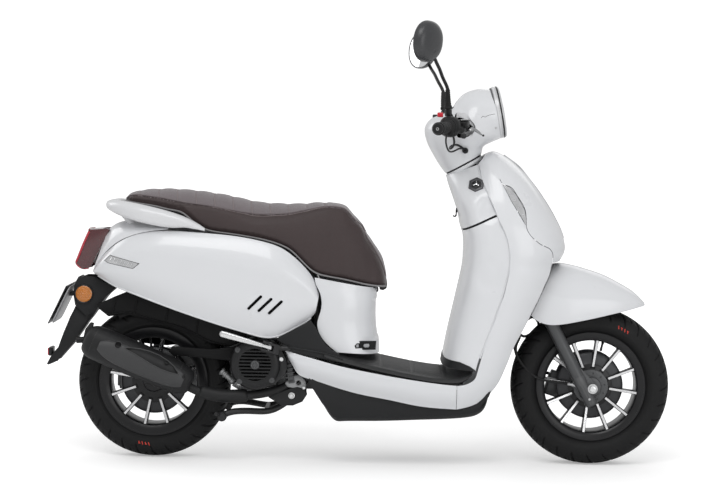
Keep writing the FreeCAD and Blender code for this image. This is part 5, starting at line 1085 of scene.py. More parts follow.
gr = grip("grip_right", -1)
done(gr, GRIP, "throttle", ("throttle_grip",), deg=40)
gl_ = grip("grip_left", 1)
done(gl_, GRIP, "steering", ("left_grip",), deg=40)
for sd, nm in ((-1, "right"), (1, "left")):
    bdv = BD * np.array([1, -sd, 1])
    p = bar(132.4, sd)
    e = lathe("bar_end_" + nm, p, bdv, [(0, 9.0), (5.0, 9.0), (5.6, 7.6), (11.0, 7.4), (14.4, 6.6), (15.6, 4.4), (15.8, 0), (15.0, -1.0), (0, -1.0)], 48, closed=False)
    done(e, SATIN, "steering", (), deg=30)
    rg = lathe("bar_end_ring_" + nm, p, bdv, [(10.4, 6.2), (12.6, 6.2), (12.9, 7.9), (10.1, 7.9)], 48)
    done(rg, GRIP, "steering", ())
    sr = lathe("bar_end_screw_" + nm, p, bdv, poly := [(0, 8.2), (2.2, 8.2), (2.6, 9.4), (4.2, 9.2), (4.4, 8.0), (4.4, 4), (0, 4)], 24, closed=False)
    done(sr, STEEL, "steering", ())
    # switch housing: one shell with a seam groove, lofted along the bar
    d, u, w = basis(bdv)
    fwd = np.array([1.0, 0, 0]) - d * d[0]
    fwd /= np.linalg.norm(fwd)
    up = np.cross(d, fwd)
    up *= np.sign(up[2])

    def house(name, s0, s1, prof, mat):
        R = []
        for s, hf, hb_, hu, hd in prof:
            row = []
            for k in range(48):
                a = 2 * math.pi * k / 48
                c, q = math.cos(a), math.sin(a)
                c, q = np.sign(c) * abs(c) ** 0.86, np.sign(q) * abs(q) ** 0.86
                row.append(bar(s, sd) + fwd * (c * (hf if c > 0 else hb_)) + up * (q * (hu if q > 0 else hd)))
            R.append(row)
        o = solid_loft(name, np.array(R))
        return done(o, mat, "steering", (), deg=38)

    hprof = [(-48.5, 12, 12, 12, 12), (-47.5, 18, 18, 19, 18), (-44, 25, 24, 25, 25), (-36, 30, 28.5, 29.5, 29), (-23.8, 31.5, 30, 31, 30.5), (-23.2, 30.7, 29.2, 30.2, 29.7), (-22.2, 30.7, 29.2, 30.2, 29.7), (-21.6, 31.5, 30, 31, 30.5), (-10, 30, 28.5, 29.5, 29), (-5, 27, 26, 27, 26.5), (-2, 25, 24.4, 25, 24.8), (0.6, 24, 23.6, 24, 23.8), (1.4, 20, 20, 20, 20), (1.7, 12, 12, 12, 12)]
    house("switch_case_" + nm, 0, 0, hprof, BLACKP)
    # master cylinder with its lid
    mc = BI - BD * 62
    mc = np.array([mc[0] + 27, mc[1] * -sd, mc[2] - 10])
    body = tube("master_cylinder_" + nm, [mc - bdv * 30 - fwd * 2, mc - bdv * 10, mc + bdv * 14, mc + bdv * 24 + fwd * 3], [10, 11.5, 11.5, 9.5], 24, 24)
    done(body, SATIN, "steering", ())
    res = block("reservoir_" + nm, mc + up * 15 - bdv * 15, bdv, fwd, up, 19, 17, 10)
    done(res, SATIN, "steering", (), bevel=4, seg=3)
    lid = block("reservoir_lid_" + nm, mc + up * 26.6 - bdv * 15, bdv, fwd, up, 20.5, 18.5, 2.0)
    done(lid, SATIN, "steering", (), bevel=1.6, seg=3)
    scs = [lathe("s", mc + up * 28.2 - bdv * (15 + q), up, [(0, 1.9), (2.4, 1.8), (3.0, 0.8), (3.0, -1.5), (0, -1.5)], 16, closed=False) for q in (-14, 14)]
    done(join("lid_screws_" + nm, scs), STEEL, "steering", ())
    clp = lathe("perch_clamp_" + nm, BI * np.array([1, -sd, 1]) - bdv * 70, bdv, [(10.8, 0), (17.2, 0.8), (17.6, 3), (17.6, 15), (17.2, 17.2), (10.8, 18)], 40)
    done(clp, SATIN, "steering", ("bar_controls",) if sd < 0 else (), deg=30)
    # lever: flattened blade with a ball end
    LV = [(318, -186, 988), (316.5, -200, 987), (314, -218, 986), (307, -240, 984), (300, -262, 982), (295.5, -284, 980.5), (293, -305, 979), (292, -322, 978), (292, -336, 977)]
    LVn = spl([(x, y * -sd, z) for x, y, z in LV], 60)
    Tt, _, _ = frames(LVn)
    R = []
    for i, p in enumerate(LVn):
        f = i / 59.0
        hw = 8.2 - 2.4 * f if f < 0.9 else 6.0
        hh = 6.4 - 1.6 * f
        if f > 0.93:
            q = (f - 0.93) / 0.07
            hw = hh = 5.6 + 2.6 * math.sin(q * math.pi * 0.9)
        if f > 0.985:
            hw = hh = 3.4
        uu = np.cross(Tt[i], (0, 0, 1.0))
        uu /= np.linalg.norm(uu)
        ww = np.cross(uu, Tt[i])
        row = []
        for k in range(20):
            a = 2 * math.pi * k / 20
            c, q = math.cos(a), math.sin(a)
            row.append(p + uu * hw * np.sign(c) * abs(c) ** 0.8 + ww * hh * np.sign(q) * abs(q) ** 0.8)
        R.append(row)
    lv = solid_loft("lever_blade_" + nm, np.array(R))
    done(lv, SATIN if sd < 0 else SATIN, "brake_lever_" + nm, ("brake_lever_" + nm,), deg=40)
    pv = lathe("lever_pivot_" + nm, np.array([318, 186.0 * sd, 988]), Z_, [(0, -9.4), (6.6, -9.2), (7.2, -8), (7.2, 8), (6.6, 9.2), (0, 9.4)], 24, closed=False)
    done(pv, STEEL, "brake_lever_" + nm, ())
    # mirror: boot, stem, ball, head, glass
    ST_ = [(253, -160, 1058), (251, -170, 1083), (250, -186, 1110), (236, -208, 1140), (224, -240, 1166), (216, -262, 1180), (206, -286, 1200), (201, -292, 1212)]
    stn = [(x, y * -sd, z) for x, y, z in ST_]
    stem = tube("mirror_rod_" + nm, stn, 5.1, 16, 90)
    done(stem, SATIN, "steering", ("mirror_stems",) if sd < 0 else ())
    bt = spl(stn[:3], 40)
    rr = []
    for i in range(40):
        f = i / 39.0
        r = 10.0 - 4.0 * f
        if i % 4 < 2:
            r += 0.7
        if f < 0.08:
            r = 11.6
        rr.append(r)
    bo = tube("mirror_boot_" + nm, bt, rr, 24, smoothpath=False)
    done(bo, GRIP, "steering", (), deg=50)
    nut = solid_loft("mirror_nut_" + nm, poly_ring(np.array([254, 156.5 * sd, 1046]), *basis((-0.06, 0.10 * sd, 1)), [(9.6, -12), (10.8, -11), (10.8, 6), (9.6, 7.4)], 6))
    done(nut, SATIN, "steering", (), bevel=0.6)
    stud = tube("mirror_stud_" + nm, [(x, y * -sd, z) for x, y, z in ((267, -147, 990), (264.5, -149.5, 1010), (260, -153, 1032), (254, -156.5, 1046), (253, -160, 1062))], [10.5, 10.5, 9.2, 8.0, 8.0], 20, 30)
    done(stud, SATIN, "steering", ())
    bll = lathe("mirror_ball_" + nm, np.array([201, 292.0 * sd, 1213]), Z_, [(0, 8.2), (4, 7.2), (7, 4.2), (8.2, 0), (7, -4.2), (4, -7.2), (0, -8.2)], 28, closed=False)
    done(bll, SATIN, "mirror_" + nm, ())
    mh = np.array([186.0, 300 * sd, 1243])
    mn = np.array([-0.76, -0.62 * sd, 0.10])
    mn /= np.linalg.norm(mn)
    up_ = np.array([0, 0, 1.0]) - mn * mn[2]
    up_ /= np.linalg.norm(up_)
    sdv = np.cross(mn, up_)

    def disc_rings(prof, seg=84, ex=57.0, ez=59.0):
        R = []
        for r, h in prof:
            row = []
            for k in range(seg):
                a = 2 * math.pi * k / seg
                c, q = math.cos(a), math.sin(a)
                c, q = np.sign(c) * abs(c) ** 0.94, np.sign(q) * abs(q) ** 0.94
                row.append(mh + mn * h + sdv * c * ex * r + up_ * q * ez * r)
            R.append(row)
        return np.array(R)
    hd = solid_loft("mirror_case_" + nm, disc_rings([(0.93, 5.2), (0.965, 7.6), (0.99, 7.8), (1.0, 6.0), (1.0, 2.0), (0.985, -5), (0.94, -12), (0.85, -18), (0.7, -22.4), (0.5, -25.2), (0.25, -26.6), (0.04, -27)]))
    done(hd, MIRB, "mirror_" + nm, ("mirror_head_" + nm,), deg=35)
    gg = solid_loft("mirror_glass_" + nm, disc_rings([(0.04, 7.2), (0.4, 7.0), (0.75, 6.6), (0.93, 6.2), (0.935, 4.6), (0.04, 4.4)]))
    done(gg, MIRR, "mirror_" + nm, (), deg=30)
    neck = tube("mirror_neck_" + nm, [(201, 292 * sd, 1209), tuple(np.array([198, 295 * sd, 1214.0])), tuple(mh - up_ * 24 - mn * 17)], [7.4, 7.2, 12], 20, 20)
    done(neck, SATIN, "mirror_" + nm, ())

# switches: buttons follow the CAD pieces they stand for
for node, body, mat, h in (("kill_switch", "kill_switch", REDS, 1), ("starter_button", "starter_button", SATIN, 1), ("horn_button", "horn_button", SATIN, 1), ("indicator_switch", "indicator_switch", SATIN, 1), ("beam_switch", "beam_switch", SATIN, 1)):
    nd_ = [n for n, o in frame["nodes"].items() if o["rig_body"] == body]
    for n in nd_:
        lo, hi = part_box(n)
        lo, hi = np.array(lo) / K, np.array(hi) / K
        c, hlf = (lo + hi) / 2, (hi - lo) / 2
        off_ = {"kill_switch": (-3.0, 9.5), "beam_switch": (-5.0, 8.5), "starter_button": (-8.0, 1.0), "indicator_switch": (-7.0, 1.0), "horn_button": (-8.0, -2.0)}[node]
        R = []
        for t, f in ((-1, 0.9), (-0.9, 1), (0.35, 1), (0.75, 0.93), (0.95, 0.8), (0.8, 0.55), (0.72, 0.2)):
            row = []
            for k in range(32):
                a = 2 * math.pi * k / 32
                cc, q = math.cos(a), math.sin(a)
                cc, q = np.sign(cc) * abs(cc) ** 0.6, np.sign(q) * abs(q) ** 0.6
                row.append((c[0] - hlf[0] * t + off_[0], c[1] + hlf[1] * cc * f, c[2] + hlf[2] * q * f + off_[1]))
            R.append(row)
        b_ = solid_loft(node + "_cap", np.array(R))
        done(b_, mat, body, (n,), deg=35)

# throttle cable and hose seen beside the grip, ending in the cover's opening
for sd, nm in ((-1, "right"), (1, "left")):
    f3 = lambda P: [(x, y * -sd, z) for x, y, z in P]
    done(tube("control_cable_" + nm, f3([(262, -226, 990), (268, -222, 972), (270, -205, 952), (262, -180, 940), (262, -150, 944), (284, -118, 950), (306, -98, 936), (312, -84, 930)]), 3.2, 12, 90), SATIN, "steering", ("cables",) if sd < 0 else ())
    done(tube("control_cable_b_" + nm, f3([(250, -232, 988), (246, -226, 966), (250, -206, 944), (258, -180, 932), (272, -150, 932), (292, -116, 940), (308, -92, 938)]), 2.6, 12, 90), SATIN, "steering", ())
    done(lathe("cable_elbow_" + nm, (262, 226 * sd, 992), (0.1, 0, -1), [(0, -4), (5.4, -4), (5.6, 8), (4.4, 10), (4.4, 15), (0, 15)], 20, closed=False), GRIP, "steering", ())
    done(lathe("grommet_" + nm, (308, 101 * sd, 934), (0, sd, 0), [(3.2, -4), (8.4, -4), (8.8, -2), (6.6, -1), (6.6, 1.5), (8.8, 2.5), (8.2, 4.6), (3.2, 4.6)], 32), GRIP, "steering", ())
    done(tube("brake_hose_top_" + nm, f3([(292, -150, 992), (300, -128, 990), (304, -104, 986), (310, -84, 974)]), 3.4, 12, 50), GRIP, "steering", ())
    tip = tube("lever_tail_" + nm, f3([(320, -178, 992), (322, -154, 997), (330, -138, 997), (342, -130, 990), (352, -126, 982)]), [5, 5.2, 5, 4.2, 2.6], 14, 40)
    done(tip, LEVA, "brake_lever_" + nm, ())
    done(lathe("lever_stop_" + nm, (359, 122 * sd, 979), (1, 0, -0.2), [(0, -3.4), (2.6, -2.6), (3.6, 0), (2.6, 2.6), (0, 3.4)], 20, closed=False), SATIN, "brake_lever_" + nm, ())
    done(tube("lever_stop_pin_" + nm, f3([(350, -127, 983), (355, -124, 980.6), (359, -122, 979)]), 1.4, 8, 12), SATIN, "brake_lever_" + nm, ())


# black collar in the gap between the cover and the shield: painted shade in the gap
ring0 = G[0]
c0_ = ring0.mean(0)
collar = solid_loft("neck_gap_shade_collar", np.array([c0_ + (ring0 - c0_) * k_ + AXD * h_ for k_, h_ in ((0.80, -3.8), (0.93, -3.7), (0.958, -3.2), (0.962, 0.2), (0.92, 1.6), (0.80, 2.2))]))
done(collar, BLACK_AND_PAINTED_SHADE, "steering", (), deg=40)
collar = solid_loft("neck_collar_skirt", np.array([c0_ + (ring0 - c0_) * k_ + AXD * h_ for k_, h_ in ((0.86, -17), (0.93, -15), (0.957, -12), (0.966, -5.2), (0.95, -4.7), (0.80, -4.6))]))
done(collar, WHITE, "frame", (), deg=40)
# ================================================================== front fork
TA = float(np.dot(np.array([XF, 0, RF]) - AX0, AXD))
FA = float(np.dot(np.array([XF, 0, RF]) - AX0, AXF))
for sd, nm in ((-1, "right"), (1, "left")):
    y = LEGY * sd
    st_ = cylo("stanchion_" + nm, axp(44, 0, y), axp(281, 0, y), 15.0, 48)
    done(st_, CHROME, "steering", ())
    prof = [(0, -136), (14, -136), (17.5, -133), (19.2, -126), (19.2, -60), (19.6, -30), (19.0, 30), (19.0, 134), (20.6, 138), (20.8, 160), (20.2, 164.5), (15.3, 164.5), (15.3, 150), (0, 150)]
    sl_ = lathe("s", axp(0, 0, y), AXD, prof, 64, closed=False)
    web = []
    pts = [(TA - 15, -4), (TA - 15, FA), (TA - 4, FA + 13), (TA + 12, FA + 12), (TA + 85, 14), (TA + 96, 4), (TA + 60, -6)]
    V_ = [axp(t, f, y + q) for q in (-8.5, 8.5) for t, f in pts]
    n_ = len(pts)
    web = raw("w", V_, [tuple(range(n_)), tuple(range(2 * n_ - 1, n_ - 1, -1))] + [(j, (j + 1) % n_, n_ + (j + 1) % n_, n_ + j) for j in range(n_)])
    outward(web)
    eye = lathe("e", (XF, y, RF), Y_, [(6.2, -17.5), (14.2, -17.5), (15.8, -15.5), (15.8, 15.5), (14.2, 17.5), (6.2, 17.5)], 48)
    lug = cylo("l", axp(TA + 24, 0, y), axp(TA + 50, 0, y), 20.2, 48)
    boolean(sl_, [web, eye, lug], "UNION")
    # outline of a hollow pocket in the web's outer face; it is not cut
    pk = [(TA + 4, 20), (TA + 15, 22), (TA + 60, 18.5), (TA + 30, 16)]
    done(sl_, GRAPH, "fork", ("fork_sliders",) if sd < 0 else (), deg=32, bevel=1.0, seg=2, blim=50)
    sl_.name = "fork_slider_" + nm
    nutp = poly_ring(np.array([XF, 0, RF]), *basis((0, sd, 0)), [(9.0, 105.6), (10.4, 106.4), (10.4, 113.8), (9.2, 115.0)], 6, ph=12)
    nt_ = solid_loft("axle_nut_" + nm, nutp)
    done(nt_, ALU, "fork", (), bevel=0.5)
    ws = lathe("axle_washer_" + nm, (XF, 0, RF), (0, sd, 0), [(6.1, 105.0), (14.4, 105.0), (14.6, 106.6), (6.1, 106.8)], 48)
    done(ws, STEEL, "fork", ())
    dr = lathe("fork_drain_screw_" + nm, axp(-112, 0, y) + np.array([0, 19.0 * sd, 0]), (0, sd, 0), [(0, -2), (4.2, -2), (4.4, 1.4), (3.6, 2.6), (2.0, 2.6), (1.8, 1.4), (0, 1.4)], 6, closed=False)
    done(dr, STEEL, "fork", ())
    ds = lathe("fork_seal_" + nm, axp(0, 0, y), AXD, [(15.05, 160), (17.8, 160), (18.6, 166), (17.2, 171), (15.05, 172.5)], 48)
    done(ds, GRIP, "fork", ())
# yoke
R = []
for t, ex, ey in ((254, 24, 98), (257, 29, 105), (262, 30.5, 107), (274, 30.5, 107), (279, 28, 104), (281, 22, 98)):
    row = []
    for k in range(72):
        a = 2 * math.pi * k / 72
        c, q = math.cos(a), math.sin(a)
        w = 1.0 - 0.32 * abs(math.sin(a)) ** 0.7 * 0
        xx = np.sign(c) * abs(c) ** 0.5 * ex * (0.78 + 0.22 * abs(math.cos(2 * a)))
        row.append(axp(t, xx, np.sign(q) * abs(q) ** 0.4 * ey))
    R.append(row)
yk = solid_loft("fork_yoke", np.array(R))
done(yk, SATIN, "steering", (), deg=35)

# front fender
FD = [
    ((580, 601), (510, 452), 119, 2.5), ((600, 604), (533, 436), 120, 2.5), ((626, 601), (563, 427), 120, 2.5), ((655, 595), (600, 428), 119, 2.5), ((690, 585), (650, 437), 115, 2.45), ((735, 570), (704, 448), 105, 2.4),
    ((789, 543), (766, 462), 91, 2.3), ((825, 521), (812, 472), 72, 2.25), ((846, 502), (838, 478), 52, 2.2), ((858, 490), (855, 480), 30, 2.1),
]
G = ribs([(C, S, w, n) for C, S, w, n in FD], 190, 66)
N = gnormals(G)
if N[90, 65, 2] < 0:
    N = -N
# raised side flank: a soft step running along the lower third
ff = np.linspace(0, 1, G.shape[1])
v = np.abs(ff - 0.5) * 2
step = 2.2 / (1 + np.exp(-(v - 0.72) / 0.018))
G = G - N * (2.2 - step)[None, :, None] * 1.0
fd = shell("front_fender_shell", G, 3.0, N=N)
done(fd, WHITE, "steering", ("front_fender",), deg=40, bevel=0.8, blim=60)
# rolled lower lip
for sd, nm in ((-1, "right"), (1, "left")):
    j = 0 if sd < 0 else G.shape[1] - 1
    lip = tube("fender_lip_" + nm, G[4:-4:4, j] + np.array([0, -1.2 * -sd * -1, 0.6]), 1.9, 10, 120)
    done(lip, WHITE, "steering", ())

# ================================================================== wheels
def tyre(name, cx, R, half, body, rep):
    h = R - 152.4
    outer = [(152.9, -40.5), (156, -43.6), (161.5, -45.5), (168, -49.5), (178.4, -half + 2), (152.4 + 0.55 * h, -half), (R - 16, -half + 8), (R - 5.5, -half + 24), (R - 0.9, -half + 44), (R - 0.2, 0)]
    outer = outer + [(r, -y) for r, y in reversed(outer[:-1])]
    inner = [(153.4, 31), (164.4, 33), (152.4 + 0.52 * h, half - 8), (R - 19, half - 16), (R - 10, 0)]
    inner = inner + [(r, -y) for r, y in reversed(inner[:-1])]
    po, pi_ = spl(outer, 104), spl(inner, 30)
    seg = 896
    nb = 28
    ang = np.linspace(0, 2 * math.pi, seg, endpoint=False)
    m1 = len(po)
    prof = np.vstack([po, pi_])
    m = len(prof)
    tang = np.gradient(po, axis=0)
    tang /= np.linalg.norm(tang, axis=1, keepdims=True)
    nrm = np.c_[-tang[:, 1], tang[:, 0]]
    nrm *= np.sign(nrm[:, :1] * (po[:, :1] - 190) + nrm[:, 1:] * po[:, 1:] + 1e-9)
    rr = np.tile(prof[:, 0], (seg, 1))
    yy = np.tile(prof[:, 1], (seg, 1))
    y = po[:, 1]
    arc = np.r_[0, np.cumsum(np.linalg.norm(np.diff(po, axis=0), axis=1))]
    sarc = arc - arc[m1 // 2]            # distance across the tread from the crown
    dep = np.zeros((seg, m1))
    A = ang[:, None] * nb / (2 * math.pi)
    S = np.abs(sarc)[None, :]
    sg = np.sign(sarc)[None, :]
    sm = lambda x, w: np.clip(x / w + 0.5, 0, 1)
    # long slanted shoulder groove, curved; left and right are staggered by half a pitch
    ph = A + 0.5 * (sg > 0) + 0.55 * (S / 60.0) ** 1.15
    g1 = np.abs((ph % 1) - 0.5) * (2 * math.pi * R / nb)
    on1 = sm(S - 13, 2) * sm(74 - S, 3)
    wd1 = 4.4 - 1.8 * np.clip((S - 15) / 58, 0, 1)
    dep = np.maximum(dep, (5.6 - 3.2 * np.clip((S - 44) / 30, 0, 1)) * on1 * sm(wd1 - g1, 1.4))
    # short groove between, only on the shoulder
    g2 = np.abs(((ph + 0.5) % 1) - 0.5) * (2 * math.pi * R / nb)
    on2 = sm(S - 34, 2) * sm(52 - S, 2)
    dep = np.maximum(dep, 4.0 * on2 * sm(2.2 - g2, 1.2))
    # crown grooves: a broken zigzag pair
    ph3 = A + 0.25 - 0.35 * sarc[None, :] / 14.0
    g3 = np.abs((ph3 % 1) - 0.5) * (2 * math.pi * R / nb)
    on3 = sm(12.5 - S, 1.6)
    dep = np.maximum(dep, 4.4 * on3 * sm(2.4 - g3, 1.2) * ((A.astype(int) % 2) == 0))
    # sidewall: two raised rings and a fine serrated band near the shoulder
    rad = po[:, 0][None, :]
    side = (np.abs(y) > 30)[None, :] & (rad < R - 18)
    ring1 = np.exp(-((rad - 171) / 1.1) ** 2) * 0.9 + np.exp(-((rad - (R - 26)) / 1.2) ** 2) * 1.0 + np.exp(-((rad - 184) / 0.9) ** 2) * 0.5
    serr = (np.sin(ang * 220)[:, None] > 0) * sm(rad - (R - 33), 2) * sm((R - 28) - rad, 2) * 0.5
    dep = dep - np.where(side, ring1 + serr, 0)
    rr[:, :m1] = rr[:, :m1] - dep * nrm[None, :, 0]
    yy[:, :m1] = yy[:, :m1] - dep * nrm[None, :, 1]
    P = np.stack([cx + rr * np.cos(ang)[:, None], yy, R + rr * np.sin(ang)[:, None]], 2)
    o = raw(name, P.reshape(-1, 3), quads(seg, m, True, True))
    outward(o)
    return done(o, TYRE, body, rep, deg=42)


def wheel(nm, cx, R, half, rim_in, body, off, valve_a, mark_a):
    c = np.array([cx, 0, R])
    tyre(nm + "_tyre_tread", cx, R, half, body, (nm + "_tyre",))
    prof = [
        (rim_in, 45.0), (rim_in + 2, 47), (146.5, 49.8), (150.5, 50.8), (158.5, 51.6), (161.6, 51.7), (163, 50.6), (162.6, 48.4), (161.3, 46), (155, 44.2), (152.6, 42.6), (152.3, 29), (150, 26.5), (rim_in + 6, 21.5), (rim_in + 5, 19.5),
    ]
    prof = prof + [(r, -y) for r, y in reversed(prof)] + [(rim_in - 1.2, -42), (rim_in - 1.6, 0), (rim_in - 1.2, 42)]
    barrel = lathe(nm + "_rim_barrel", c, Y_, prof, 192)
    done(barrel, RIM, body, (nm + "_rim",), deg=34)
    # thin line on the outer lip, in the wheel paint
    for s in (-1, 1):
        lp = lathe(nm + "_rim_line_" + ("r" if s < 0 else "l"), c, Y_, [(157.6, s * 51.5), (161.9, s * 51.6), (162.0, s * 52.0), (157.6, s * 51.9)], 192)
        done(lp, RIM, body, ())
    hub = lathe("h", c, Y_, [(13, -41), (20, -41.4), (29, -40.5), (33, -37), (34, -32), (40, -30.5), (62, -29.5), (66.5, -27.5), (67, -24), (67, -17), (64, -14), (40, -13), (34.5, -10), (34, 38), (31, 44), (13, 44.4)], 128)
    done(hub, RIM, body, (), deg=30)
    hub.name = nm + "_hub"
    sp, fc_ = [], []
    for k in range(12):
        a = math.radians(off + 30.0 * k)
        er = np.array([math.cos(a), 0, math.sin(a)])
        et = np.array([-math.sin(a), 0, math.cos(a)])
        rows = []
        for f in np.linspace(0, 1, 26):
            r = 54.0 + (rim_in + 3.5 - 54.0) * f
            fl = max(0, (f - 0.86) / 0.14) ** 2 * 6.0 + max(0, (0.14 - f) / 0.14) ** 2 * 4.2
            hw_o = 3.5 + fl * 0.9      # outer face half width
            hw_i = 6.2 + fl
            ya = -32.5 - 12.0 * f ** 1.25
            yb = -15.0 - 3.5 * f
            rows.append([
                c + er * r + et * (-hw_o + 0.8) + np.array([0, ya - 0.2, 0]), c + er * r + et * (hw_o - 0.8) + np.array([0, ya - 0.2, 0]),
                c + er * r + et * hw_o + np.array([0, ya + 0.6, 0]), c + er * r + et * (hw_o + 1.5) + np.array([0, ya + 6, 0]),
                c + er * r + et * hw_i + np.array([0, yb - 1.2, 0]), c + er * r + et * (hw_i - 1.2) + np.array([0, yb, 0]),
                c + er * r + et * (-hw_i + 1.2) + np.array([0, yb, 0]), c + er * r + et * -hw_i + np.array([0, yb - 1.2, 0]),
                c + er * r + et * (-hw_o - 1.5) + np.array([0, ya + 6, 0]), c + er * r + et * -hw_o + np.array([0, ya + 0.6, 0]),
            ])
        sp.append(solid_loft("s", np.array(rows)))
        rows = []
        for f in np.linspace(0.05, 0.985, 22):
            r = 54.0 + (rim_in + 2.0 - 54.0) * f
            fl = 0.0
            hw = 3.2
            ya = -32.5 - 12.0 * f ** 1.25 - 0.35
            rows.append([c + er * r + et * -hw + np.array([0, ya - 0.25, 0]), c + er * r + et * hw + np.array([0, ya - 0.25, 0]), c + er * r + et * (hw + 0.2) + np.array([0, ya + 0.8, 0]), c + er * r + et * (-hw - 0.2) + np.array([0, ya + 0.8, 0])])
        fc_.append(solid_loft("f", np.array(rows)))
    done(join(nm + "_spokes", sp), RIM, body, (), deg=40)
    done(join(nm + "_spoke_faces", fc_), MACH, body, (), deg=30)
    # valve stem
    a = math.radians(valve_a)
    er = np.array([math.cos(a), 0, math.sin(a)])
    vs = lathe(nm + "_valve", c + er * (rim_in - 2) + np.array([0, -14, 0]), -er + np.array([0, -0.35, 0]), [(0, -3), (4.6, -2), (4.4, 4), (3.4, 8), (3.2, 20), (3.9, 20.6), (3.9, 28), (3.2, 29.4), (0, 29.6)], 24, closed=False)
    done(vs, SATIN, body, ())
    # a row of small slanted paint bars low on the side wall
    ms = []
    for q, rm in mark_a:
        for k in range(4):
            a = math.radians(q + (k - 1.5) * 3.0)
            e = np.array([math.cos(a), 0, math.sin(a)])
            t_ = np.array([-math.sin(a), 0, math.cos(a)])
            yv = -(half - 0.6) - 0.2
            lo_, hi_ = (-4.6, 4.6) if k % 2 else (-4.0, 2.6)
            rows = [c + e * (rm + v) + t_ * (v * 0.45) + np.array([0, yv - 0.0016 * (60 - (v - 2) ** 2), 0]) for v in np.linspace(lo_, hi_, 5)]
            ms.append(tube("m", rows, 1.5, 8, 10))
            if k % 2 == 0:
                rows = [c + e * (rm + hi_ - 0.6) + t_ * (hi_ * 0.45 + v) + np.array([0, yv, 0]) for v in np.linspace(-3.0, 3.0, 4)]
                ms.append(tube("m", rows, 1.3, 8, 8))
    done(join(nm + "_tyre_mark", ms), REDM, body, ())


wheel("front", XF, RF, 60.0, 138.5, "front_wheel", 22.5, 74, [(62, 196)])
wheel("rear", XR, RR, 55.0, 131.5, "rear_wheel", 19.0, 96, [(-98, 188)])


def disc(name, c, y0, y1, r, body, rep):
    o = lathe("d", c, Y_, [(24, y0), (r - 0.6, y0), (r, y0 + 0.6), (r, y1 - 0.6), (r - 0.6, y1), (24, y1)], 144)
    ct = []
    for k in range(36):
        for q, rad in enumerate((r - 14, r - 23)):
            a = math.radians(10 * k + q * 3.3)
            p = np.array([c[0] + rad * math.cos(a), y0 - 2, c[2] + rad * math.sin(a)])
            ct.append(cylo("x", p, p + np.array([0, y1 - y0 + 4, 0]), 2.4, 12))
    for k in range(6):
        a0, a1 = math.radians(60 * k + 6), math.radians(60 * k + 54)
        aa = np.linspace(a0, a1, 10)
        poly = [(c[0] + (r - 34) * math.cos(t), c[2] + (r - 34) * math.sin(t)) for t in aa] + [(c[0] + 42 * math.cos(t), c[2] + 42 * math.sin(t)) for t in aa[::-1]]
        ct.append(plate("x", poly, y0 - 3, y1 + 3))
    boolean(o, [join("x", ct)])
    o.name = name
    return done(o, DISC, body, rep, deg=25)


disc("front_disc_rotor", (XF, 0, RF), 44.2, 48.0, 102.0, "front_wheel", ("front_brake_disc",))
disc("rear_disc_rotor", (XR, 0, RR), 44.2, 48.0, 97.0, "rear_wheel", ())
# dark dished guard round the hub, on the right
for nm, cx, R, body in (("front", XF, RF, "front_wheel"), ("rear", XR, RR, "rear_wheel")):
    gd = lathe(nm + "_hub_dish", (cx, 0, R), Y_, [(66.6, -26.5), (72, -24.0), (88, -20.5), (97, -18.0), (99.5, -15.8), (98, -14.0), (88, -16.5), (72, -19.5), (66.6, -21)], 128)
    done(gd, DISC, body, (), deg=30)
# speedometer drive and its cable on the near side
sp_ = lathe("speedo_drive_ring", (XF, 0, RF), Y_, [(12, -66.5), (21, -66.5), (28, -65), (30.6, -62), (31, -54.6), (45, -54.2), (50.4, -53), (51.4, -51), (50.6, -48.6), (45, -48), (31, -47.6), (30, -42), (12, -42)], 96)
hs = []
for k in range(10):
    a = math.radians(36 * k + 10)
    hs.append(cylo("x", (XF + 41 * math.cos(a), -60, RF + 41 * math.sin(a)), (XF + 41 * math.cos(a), -51.5, RF + 41 * math.sin(a)), 2.6, 16))
boolean(sp_, [join("x", hs)])
done(sp_, GRAPH, "fork", ("front_axle",), deg=30)
spz = lathe("front_axle_shaft", (XF, 0, RF), Y_, [(0, -104), (6.0, -104), (6.0, 104), (0, 104)], 32, closed=False)
done(spz, STEEL, "fork", ())
spc = lathe("front_spacer", (XF, 0, RF), Y_, [(6.2, 48.6), (11.4, 48.6), (12.2, 50), (12.2, 69), (6.2, 69.6)], 40)
done(spc, ALU, "fork", ())
nip = lathe("speedo_cable_nut", (XF - 42, -51, RF + 3), (-1, 0, 0.15), [(0, 0), (6.5, 0), (6.8, 3), (6.8, 12), (5.4, 15), (5.0, 28), (0, 28)], 24, closed=False)
done(nip, STEEL, "fork", ())
# caliper on the left leg
cal = []
for y0, y1 in ((49.5, 61.5), (28.5, 42.3)):
    cal.append(block("c", (600, (y0 + y1) / 2, 232), (0.95, 0, -0.3), Y_, (0.3, 0, 0.95), 24, (y1 - y0) / 2, 38))
cal.append(block("c", (580, 45, 234), (0.95, 0, -0.3), Y_, (0.3, 0, 0.95), 8, 15, 32))
c0 = join("front_caliper_body", cal)
done(c0, GRAPH, "fork", ("front_caliper",), bevel=3.5, seg=3)
cp = [lathe("c", p, Y_, [(0, -14), (13, -14), (13, 3.6), (11, 5), (6, 5), (5.2, 3.8), (0, 3.8)], 32, closed=False) for p in ((596, 61, 218), (604, 61, 250))]
done(join("front_caliper_caps", cp), STEEL, "fork", ())
# brake hose and speedometer cable, not attached to any body
bh = tube("brake_hose", [(486, 22, 395), (488, 30, 372), (480, 44, 348), (482, 52, 318), (498, 58, 296), (524, 60, 276), (550, 60, 268), (578, 60, 262), (596, 58, 262)], 4.6, 14, 110)
done(bh, GRIP, None, ())
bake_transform(bh)
sc_ = tube("speedometer_cable", [(462, -64, 400), (464, -66, 368), (474, -64, 330), (494, -60, 298), (518, -56, 274), (545, -53, 258), (580, -51, 250), (618, -51, 246), (640, -51, 243)], 3.8, 14, 110)
done(sc_, GRIP, None, ())
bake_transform(sc_)
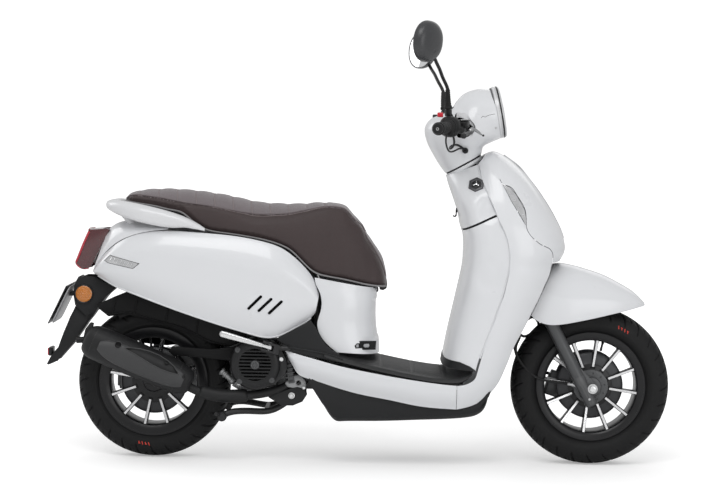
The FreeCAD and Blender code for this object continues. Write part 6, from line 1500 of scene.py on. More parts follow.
# loop bracket that guides the hose
lp = tube("hose_guide", [(484, 0, 392), (490, 3, 406), (514, 8, 432), (526, 8, 436), (536, 6, 430), (543, 4, 414), (538, 0, 404), (512, 0, 382), (497, 0, 379), (485, 0, 388)], 4.0, 12, 90)
done(lp, SATIN, "fork", ())
lb = tube("hose_guide_arm", [(520, 6, 433), (518, 2, 460), (508, 0, 500), (axp(255)[0] - 8, 0, axp(255)[2] - 6)], 4.0, 12, 40)
done(lb, SATIN, "fork", ())

# ================================================================== engine side
CR = np.array([-299.0, 0, 297])
prof = [(47.5, -160.4), (50, -161.2), (58, -161.2), (66, -159.6), (72, -154.5), (75, -147), (75.4, -120), (75, -98.5), (71.6, -98.5), (71.8, -146), (68, -153), (60, -157), (47.5, -157.4)]
fcv = lathe("fan_cover_ring", CR, Y_, prof, 144)
side = plate("s", [(-312, 364), (-288, 372), (-262, 370), (-240, 356), (-220, 337), (-208, 312), (-205, 292), (-211, 268), (-232, 248), (-262, 231), (-290, 224), (-312, 230)], -149.5, -99)
hole = cylo("h", CR + np.array([0, -170, 0]), CR + np.array([0, -80, 0]), 73.5, 96)
boolean(side, [hole])
side.data.name = "sd"
done(side, SATIN, "engine", (), bevel=5.0, seg=4, deg=30)
side.name = "fan_cover_shoulder"
done(fcv, SATIN, "engine", ("fan_cover",), deg=30)
bars = []
for k in range(-4, 5):
    z = 297 + k * 9.9
    hw = math.sqrt(max(0, 49.0 ** 2 - (k * 9.9) ** 2)) + 1.0
    prof2 = [(-3.4, -158.6), (-2.2, -161.8), (2.2, -162.6), (3.4, -159.8), (3.0, -152.5), (-3.0, -151.5)]
    rows = [[(x, y, z + dz) for dz, y in prof2] for x in np.linspace(-299 - hw, -299 + hw, 4)]
    bars.append(solid_loft("b", np.array(rows)))
done(join("fan_grille_bars", bars), SATIN, "engine", (), bevel=0.5)
hubc = lathe("fan_grille_hub", CR, (0, -1, 0), [(0, 152), (14, 152), (14.2, 160.5), (12, 164), (8, 165), (6.5, 163.4), (0, 163.2)], 48, closed=False)
done(hubc, GRAPH, "engine", ())
bolts = []
for ang_, rr_ in ((140, 67), (228, 67), (318, 67)):
    a = math.radians(ang_)
    p = CR + np.array([rr_ * math.cos(a), 0, rr_ * math.sin(a)])
    bolts.append(lathe("b", p, (0, -1, 0), [(0, 150), (8.6, 150), (8.6, 158), (8.0, 160.6), (5.0, 161.0), (4.6, 162.6), (2.6, 162.8), (2.2, 161.6), (0, 161.6)], 24, closed=False))
for p in ((-222, -150, 314),):
    bolts.append(lathe("b", np.array(p, float), (0, -1, 0), [(0, -3), (6.5, -3), (6.6, 2.4), (5.6, 3.4), (3.2, 3.4), (2.8, 2.0), (0, 2.0)], 24, closed=False))
done(join("fan_cover_bolts", bolts[:3]), GRAPH, "engine", ())
done(join("fan_cover_screw", bolts[3:]), ALU, "engine", ())
fanb = []
for k in range(18):
    a = math.radians(20 * k)
    e, t_ = np.array([math.cos(a), 0, math.sin(a)]), np.array([-math.sin(a), 0, math.cos(a)])
    fanb.append(block("f", CR + e * 41 + np.array([0, -122, 0]), e * 0.9 + t_ * 0.43, (0, 1, 0), -e * 0.43 + t_ * 0.9, 15, 11, 0.9))
fanb.append(lathe("f", CR, (0, -1, 0), [(12.2, 106), (57, 106), (57, 109), (34, 111), (20, 124), (12.2, 126)], 64))
done(join("cooling_fan_blades", fanb), SATIN, "crankshaft", ("crankshaft_fan",))
crs = lathe("crankshaft_shaft", CR, Y_, [(0, -126), (12, -126), (12, 110), (0, 110)], 32, closed=False)
done(crs, STEEL, "crankshaft", ())
# ribs of the cylinder cowl seen in front of the fan cover, and the case under it
ribs_ = []
for k in range(9):
    z = 246 + 12.5 * k
    ribs_.append(block("r", (-196 - 0.5 * abs(k - 4), -96 + abs(k - 4) * 2.0, z), (0.98, 0, 0.17), Y_, (-0.17, 0, 0.98), 17 - abs(k - 4) * 1.6, 30, 2.2))
ribs_.append(block("r", (-202, -94, 298), (0.98, 0, 0.17), Y_, (-0.17, 0, 0.98), 9, 24, 60))
done(join("cylinder_fins", ribs_), GRAPH, "engine", (), bevel=1.0)
sump = plate("sump_case", [(-352, 250), (-330, 236), (-262, 226), (-222, 228), (-196, 216), (-176, 192), (-190, 178), (-212, 184), (-240, 200), (-300, 206), (-348, 212), (-372, 226)], -92, -62)
done(sump, CAST, "engine", (), bevel=4, seg=3)
sb = [lathe("b", np.array(p, float), (0, -1, 0), [(0, -4), (7.5, -4), (7.6, 4), (6.4, 5.4), (0, 5.4)], 6, closed=False) for p in ((-348, -92, 232), (-206, -92, 206), (-262, -92, 216))]
done(join("sump_bolts", sb), ALU, "engine", (), bevel=0.5)
# cast bracket ahead of the case with its bolt, and a short finned stub behind the fan cover
brk = plate("stand_bracket", [(-214, 238), (-196, 262), (-166, 266), (-148, 244), (-148, 212), (-168, 204), (-182, 222), (-204, 226)], -110, -98)
boolean(brk, [cylo("x", (-172, -120, 240), (-172, -90, 240), 6.0, 24)])
done(brk, CAST, "engine", (), bevel=3.5, seg=3)
brk2 = plate("stand_bracket_foot", [(-262, 196), (-238, 182), (-222, 172), (-188, 172), (-160, 184), (-146, 206), (-150, 222), (-176, 228), (-204, 220), (-232, 210)], -113, -99)
done(brk2, SATIN, "engine", (), bevel=3.0, seg=3)
bb = [lathe("b", (-192, -113, 202), (0, -1, 0), [(0, -3), (9.4, -3), (9.8, 0), (9.4, 1.6), (7.0, 1.8), (6.6, 5.4), (5.6, 6.2), (3.4, 6.2), (3.0, 4.6), (0, 4.6)], 32, closed=False)]
bb.append(lathe("b", (-156, -110, 226), (0, -1, 0), [(0, -3), (5.6, -3), (5.8, 2.6), (4.8, 3.6), (0, 3.6)], 6, closed=False))
done(join("stand_bracket_bolts", bb), ALU, "engine", (), bevel=0.4)
stb = lathe("case_breather", (-402, -104, 272), (0.74, 0, -0.67), [(0, 0), (10, 0), (11.6, 2), (11.6, 7), (8.8, 8.4), (8.8, 13), (11.2, 14.4), (11.2, 19), (8.8, 20.4), (8.8, 38), (12.4, 40), (12.4, 48), (10.4, 50), (0, 50)], 36, closed=False)
done(stb, CAST, "engine", (), deg=32)
# inner mudguard hiding the top of the wheel behind the muffler
img = plate("inner_mudguard", [(-672, 506), (-724, 484), (-777, 459), (-770, 446), (-742, 424), (-690, 432), (-640, 420), (-560, 400), (-500, 380), (-440, 350), (-380, 340), (-330, 360), (-330, 400), (-418, 425), (-513, 457), (-594, 483), (-661, 505)], -74, -66)
done(img, BLACK2, "engine", (), bevel=2.4, seg=3)
imr = []
for x0, z0, x1, z1 in ((-716, 484, -730, 430), (-650, 494, -664, 432), (-560, 462, -570, 408), (-470, 436, -478, 376)):
    imr.append(tube("r", [(x0, -73.6, z0), ((x0 + x1) / 2 - 2, -75.0, (z0 + z1) / 2), (x1, -73.6, z1)], 2.6, 10, 16))
imr.append(tube("r", [(-764, -73, 446), (-741, -74.4, 431), (-690, -74.4, 438), (-640, -74.4, 426), (-560, -74.4, 406), (-500, -74.4, 386), (-440, -74.4, 357), (-384, -73.4, 346)], 2.6, 10, 80))
done(join("inner_mudguard_ribs", imr), BLACK2, "engine", ())
spg = plate("splash_guard_left", [(-706, 352), (-694, 392), (-640, 412), (-560, 406), (-505, 384), (-492, 352), (-520, 334), (-580, 326), (-650, 332)], 60, 65)
done(spg, BLACK2, "engine", (), bevel=1.6, seg=2)
# arm that carries the muffler
arm = plate("muffler_arm", [(-352, 340), (-330, 352), (-368, 342), (-430, 334), (-500, 338), (-548, 340), (-560, 326), (-545, 312), (-500, 312), (-430, 306), (-372, 300), (-340, 300)], -98, -88)
done(arm, BLACK2, "engine", (), bevel=2.0, seg=2)

# ================================================================== exhaust
MA_, MB_ = np.array([-486.0, -140, 236]), np.array([-800.0, -140, 366])
MD = (MB_ - MA_) / np.linalg.norm(MB_ - MA_)
MU = np.array([-MD[2], 0, MD[0]])
MU = MU if MU[2] > 0 else -MU
MS = [(0, 20, 20), (6, 33, 32), (20, 43, 40), (45, 48, 46), (120, 51.5, 50.5), (220, 51.5, 51.5), (290, 51, 50.5), (318, 48, 47.5), (332, 40, 40), (339, 30, 31), (341, 14, 15)]
T = table(MS, 90)
R = []
for s, a_, b_ in T:
    row = []
    for k in range(88):
        t = 2 * math.pi * k / 88
        c, q = math.cos(t), math.sin(t)
        c, q = np.sign(c) * abs(c) ** 0.82, np.sign(q) * abs(q) ** 0.82
        row.append(MA_ + MD * s + np.array([0, 1.0, 0]) * c * a_ + MU * q * b_)
    R.append(row)
mf = solid_loft("muffler_can", np.array(R))
done(mf, MUFF, "engine", ("exhaust",), deg=35)
for s_, nm in ((45, "a"), (312, "b")):
    a_, b_ = np.interp(s_, [q[0] for q in MS], [q[1] for q in MS]), np.interp(s_, [q[0] for q in MS], [q[2] for q in MS])
    R = []
    for s, e in ((s_ - 2.2, -1), (s_ - 1.6, 1.3), (s_ + 1.6, 1.3), (s_ + 2.2, -1)):
        row = []
        for k in range(88):
            t = 2 * math.pi * k / 88
            c, q = math.cos(t), math.sin(t)
            c, q = np.sign(c) * abs(c) ** 0.82, np.sign(q) * abs(q) ** 0.82
            row.append(MA_ + MD * s + np.array([0, 1.0, 0]) * c * (a_ + e) + MU * q * (b_ + e))
        R.append(row)
    done(solid_loft("muffler_bead_" + nm, np.array(R)), MUFF, "engine", ())
tpp = MA_ + MD * 334 + np.array([0, 8.0, -4])
tp_ = lathe("tail_pipe", tpp, (-1, 0, -0.03), [(9.0, -4), (9.4, 22), (9.9, 30), (9.9, 32.5), (8.4, 33), (7.6, 30), (7.4, -4)], 40)
done(tp_, MUFF, "engine", ())
hd = tube("exhaust_header", [(-178, -50, 262), (-180, -68, 250), (-196, -86, 234), (-236, -104, 217), (-300, -118, 204), (-390, -128, 201), (-462, -134, 212), (-505, -138, 232)], 13.0, 32, 120)
done(hd, MUFF, "engine", ())
hd2 = tube("header_sleeve", [(-322, -121, 202), (-328, -121.6, 201.6), (-340, -123, 201), (-392, -128.3, 200), (-448, -133, 210), (-458, -134, 212.5), (-463, -134.4, 214)], [13.5, 18, 19.4, 19.4, 19.4, 18, 13.5], 32, 60)
done(hd2, MUFF, "engine", ())
# heat shield with its slot, hole and rolled edge
HS = [(24, 16, 20, 42), (34, 22, 27, 45), (60, 28.5, 33, 49.5), (120, 32, 36, 52), (200, 32, 35, 52), (250, 28, 31.5, 51.5), (276, 21, 26, 50.8), (292, 12, 17, 49)]
T = table(HS, 110)
G = []
for s, h0, h1, wm in T:
    row = []
    for k in range(49):
        a = math.radians(-60 + 120 * k / 48.0)
        sn = math.copysign(abs(math.sin(a)) ** 0.85, a) / 0.885
        ed = max(0, abs(sn) - 0.86) / 0.14
        row.append(MA_ + MD * s + np.array([0, -1.0, 0]) * ((wm + 8.5) * (1 - 0.15 * sn * sn) - 5.0 * ed ** 1.6) + MU * ((h0 if a < 0 else h1) * sn))
    G.append(row)
G = np.array(G)
N = gnormals(G)
if N[50, 24, 1] > 0:
    N = -N
slot_ = [(-678, 344.5), (-660, 344.5), (-632, 341.5), (-604, 335), (-576, 323.5), (-550, 307), (-532, 290), (-519, 271), (-523, 269.5), (-548, 276), (-572, 285), (-596, 297), (-620, 311), (-648, 327), (-674, 341)]
HOLE_ = (-697, 352, 9.8)


def inside_poly(x, z, poly):
    c = False
    for (x0, z0), (x1, z1) in zip(poly, poly[1:] + poly[:1]):
        if (z0 > z) != (z1 > z) and x < (x1 - x0) * (z - z0) / (z1 - z0) + x0:
            c = not c
    return c


def shell_cells(name, G, N, t, drop):
    """Shell from a fine grid with the cells inside an outline left out, walled all round."""
    nu, nv = G.shape[:2]
    P = G.reshape(-1, 3)
    I = (G - N * t).reshape(-1, 3)
    n = nu * nv
    F, E = [], {}
    for i in range(nu - 1):
        for j in range(nv - 1):
            c = (G[i, j] + G[i + 1, j + 1]) / 2
            if drop(c[0], c[2]):
                continue
            f = (i * nv + j, (i + 1) * nv + j, (i + 1) * nv + j + 1, i * nv + j + 1)
            F.append(f)
            for a, b in zip(f, f[1:] + f[:1]):
                E.setdefault((min(a, b), max(a, b)), []).append((a, b))
    rim = [(e[0][1], e[0][0], e[0][0] + n, e[0][1] + n) for e in E.values() if len(e) == 1]
    o = raw(name, np.vstack([P, I]), F + [tuple(n + k for k in reversed(f)) for f in F] + rim)
    bm = bmesh.new()
    bm.from_mesh(o.data)
    bmesh.ops.delete(bm, geom=[v for v in bm.verts if not v.link_faces], context="VERTS")
    bm.to_mesh(o.data)
    bm.free()
    outward(o)
    return o


G = refine(G[::4, ::4], 300, 150) if False else np.stack([spl(np.stack([spl(G[:, j], 300) for j in range(G.shape[1])], 1)[i], 150) for i in range(300)], 0)
N = gnormals(G)
if N[150, 75, 1] > 0:
    N = -N
hsd = shell_cells("heat_shield", G, N, 2.2, lambda x, z: inside_poly(x, z, slot_) or math.hypot(x - HOLE_[0], z - HOLE_[1]) < HOLE_[2])
done(hsd, SHLD, "engine", (), deg=35)
# framed slot edge standing a little proud
sp2 = np.vstack([np.linspace(slot_[k], slot_[(k + 1) % len(slot_)], 8, endpoint=False) for k in range(len(slot_))])
pth = []
Gf, Nf = G.reshape(-1, 3), N.reshape(-1, 3)
for x, z in np.vstack([sp2, sp2[:1]]):
    dd = (Gf[:, 0] - x) ** 2 + (Gf[:, 2] - z) ** 2
    i = np.argsort(dd)[:4]
    w = 1 / (dd[i] + 0.5)
    yv = (Gf[i, 1] * w).sum() / w.sum()
    pth.append((x, yv - 0.6, z))
done(tube("heat_shield_slot_edge", pth, 1.3, 8, smoothpath=False), SHLD, "engine", ())
pth = []
for q in np.linspace(0, 2 * math.pi, 41):
    x, z = HOLE_[0] + HOLE_[2] * math.cos(q), HOLE_[1] + HOLE_[2] * math.sin(q)
    i = ((Gf[:, 0] - x) ** 2 + (Gf[:, 2] - z) ** 2).argmin()
    pth.append((x, Gf[i, 1] - 0.4, z))
done(tube("heat_shield_hole_edge", pth, 1.2, 8, smoothpath=False), SHLD, "engine", ())
# black liner inside the hole: painted shade seen through it
hpl = lathe("heat_shield_hole_shade_liner", (-697, -187, 352), (0, -1, 0), [(0, 0), (9.4, 0), (9.4, 7), (8.6, 7), (8.6, 1), (0, 1)], 32, closed=False)
done(hpl, BLACK_AND_PAINTED_SHADE, "engine", ())
hb_ = []
for x, z in ((-556, 303), (-505, 262)):
    dd = (Gf[:, 0] - x) ** 2 + (Gf[:, 2] - z) ** 2
    i = dd.argmin()
    hb_.append(lathe("b", Gf[i] + np.array([0, 0.5, 0]), Nf[i], [(0, -3), (6.0, -3), (6.2, 1.2), (5.2, 2.2), (3.0, 2.2), (2.6, 1.0), (0, 1.0)], 20, closed=False))
done(join("heat_shield_bolts", hb_), MUFF, "engine", ())
# clamp at the back of the muffler
cl_ = plate("muffler_clamp", [(-800, 350), (-806, 366), (-800, 392), (-786, 412), (-776, 410), (-780, 392), (-790, 366)], -150, -128)
done(cl_, MUFF, "engine", (), bevel=1.5)

# centre stand
SPV = np.array([-189.0, 0, 190])
stp = []
for s in (-1, 1):
    ye = -118 if s < 0 else 112
    yf = -128 if s < 0 else 120
    stp.append(tube("t", [(-189, s * 46.5, 190), (-205, s * 50, 178), (-250, s * 62, 152), (-300, s * 84, 150), (-352, ye * 0.95, 153), (-380, ye * 1.03, 148), (-396, yf, 140)], 9.6, 24, 70))
    stp.append(cylo("t", (-396, yf - 22 * 1, 140), (-396, yf + 20, 140), 11.6, 32))
stp.append(cylo("t", (-268, -70, 150), (-268, 66, 150), 8, 24))
stp.append(lathe("t", SPV, Y_, [(6.2, -56), (12.6, -56), (12.8, -36), (6.2, -36)], 32))
stp.append(lathe("t", SPV, Y_, [(6.2, 36), (12.8, 36), (12.6, 56), (6.2, 56)], 32))
stp.append(tube("t", [(-388, -118, 142), (-400, -140, 146), (-412, -158, 150)], 6.4, 16, 16))
cst = join("centre_stand_legs", stp)
done(cst, FRAMEP, "centre_stand", ("centre_stand",))
for yf in (-128, 120):
    pd = lathe("stand_pad_%s" % ("r" if yf < 0 else "l"), (-396, yf, 140), Y_, [(11.5, -16), (14.0, -15), (14.6, -13), (14.6, 11), (14.0, 13), (11.5, 14)], 32)
    done(pd, GRIP, "centre_stand", ())

# rear hugger
rows = []
aa = np.linspace(math.radians(52), math.radians(118), 90)
PR = [(-72, -44), (-71.5, -34), (-69, -18), (-62, -7), (-50, -1), (-30, 3.6), (0, 5), (30, 3.6), (50, -1), (62, -7), (69, -18), (71.5, -34), (72, -44)]
pr = spl(PR, 64)
G = np.array([[(XR + (257 + dr) * math.cos(a), y, RR + (257 + dr) * math.sin(a)) for y, dr in pr] for a in aa])
N = gnormals(G)
if N[45, 32, 2] < 0:
    N = -N
hg = shell("rear_hugger_shell", G, 3.0, N=N)
boolean(hg, [plate("c", [(-430, 380), (-430, 462), (-470, 442), (-520, 404)], -100, 100), plate("c", [(-800, 470), (-778, 452), (-750, 432), (-738, 420), (-800, 400)], -100, 100)])
done(hg, BLACK2, "engine", ("rear_hugger",), bevel=0.8, deg=38)
rb_ = []
for s in (-1, 1):
    for q in (0.25, 0.5, 0.75):
        i = int(q * 89)
        rb_.append(tube("r", [G[i, j] + N[i, j] * 0.3 for j in (range(4, 24, 2) if s < 0 else range(40, 60, 2))], 1.6, 8, 24))
done(join("hugger_ribs", rb_), BLACK2, "engine", ())

# folded footrests: bright grooved bars
for s, nm in ((-1, "right"), (1, "left")):
    p = np.array([-256.0, 184.0 * s, 352.0])
    ex = np.array([math.cos(math.radians(15)), 0, -math.sin(math.radians(15))])
    ez = np.array([math.sin(math.radians(15)), 0, math.cos(math.radians(15))])
    R = []
    for t, hy, hz in ((-152, 3, 3), (-150.5, 6, 5.6), (-146, 9.2, 9.0), (-120, 9.4, 9.2), (-60, 9.0, 7.2), (-36, 8.4, 6.0), (-27, 7.4, 5.6), (6, 7.4, 6.6), (8.4, 5, 5)):
        row = []
        for k in range(40):
            a = 2 * math.pi * k / 40
            c, q = math.cos(a), math.sin(a)
            row.append(p + ex * t + np.array([0, 1.0, 0]) * (np.sign(c) * abs(c) ** 0.5 * hy) + ez * (np.sign(q) * abs(q) ** 0.5 * hz))
        R.append(row)
    fr = solid_loft("footrest_bar_" + nm, np.array(R))
    ct = [block("c", p + ex * (-140 + 9 * k) + np.array([0, 10.6 * s, 0]) - ez * 6, ex, Y_, ez, 1.4, 2.4, 6.6) for k in range(10)]
    boolean(fr, [join("x", ct)])
    done(fr, ALU, "footrest_" + nm, ("footrest_" + nm,), deg=38, bevel=0.5, blim=50)
    pin = cylo("footrest_pin_" + nm, p - ez * 14.5, p + ez * 14.5, 4.6, 20)
    done(pin, STEEL, "frame", ())

# ================================================================== side panels
SP = [
    ((-789, 563), (-778, 548), 94), ((-766, 596), (-752, 536), 118), ((-732, 630), (-715, 518), 138), ((-685, 661), (-672, 503), 154), ((-628, 679), (-620, 485), 166), ((-558, 686), (-556, 463), 176),
    ((-463, 682), (-470, 435), 184), ((-362, 674), (-385, 409), 188), ((-275, 658), (-310, 388), 187), ((-228, 642), (-262, 379), 185), ((-192, 618), (-222, 387), 181), ((-157, 585), (-186, 406), 177),
    ((-130, 549), (-150, 427), 173), ((-114, 505), (-124, 452), 169),
]
rows = []
for (tx, tz), (bx, bz), w in SP:
    row = []
    for k in range(15):
        t = k / 14.0
        ins_ = 30 * max(0, 1 - t / 0.32) ** 2 + 20 * max(0, (t - 0.55) / 0.45) ** 2
        row.append((tx + (bx - tx) * t, -(w - ins_), tz + (bz - tz) * t))
    rows.append(row)
G = refine(rows, 200, 72)
N = gnormals(G)
if N[100, 36, 1] > 0:
    N = -N
GP, NP = G.copy(), N.copy()
# the soft crease along the middle of the panel, falling towards the tail, is not drawn
uu = np.linspace(0, 1, G.shape[1])[None, :]
spn = shell("side_panel_right", G, 3.2, N=N)
SLOTS_ = [((-318, 465), (-283, 500)), ((-288, 459), (-253, 493)), ((-258, 452), (-223, 486))]


def obround(a, b, r, y0, y1):
    a, b = np.array(a, float), np.array(b, float)
    t = (b - a) / np.linalg.norm(b - a)
    n_ = np.array([-t[1], t[0]])
    pts = [b + n_ * r * math.cos(q) + t * r * math.sin(q) for q in np.linspace(0, math.pi, 9)] + [a - n_ * r * math.cos(q) - t * r * math.sin(q) for q in np.linspace(0, math.pi, 9)]
    return plate("c", pts, y0, y1)


RIL = [(-749, 594), (-731, 611.5), (-640, 589.5), (-660, 573), (-737, 587)]
cuts = [obround(a, b, 4.6, -260, -120) for a, b in SLOTS_] + [plate("c", RIL, -260, -60)]
boolean(spn, cuts)
spl_l = flip(spn, "side_panel_left")
done(spn, WHITE, "frame", ("side_panels",), bevel=1.0, deg=40, blim=55)
done(spl_l, WHITE, "frame", (), bevel=1.0, deg=40, blim=55)
# rolled lower edge
for s, nm in ((-1, "right"), (1, "left")):
    fl_ = np.array([1, -s, 1.0])
    done(tube("panel_lower_edge_" + nm, G[3:-3:5, -1] * fl_, 2.6, 10, 120), WHITE, "frame", ())
    # black backing seen through the slots and the seam to the seat: painted shade behind them
    Gb = G[90:190, 8:-6] - N[90:190, 8:-6] * 16
    bk_ = shell("panel_shade_backing_" + nm, Gb[::3, ::3] * fl_, 1.5)
    done(bk_, BLACK_AND_PAINTED_SHADE, "frame", ())
    inner = []
    for a, b in SLOTS_:
        (x0, z0), (x1, z1) = a, b
        a_, b_ = np.array([x0, z0], float), np.array([x1, z1], float)
        t_ = (b_ - a_) / np.linalg.norm(b_ - a_)
        rim_pts = [b_ + np.array([-t_[1], t_[0]]) * 5.2 * math.cos(q) + t_ * 5.2 * math.sin(q) for q in np.linspace(0, math.pi, 9)] + [a_ - np.array([-t_[1], t_[0]]) * 5.2 * math.cos(q) - t_ * 5.2 * math.sin(q) for q in np.linspace(0, math.pi, 9)]
        rim_pts.append(rim_pts[0])
        pp = []
        for x, z in rim_pts:
            dd = (G[..., 0] - x) ** 2 + (G[..., 2] - z) ** 2
            i, j = np.unravel_index(dd.argmin(), dd.shape)
            pp.append((x, (G[i, j, 1] - 0.1) * -s, z))
        inner.append(tube("t", pp, 1.1, 8, smoothpath=False))
    done(join("slot_rims_" + nm, inner), WHITE, "frame", ())
# rear indicator lens
ln = shell("l", G - N * 0.6, 2.6, N=N)
boolean(ln, [plate("c", [(-746.6, 594.2), (-730.6, 609.6), (-643.8, 588.8), (-660.6, 574.8), (-736.6, 588.6)], -260, -60)], "INTERSECT")
lr = flip(ln, "rear_indicator_left")
ln.name = "rear_indicator_right"
done(ln, LENS, "frame", ())
done(lr, LENS, "frame", ())
for s, nm in ((-1, "right"), (1, "left")):
    br_ = []
    for k in range(7):
        f = 0.1 + 0.125 * k
        x0, z0 = -742 + (-655 + 742) * f, 592 + (577 - 592) * f
        x1, z1 = -733 + (-648 + 733) * f, 607 + (589 - 607) * f
        pp = []
        for q in np.linspace(0.05, 0.95, 5):
            x, z = x0 * (1 - q) + x1 * q, z0 * (1 - q) + z1 * q
            dd = (G[..., 0] - x) ** 2 + (G[..., 2] - z) ** 2
            i, j = np.unravel_index(dd.argmin(), dd.shape)
            pp.append((x, (G[i, j, 1] - 0.2) * -s, z))
        br_.append(tube("b", pp, 0.9, 6, 10))
    done(join("rear_indicator_rib_" + nm, br_), CHROME, "frame", ())

# ------------------------------------------------------------------ tail cover
TC = [((-560, 700), (-560, 690), 142), ((-610, 706), (-620, 682), 136), ((-660, 711), (-680, 665), 125), ((-700, 708), (-728, 637), 109), ((-728, 699), (-763, 601), 92), ((-745, 687), (-785, 570), 79)]
G = ribs([(C, S, w, 2.6) for C, S, w in TC], 90, 50)
N = gnormals(G)
if N[45, 49, 2] < 0:
    N = -N
tc = shell("tail_cover", G, 3.0, N=N)
done(tc, WHITE, "frame", (), deg=40, bevel=0.8, blim=60)
# tail lamp: dark red wedge with bright red edges
TLM = [(-806, 683), (-757, 686), (-738, 684), (-799, 566), (-822, 561), (-846, 580)]
tl = plate("tail_lamp_lens", [(-805, 681), (-752, 685), (-742, 683), (-800, 568), (-824, 563), (-845, 581)], -60, 60)
V_ = tl.data.vertices
for v in V_:
    # taper towards the bottom and round the face
    f = (v.co.z / K - 562) / 124.0
    v.co.y *= 0.80 + 0.20 * f
boolean(tl, [plate("c", [(-760, 700), (-730, 700), (-790, 560), (-812, 560)], -47, 47)])
done(tl, REDL, "frame", ("tail_lamp",), bevel=6.0, seg=4, deg=30)
eds = []
for s in (-1, 1):
    eds.append(tube("e", [(-803, s * 59.0, 676), (-822, s * 55.0, 634), (-839, s * 50, 592), (-842, s * 46, 580), (-826, s * 44, 566), (-806, s * 44, 567)], 3.6, 12, 60))
eds.append(tube("e", [(-803, -57, 680.5), (-806, -20, 682), (-806, 20, 682), (-803, 57, 680.5)], 3.2, 12, 30))
eds.append(tube("e", [(-842, -46, 580), (-846.5, -20, 581), (-846.5, 20, 581), (-842, 46, 580)], 3.2, 12, 30))
done(join("tail_lamp_edges", eds), REDE, "frame", ())
lb_ = []
for k in range(7):
    f = 0.14 + 0.12 * k
    x, z = -806.6 - 39.0 * f, 681 - 100 * f
    yw = 57 * (1 - 0.2 * f) - 8
    lb_.append(tube("r", [(x + 0.6, -yw, z), (x - 0.6, -yw * 0.5, z), (x - 0.6, yw * 0.5, z), (x + 0.6, yw, z)], 1.4, 8, 24))
done(join("tail_lamp_ribs", lb_), REDE, "frame", ())

# ------------------------------------------------------------------ rear fender and plate carrier
armA = [(-793, 541), (-770, 530), (-745, 518), (-724, 508), (-735, 497), (-749, 485), (-758, 474), (-767, 462), (-776, 449), (-784, 434), (-812, 424), (-843, 452), (-849, 484), (-848, 514), (-840, 532), (-820, 541)]
aA = plate("a", armA, -52, 52)
armB = [(-790, 452), (-785, 434), (-795, 419), (-807, 404), (-821, 383), (-835, 362), (-848, 345), (-861, 329), (-875, 311), (-889, 295), (-907, 280), (-926, 272), (-931, 275), (-918, 300), (-908, 313), (-897, 326), (-888, 352), (-880, 374), (-871, 395), (-862, 418), (-852, 437), (-843, 456)]
aB = plate("a", armB, -34, 34)
boolean(aA, [aB], "UNION")
cutm = [plate("c", [(-770, 548), (-742, 520), (-760, 490), (-782, 455), (-800, 430), (-822, 440), (-834, 470), (-838, 520), (-820, 552)], -47, 47)]
boolean(aA, cutm)
done(aA, BLACKP, "frame", ("rear_fender",), bevel=2.6, seg=3, deg=34)
aA.name = "plate_arm"
skin_ = plate("plate_arm_face", [(-836, 540), (-846, 515), (-850, 484), (-845, 454), (-838, 456), (-842, 484), (-838, 514), (-830, 536)], -51, 51)
done(skin_, BLACKP, "frame", (), bevel=1.5)
ribs2 = [plate("r", [(-800, 428), (-846, 344), (-898, 284), (-922, 277), (-913, 296), (-890, 330), (-868, 400), (-846, 450)], y0, y0 + 3) for y0 in (-37, 34)]
done(join("plate_arm_ribs", ribs2), BLACKP, "frame", (), bevel=1.0)
# plate with rolled rim
PTc, PTn = np.array([-857.0, 0, 508]), None
ta_ = math.radians(25.5)
pd_, pn_ = np.array([-math.sin(ta_), 0, -math.cos(ta_)]), np.array([-math.cos(ta_), 0, math.sin(ta_)])
lo_, hi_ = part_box("plate_bracket")
lo_, hi_ = np.array(lo_) / K, np.array(hi_) / K


def ppt(u, y, h):
    return PTc + pd_ * u + np.array([0, 1.0, 0]) * y + pn_ * h


R = []
for h, g in ((-1.5, 0.985), (-1.2, 1.0), (0.6, 1.0), (1.0, 0.99)):
    row = []
    for k in range(64):
        a = 2 * math.pi * k / 64
        c, q = math.cos(a), math.sin(a)
        c, q = np.sign(c) * abs(c) ** 0.22, np.sign(q) * abs(q) ** 0.22
        row.append(ppt(56 + 61.5 * c * g, 94.5 * q * g, h))
    R.append(row)
pl = solid_loft("number_plate_blank", np.array(R))
done(pl, GREYP, "frame", (), deg=40)
rimp = []
for k in range(65):
    a = 2 * math.pi * k / 64
    c, q = math.cos(a), math.sin(a)
    c, q = np.sign(c) * abs(c) ** 0.25, np.sign(q) * abs(q) ** 0.25
    rimp.append(ppt(56 + 58 * c, 91 * q, 1.2))
done(tube("number_plate_rim", rimp, 1.5, 8, smoothpath=False), GREYP, "frame", ())
frame["nodes"]["plate_bracket"].data.materials.clear()
frame["nodes"]["plate_bracket"].data.materials.append(SATIN)
# round reflectors with a dark ring
for s, nm in ((-1, "right"), (1, "left")):
    rc = np.array([-818.0, 52.0 * s, 489])
    cup = lathe("reflector_cup_" + nm, rc, (0, s, 0), [(0, 0.2), (27.2, 0.2), (28.0, 2), (28.0, 5.4), (26.6, 6.6), (25.4, 5.8), (0, 4.2)], 72, closed=False)
    done(cup, SATIN, "frame", ())
    rf = lathe("reflector_lens_" + nm, rc, (0, s, 0), [(0, 8.0), (10, 7.8), (18, 7.2), (23.5, 6.2), (25.4, 4.8), (25.2, 3.0), (0, 3.0)], 72, closed=False)
    done(rf, AMBER, "frame", ())
    facets = []
    for i in range(-4, 5):
        for j in range(-4, 5):
            x, z = i * 5.4 + (2.7 if j % 2 else 0), j * 4.7
            if math.hypot(x, z) < 21:
                h = 8.0 - 0.0033 * (x * x + z * z)
                p = rc + np.array([x, s * (h - 0.2), z])
                facets.append(solid_loft("f", poly_ring(p, *basis((0, s, 0)), [(2.6, -0.8), (2.4, 0.1), (0.6, 0.9)], 6)))
    done(join("reflector_facets_" + nm, facets), AMBER, "frame", (), deg=12)
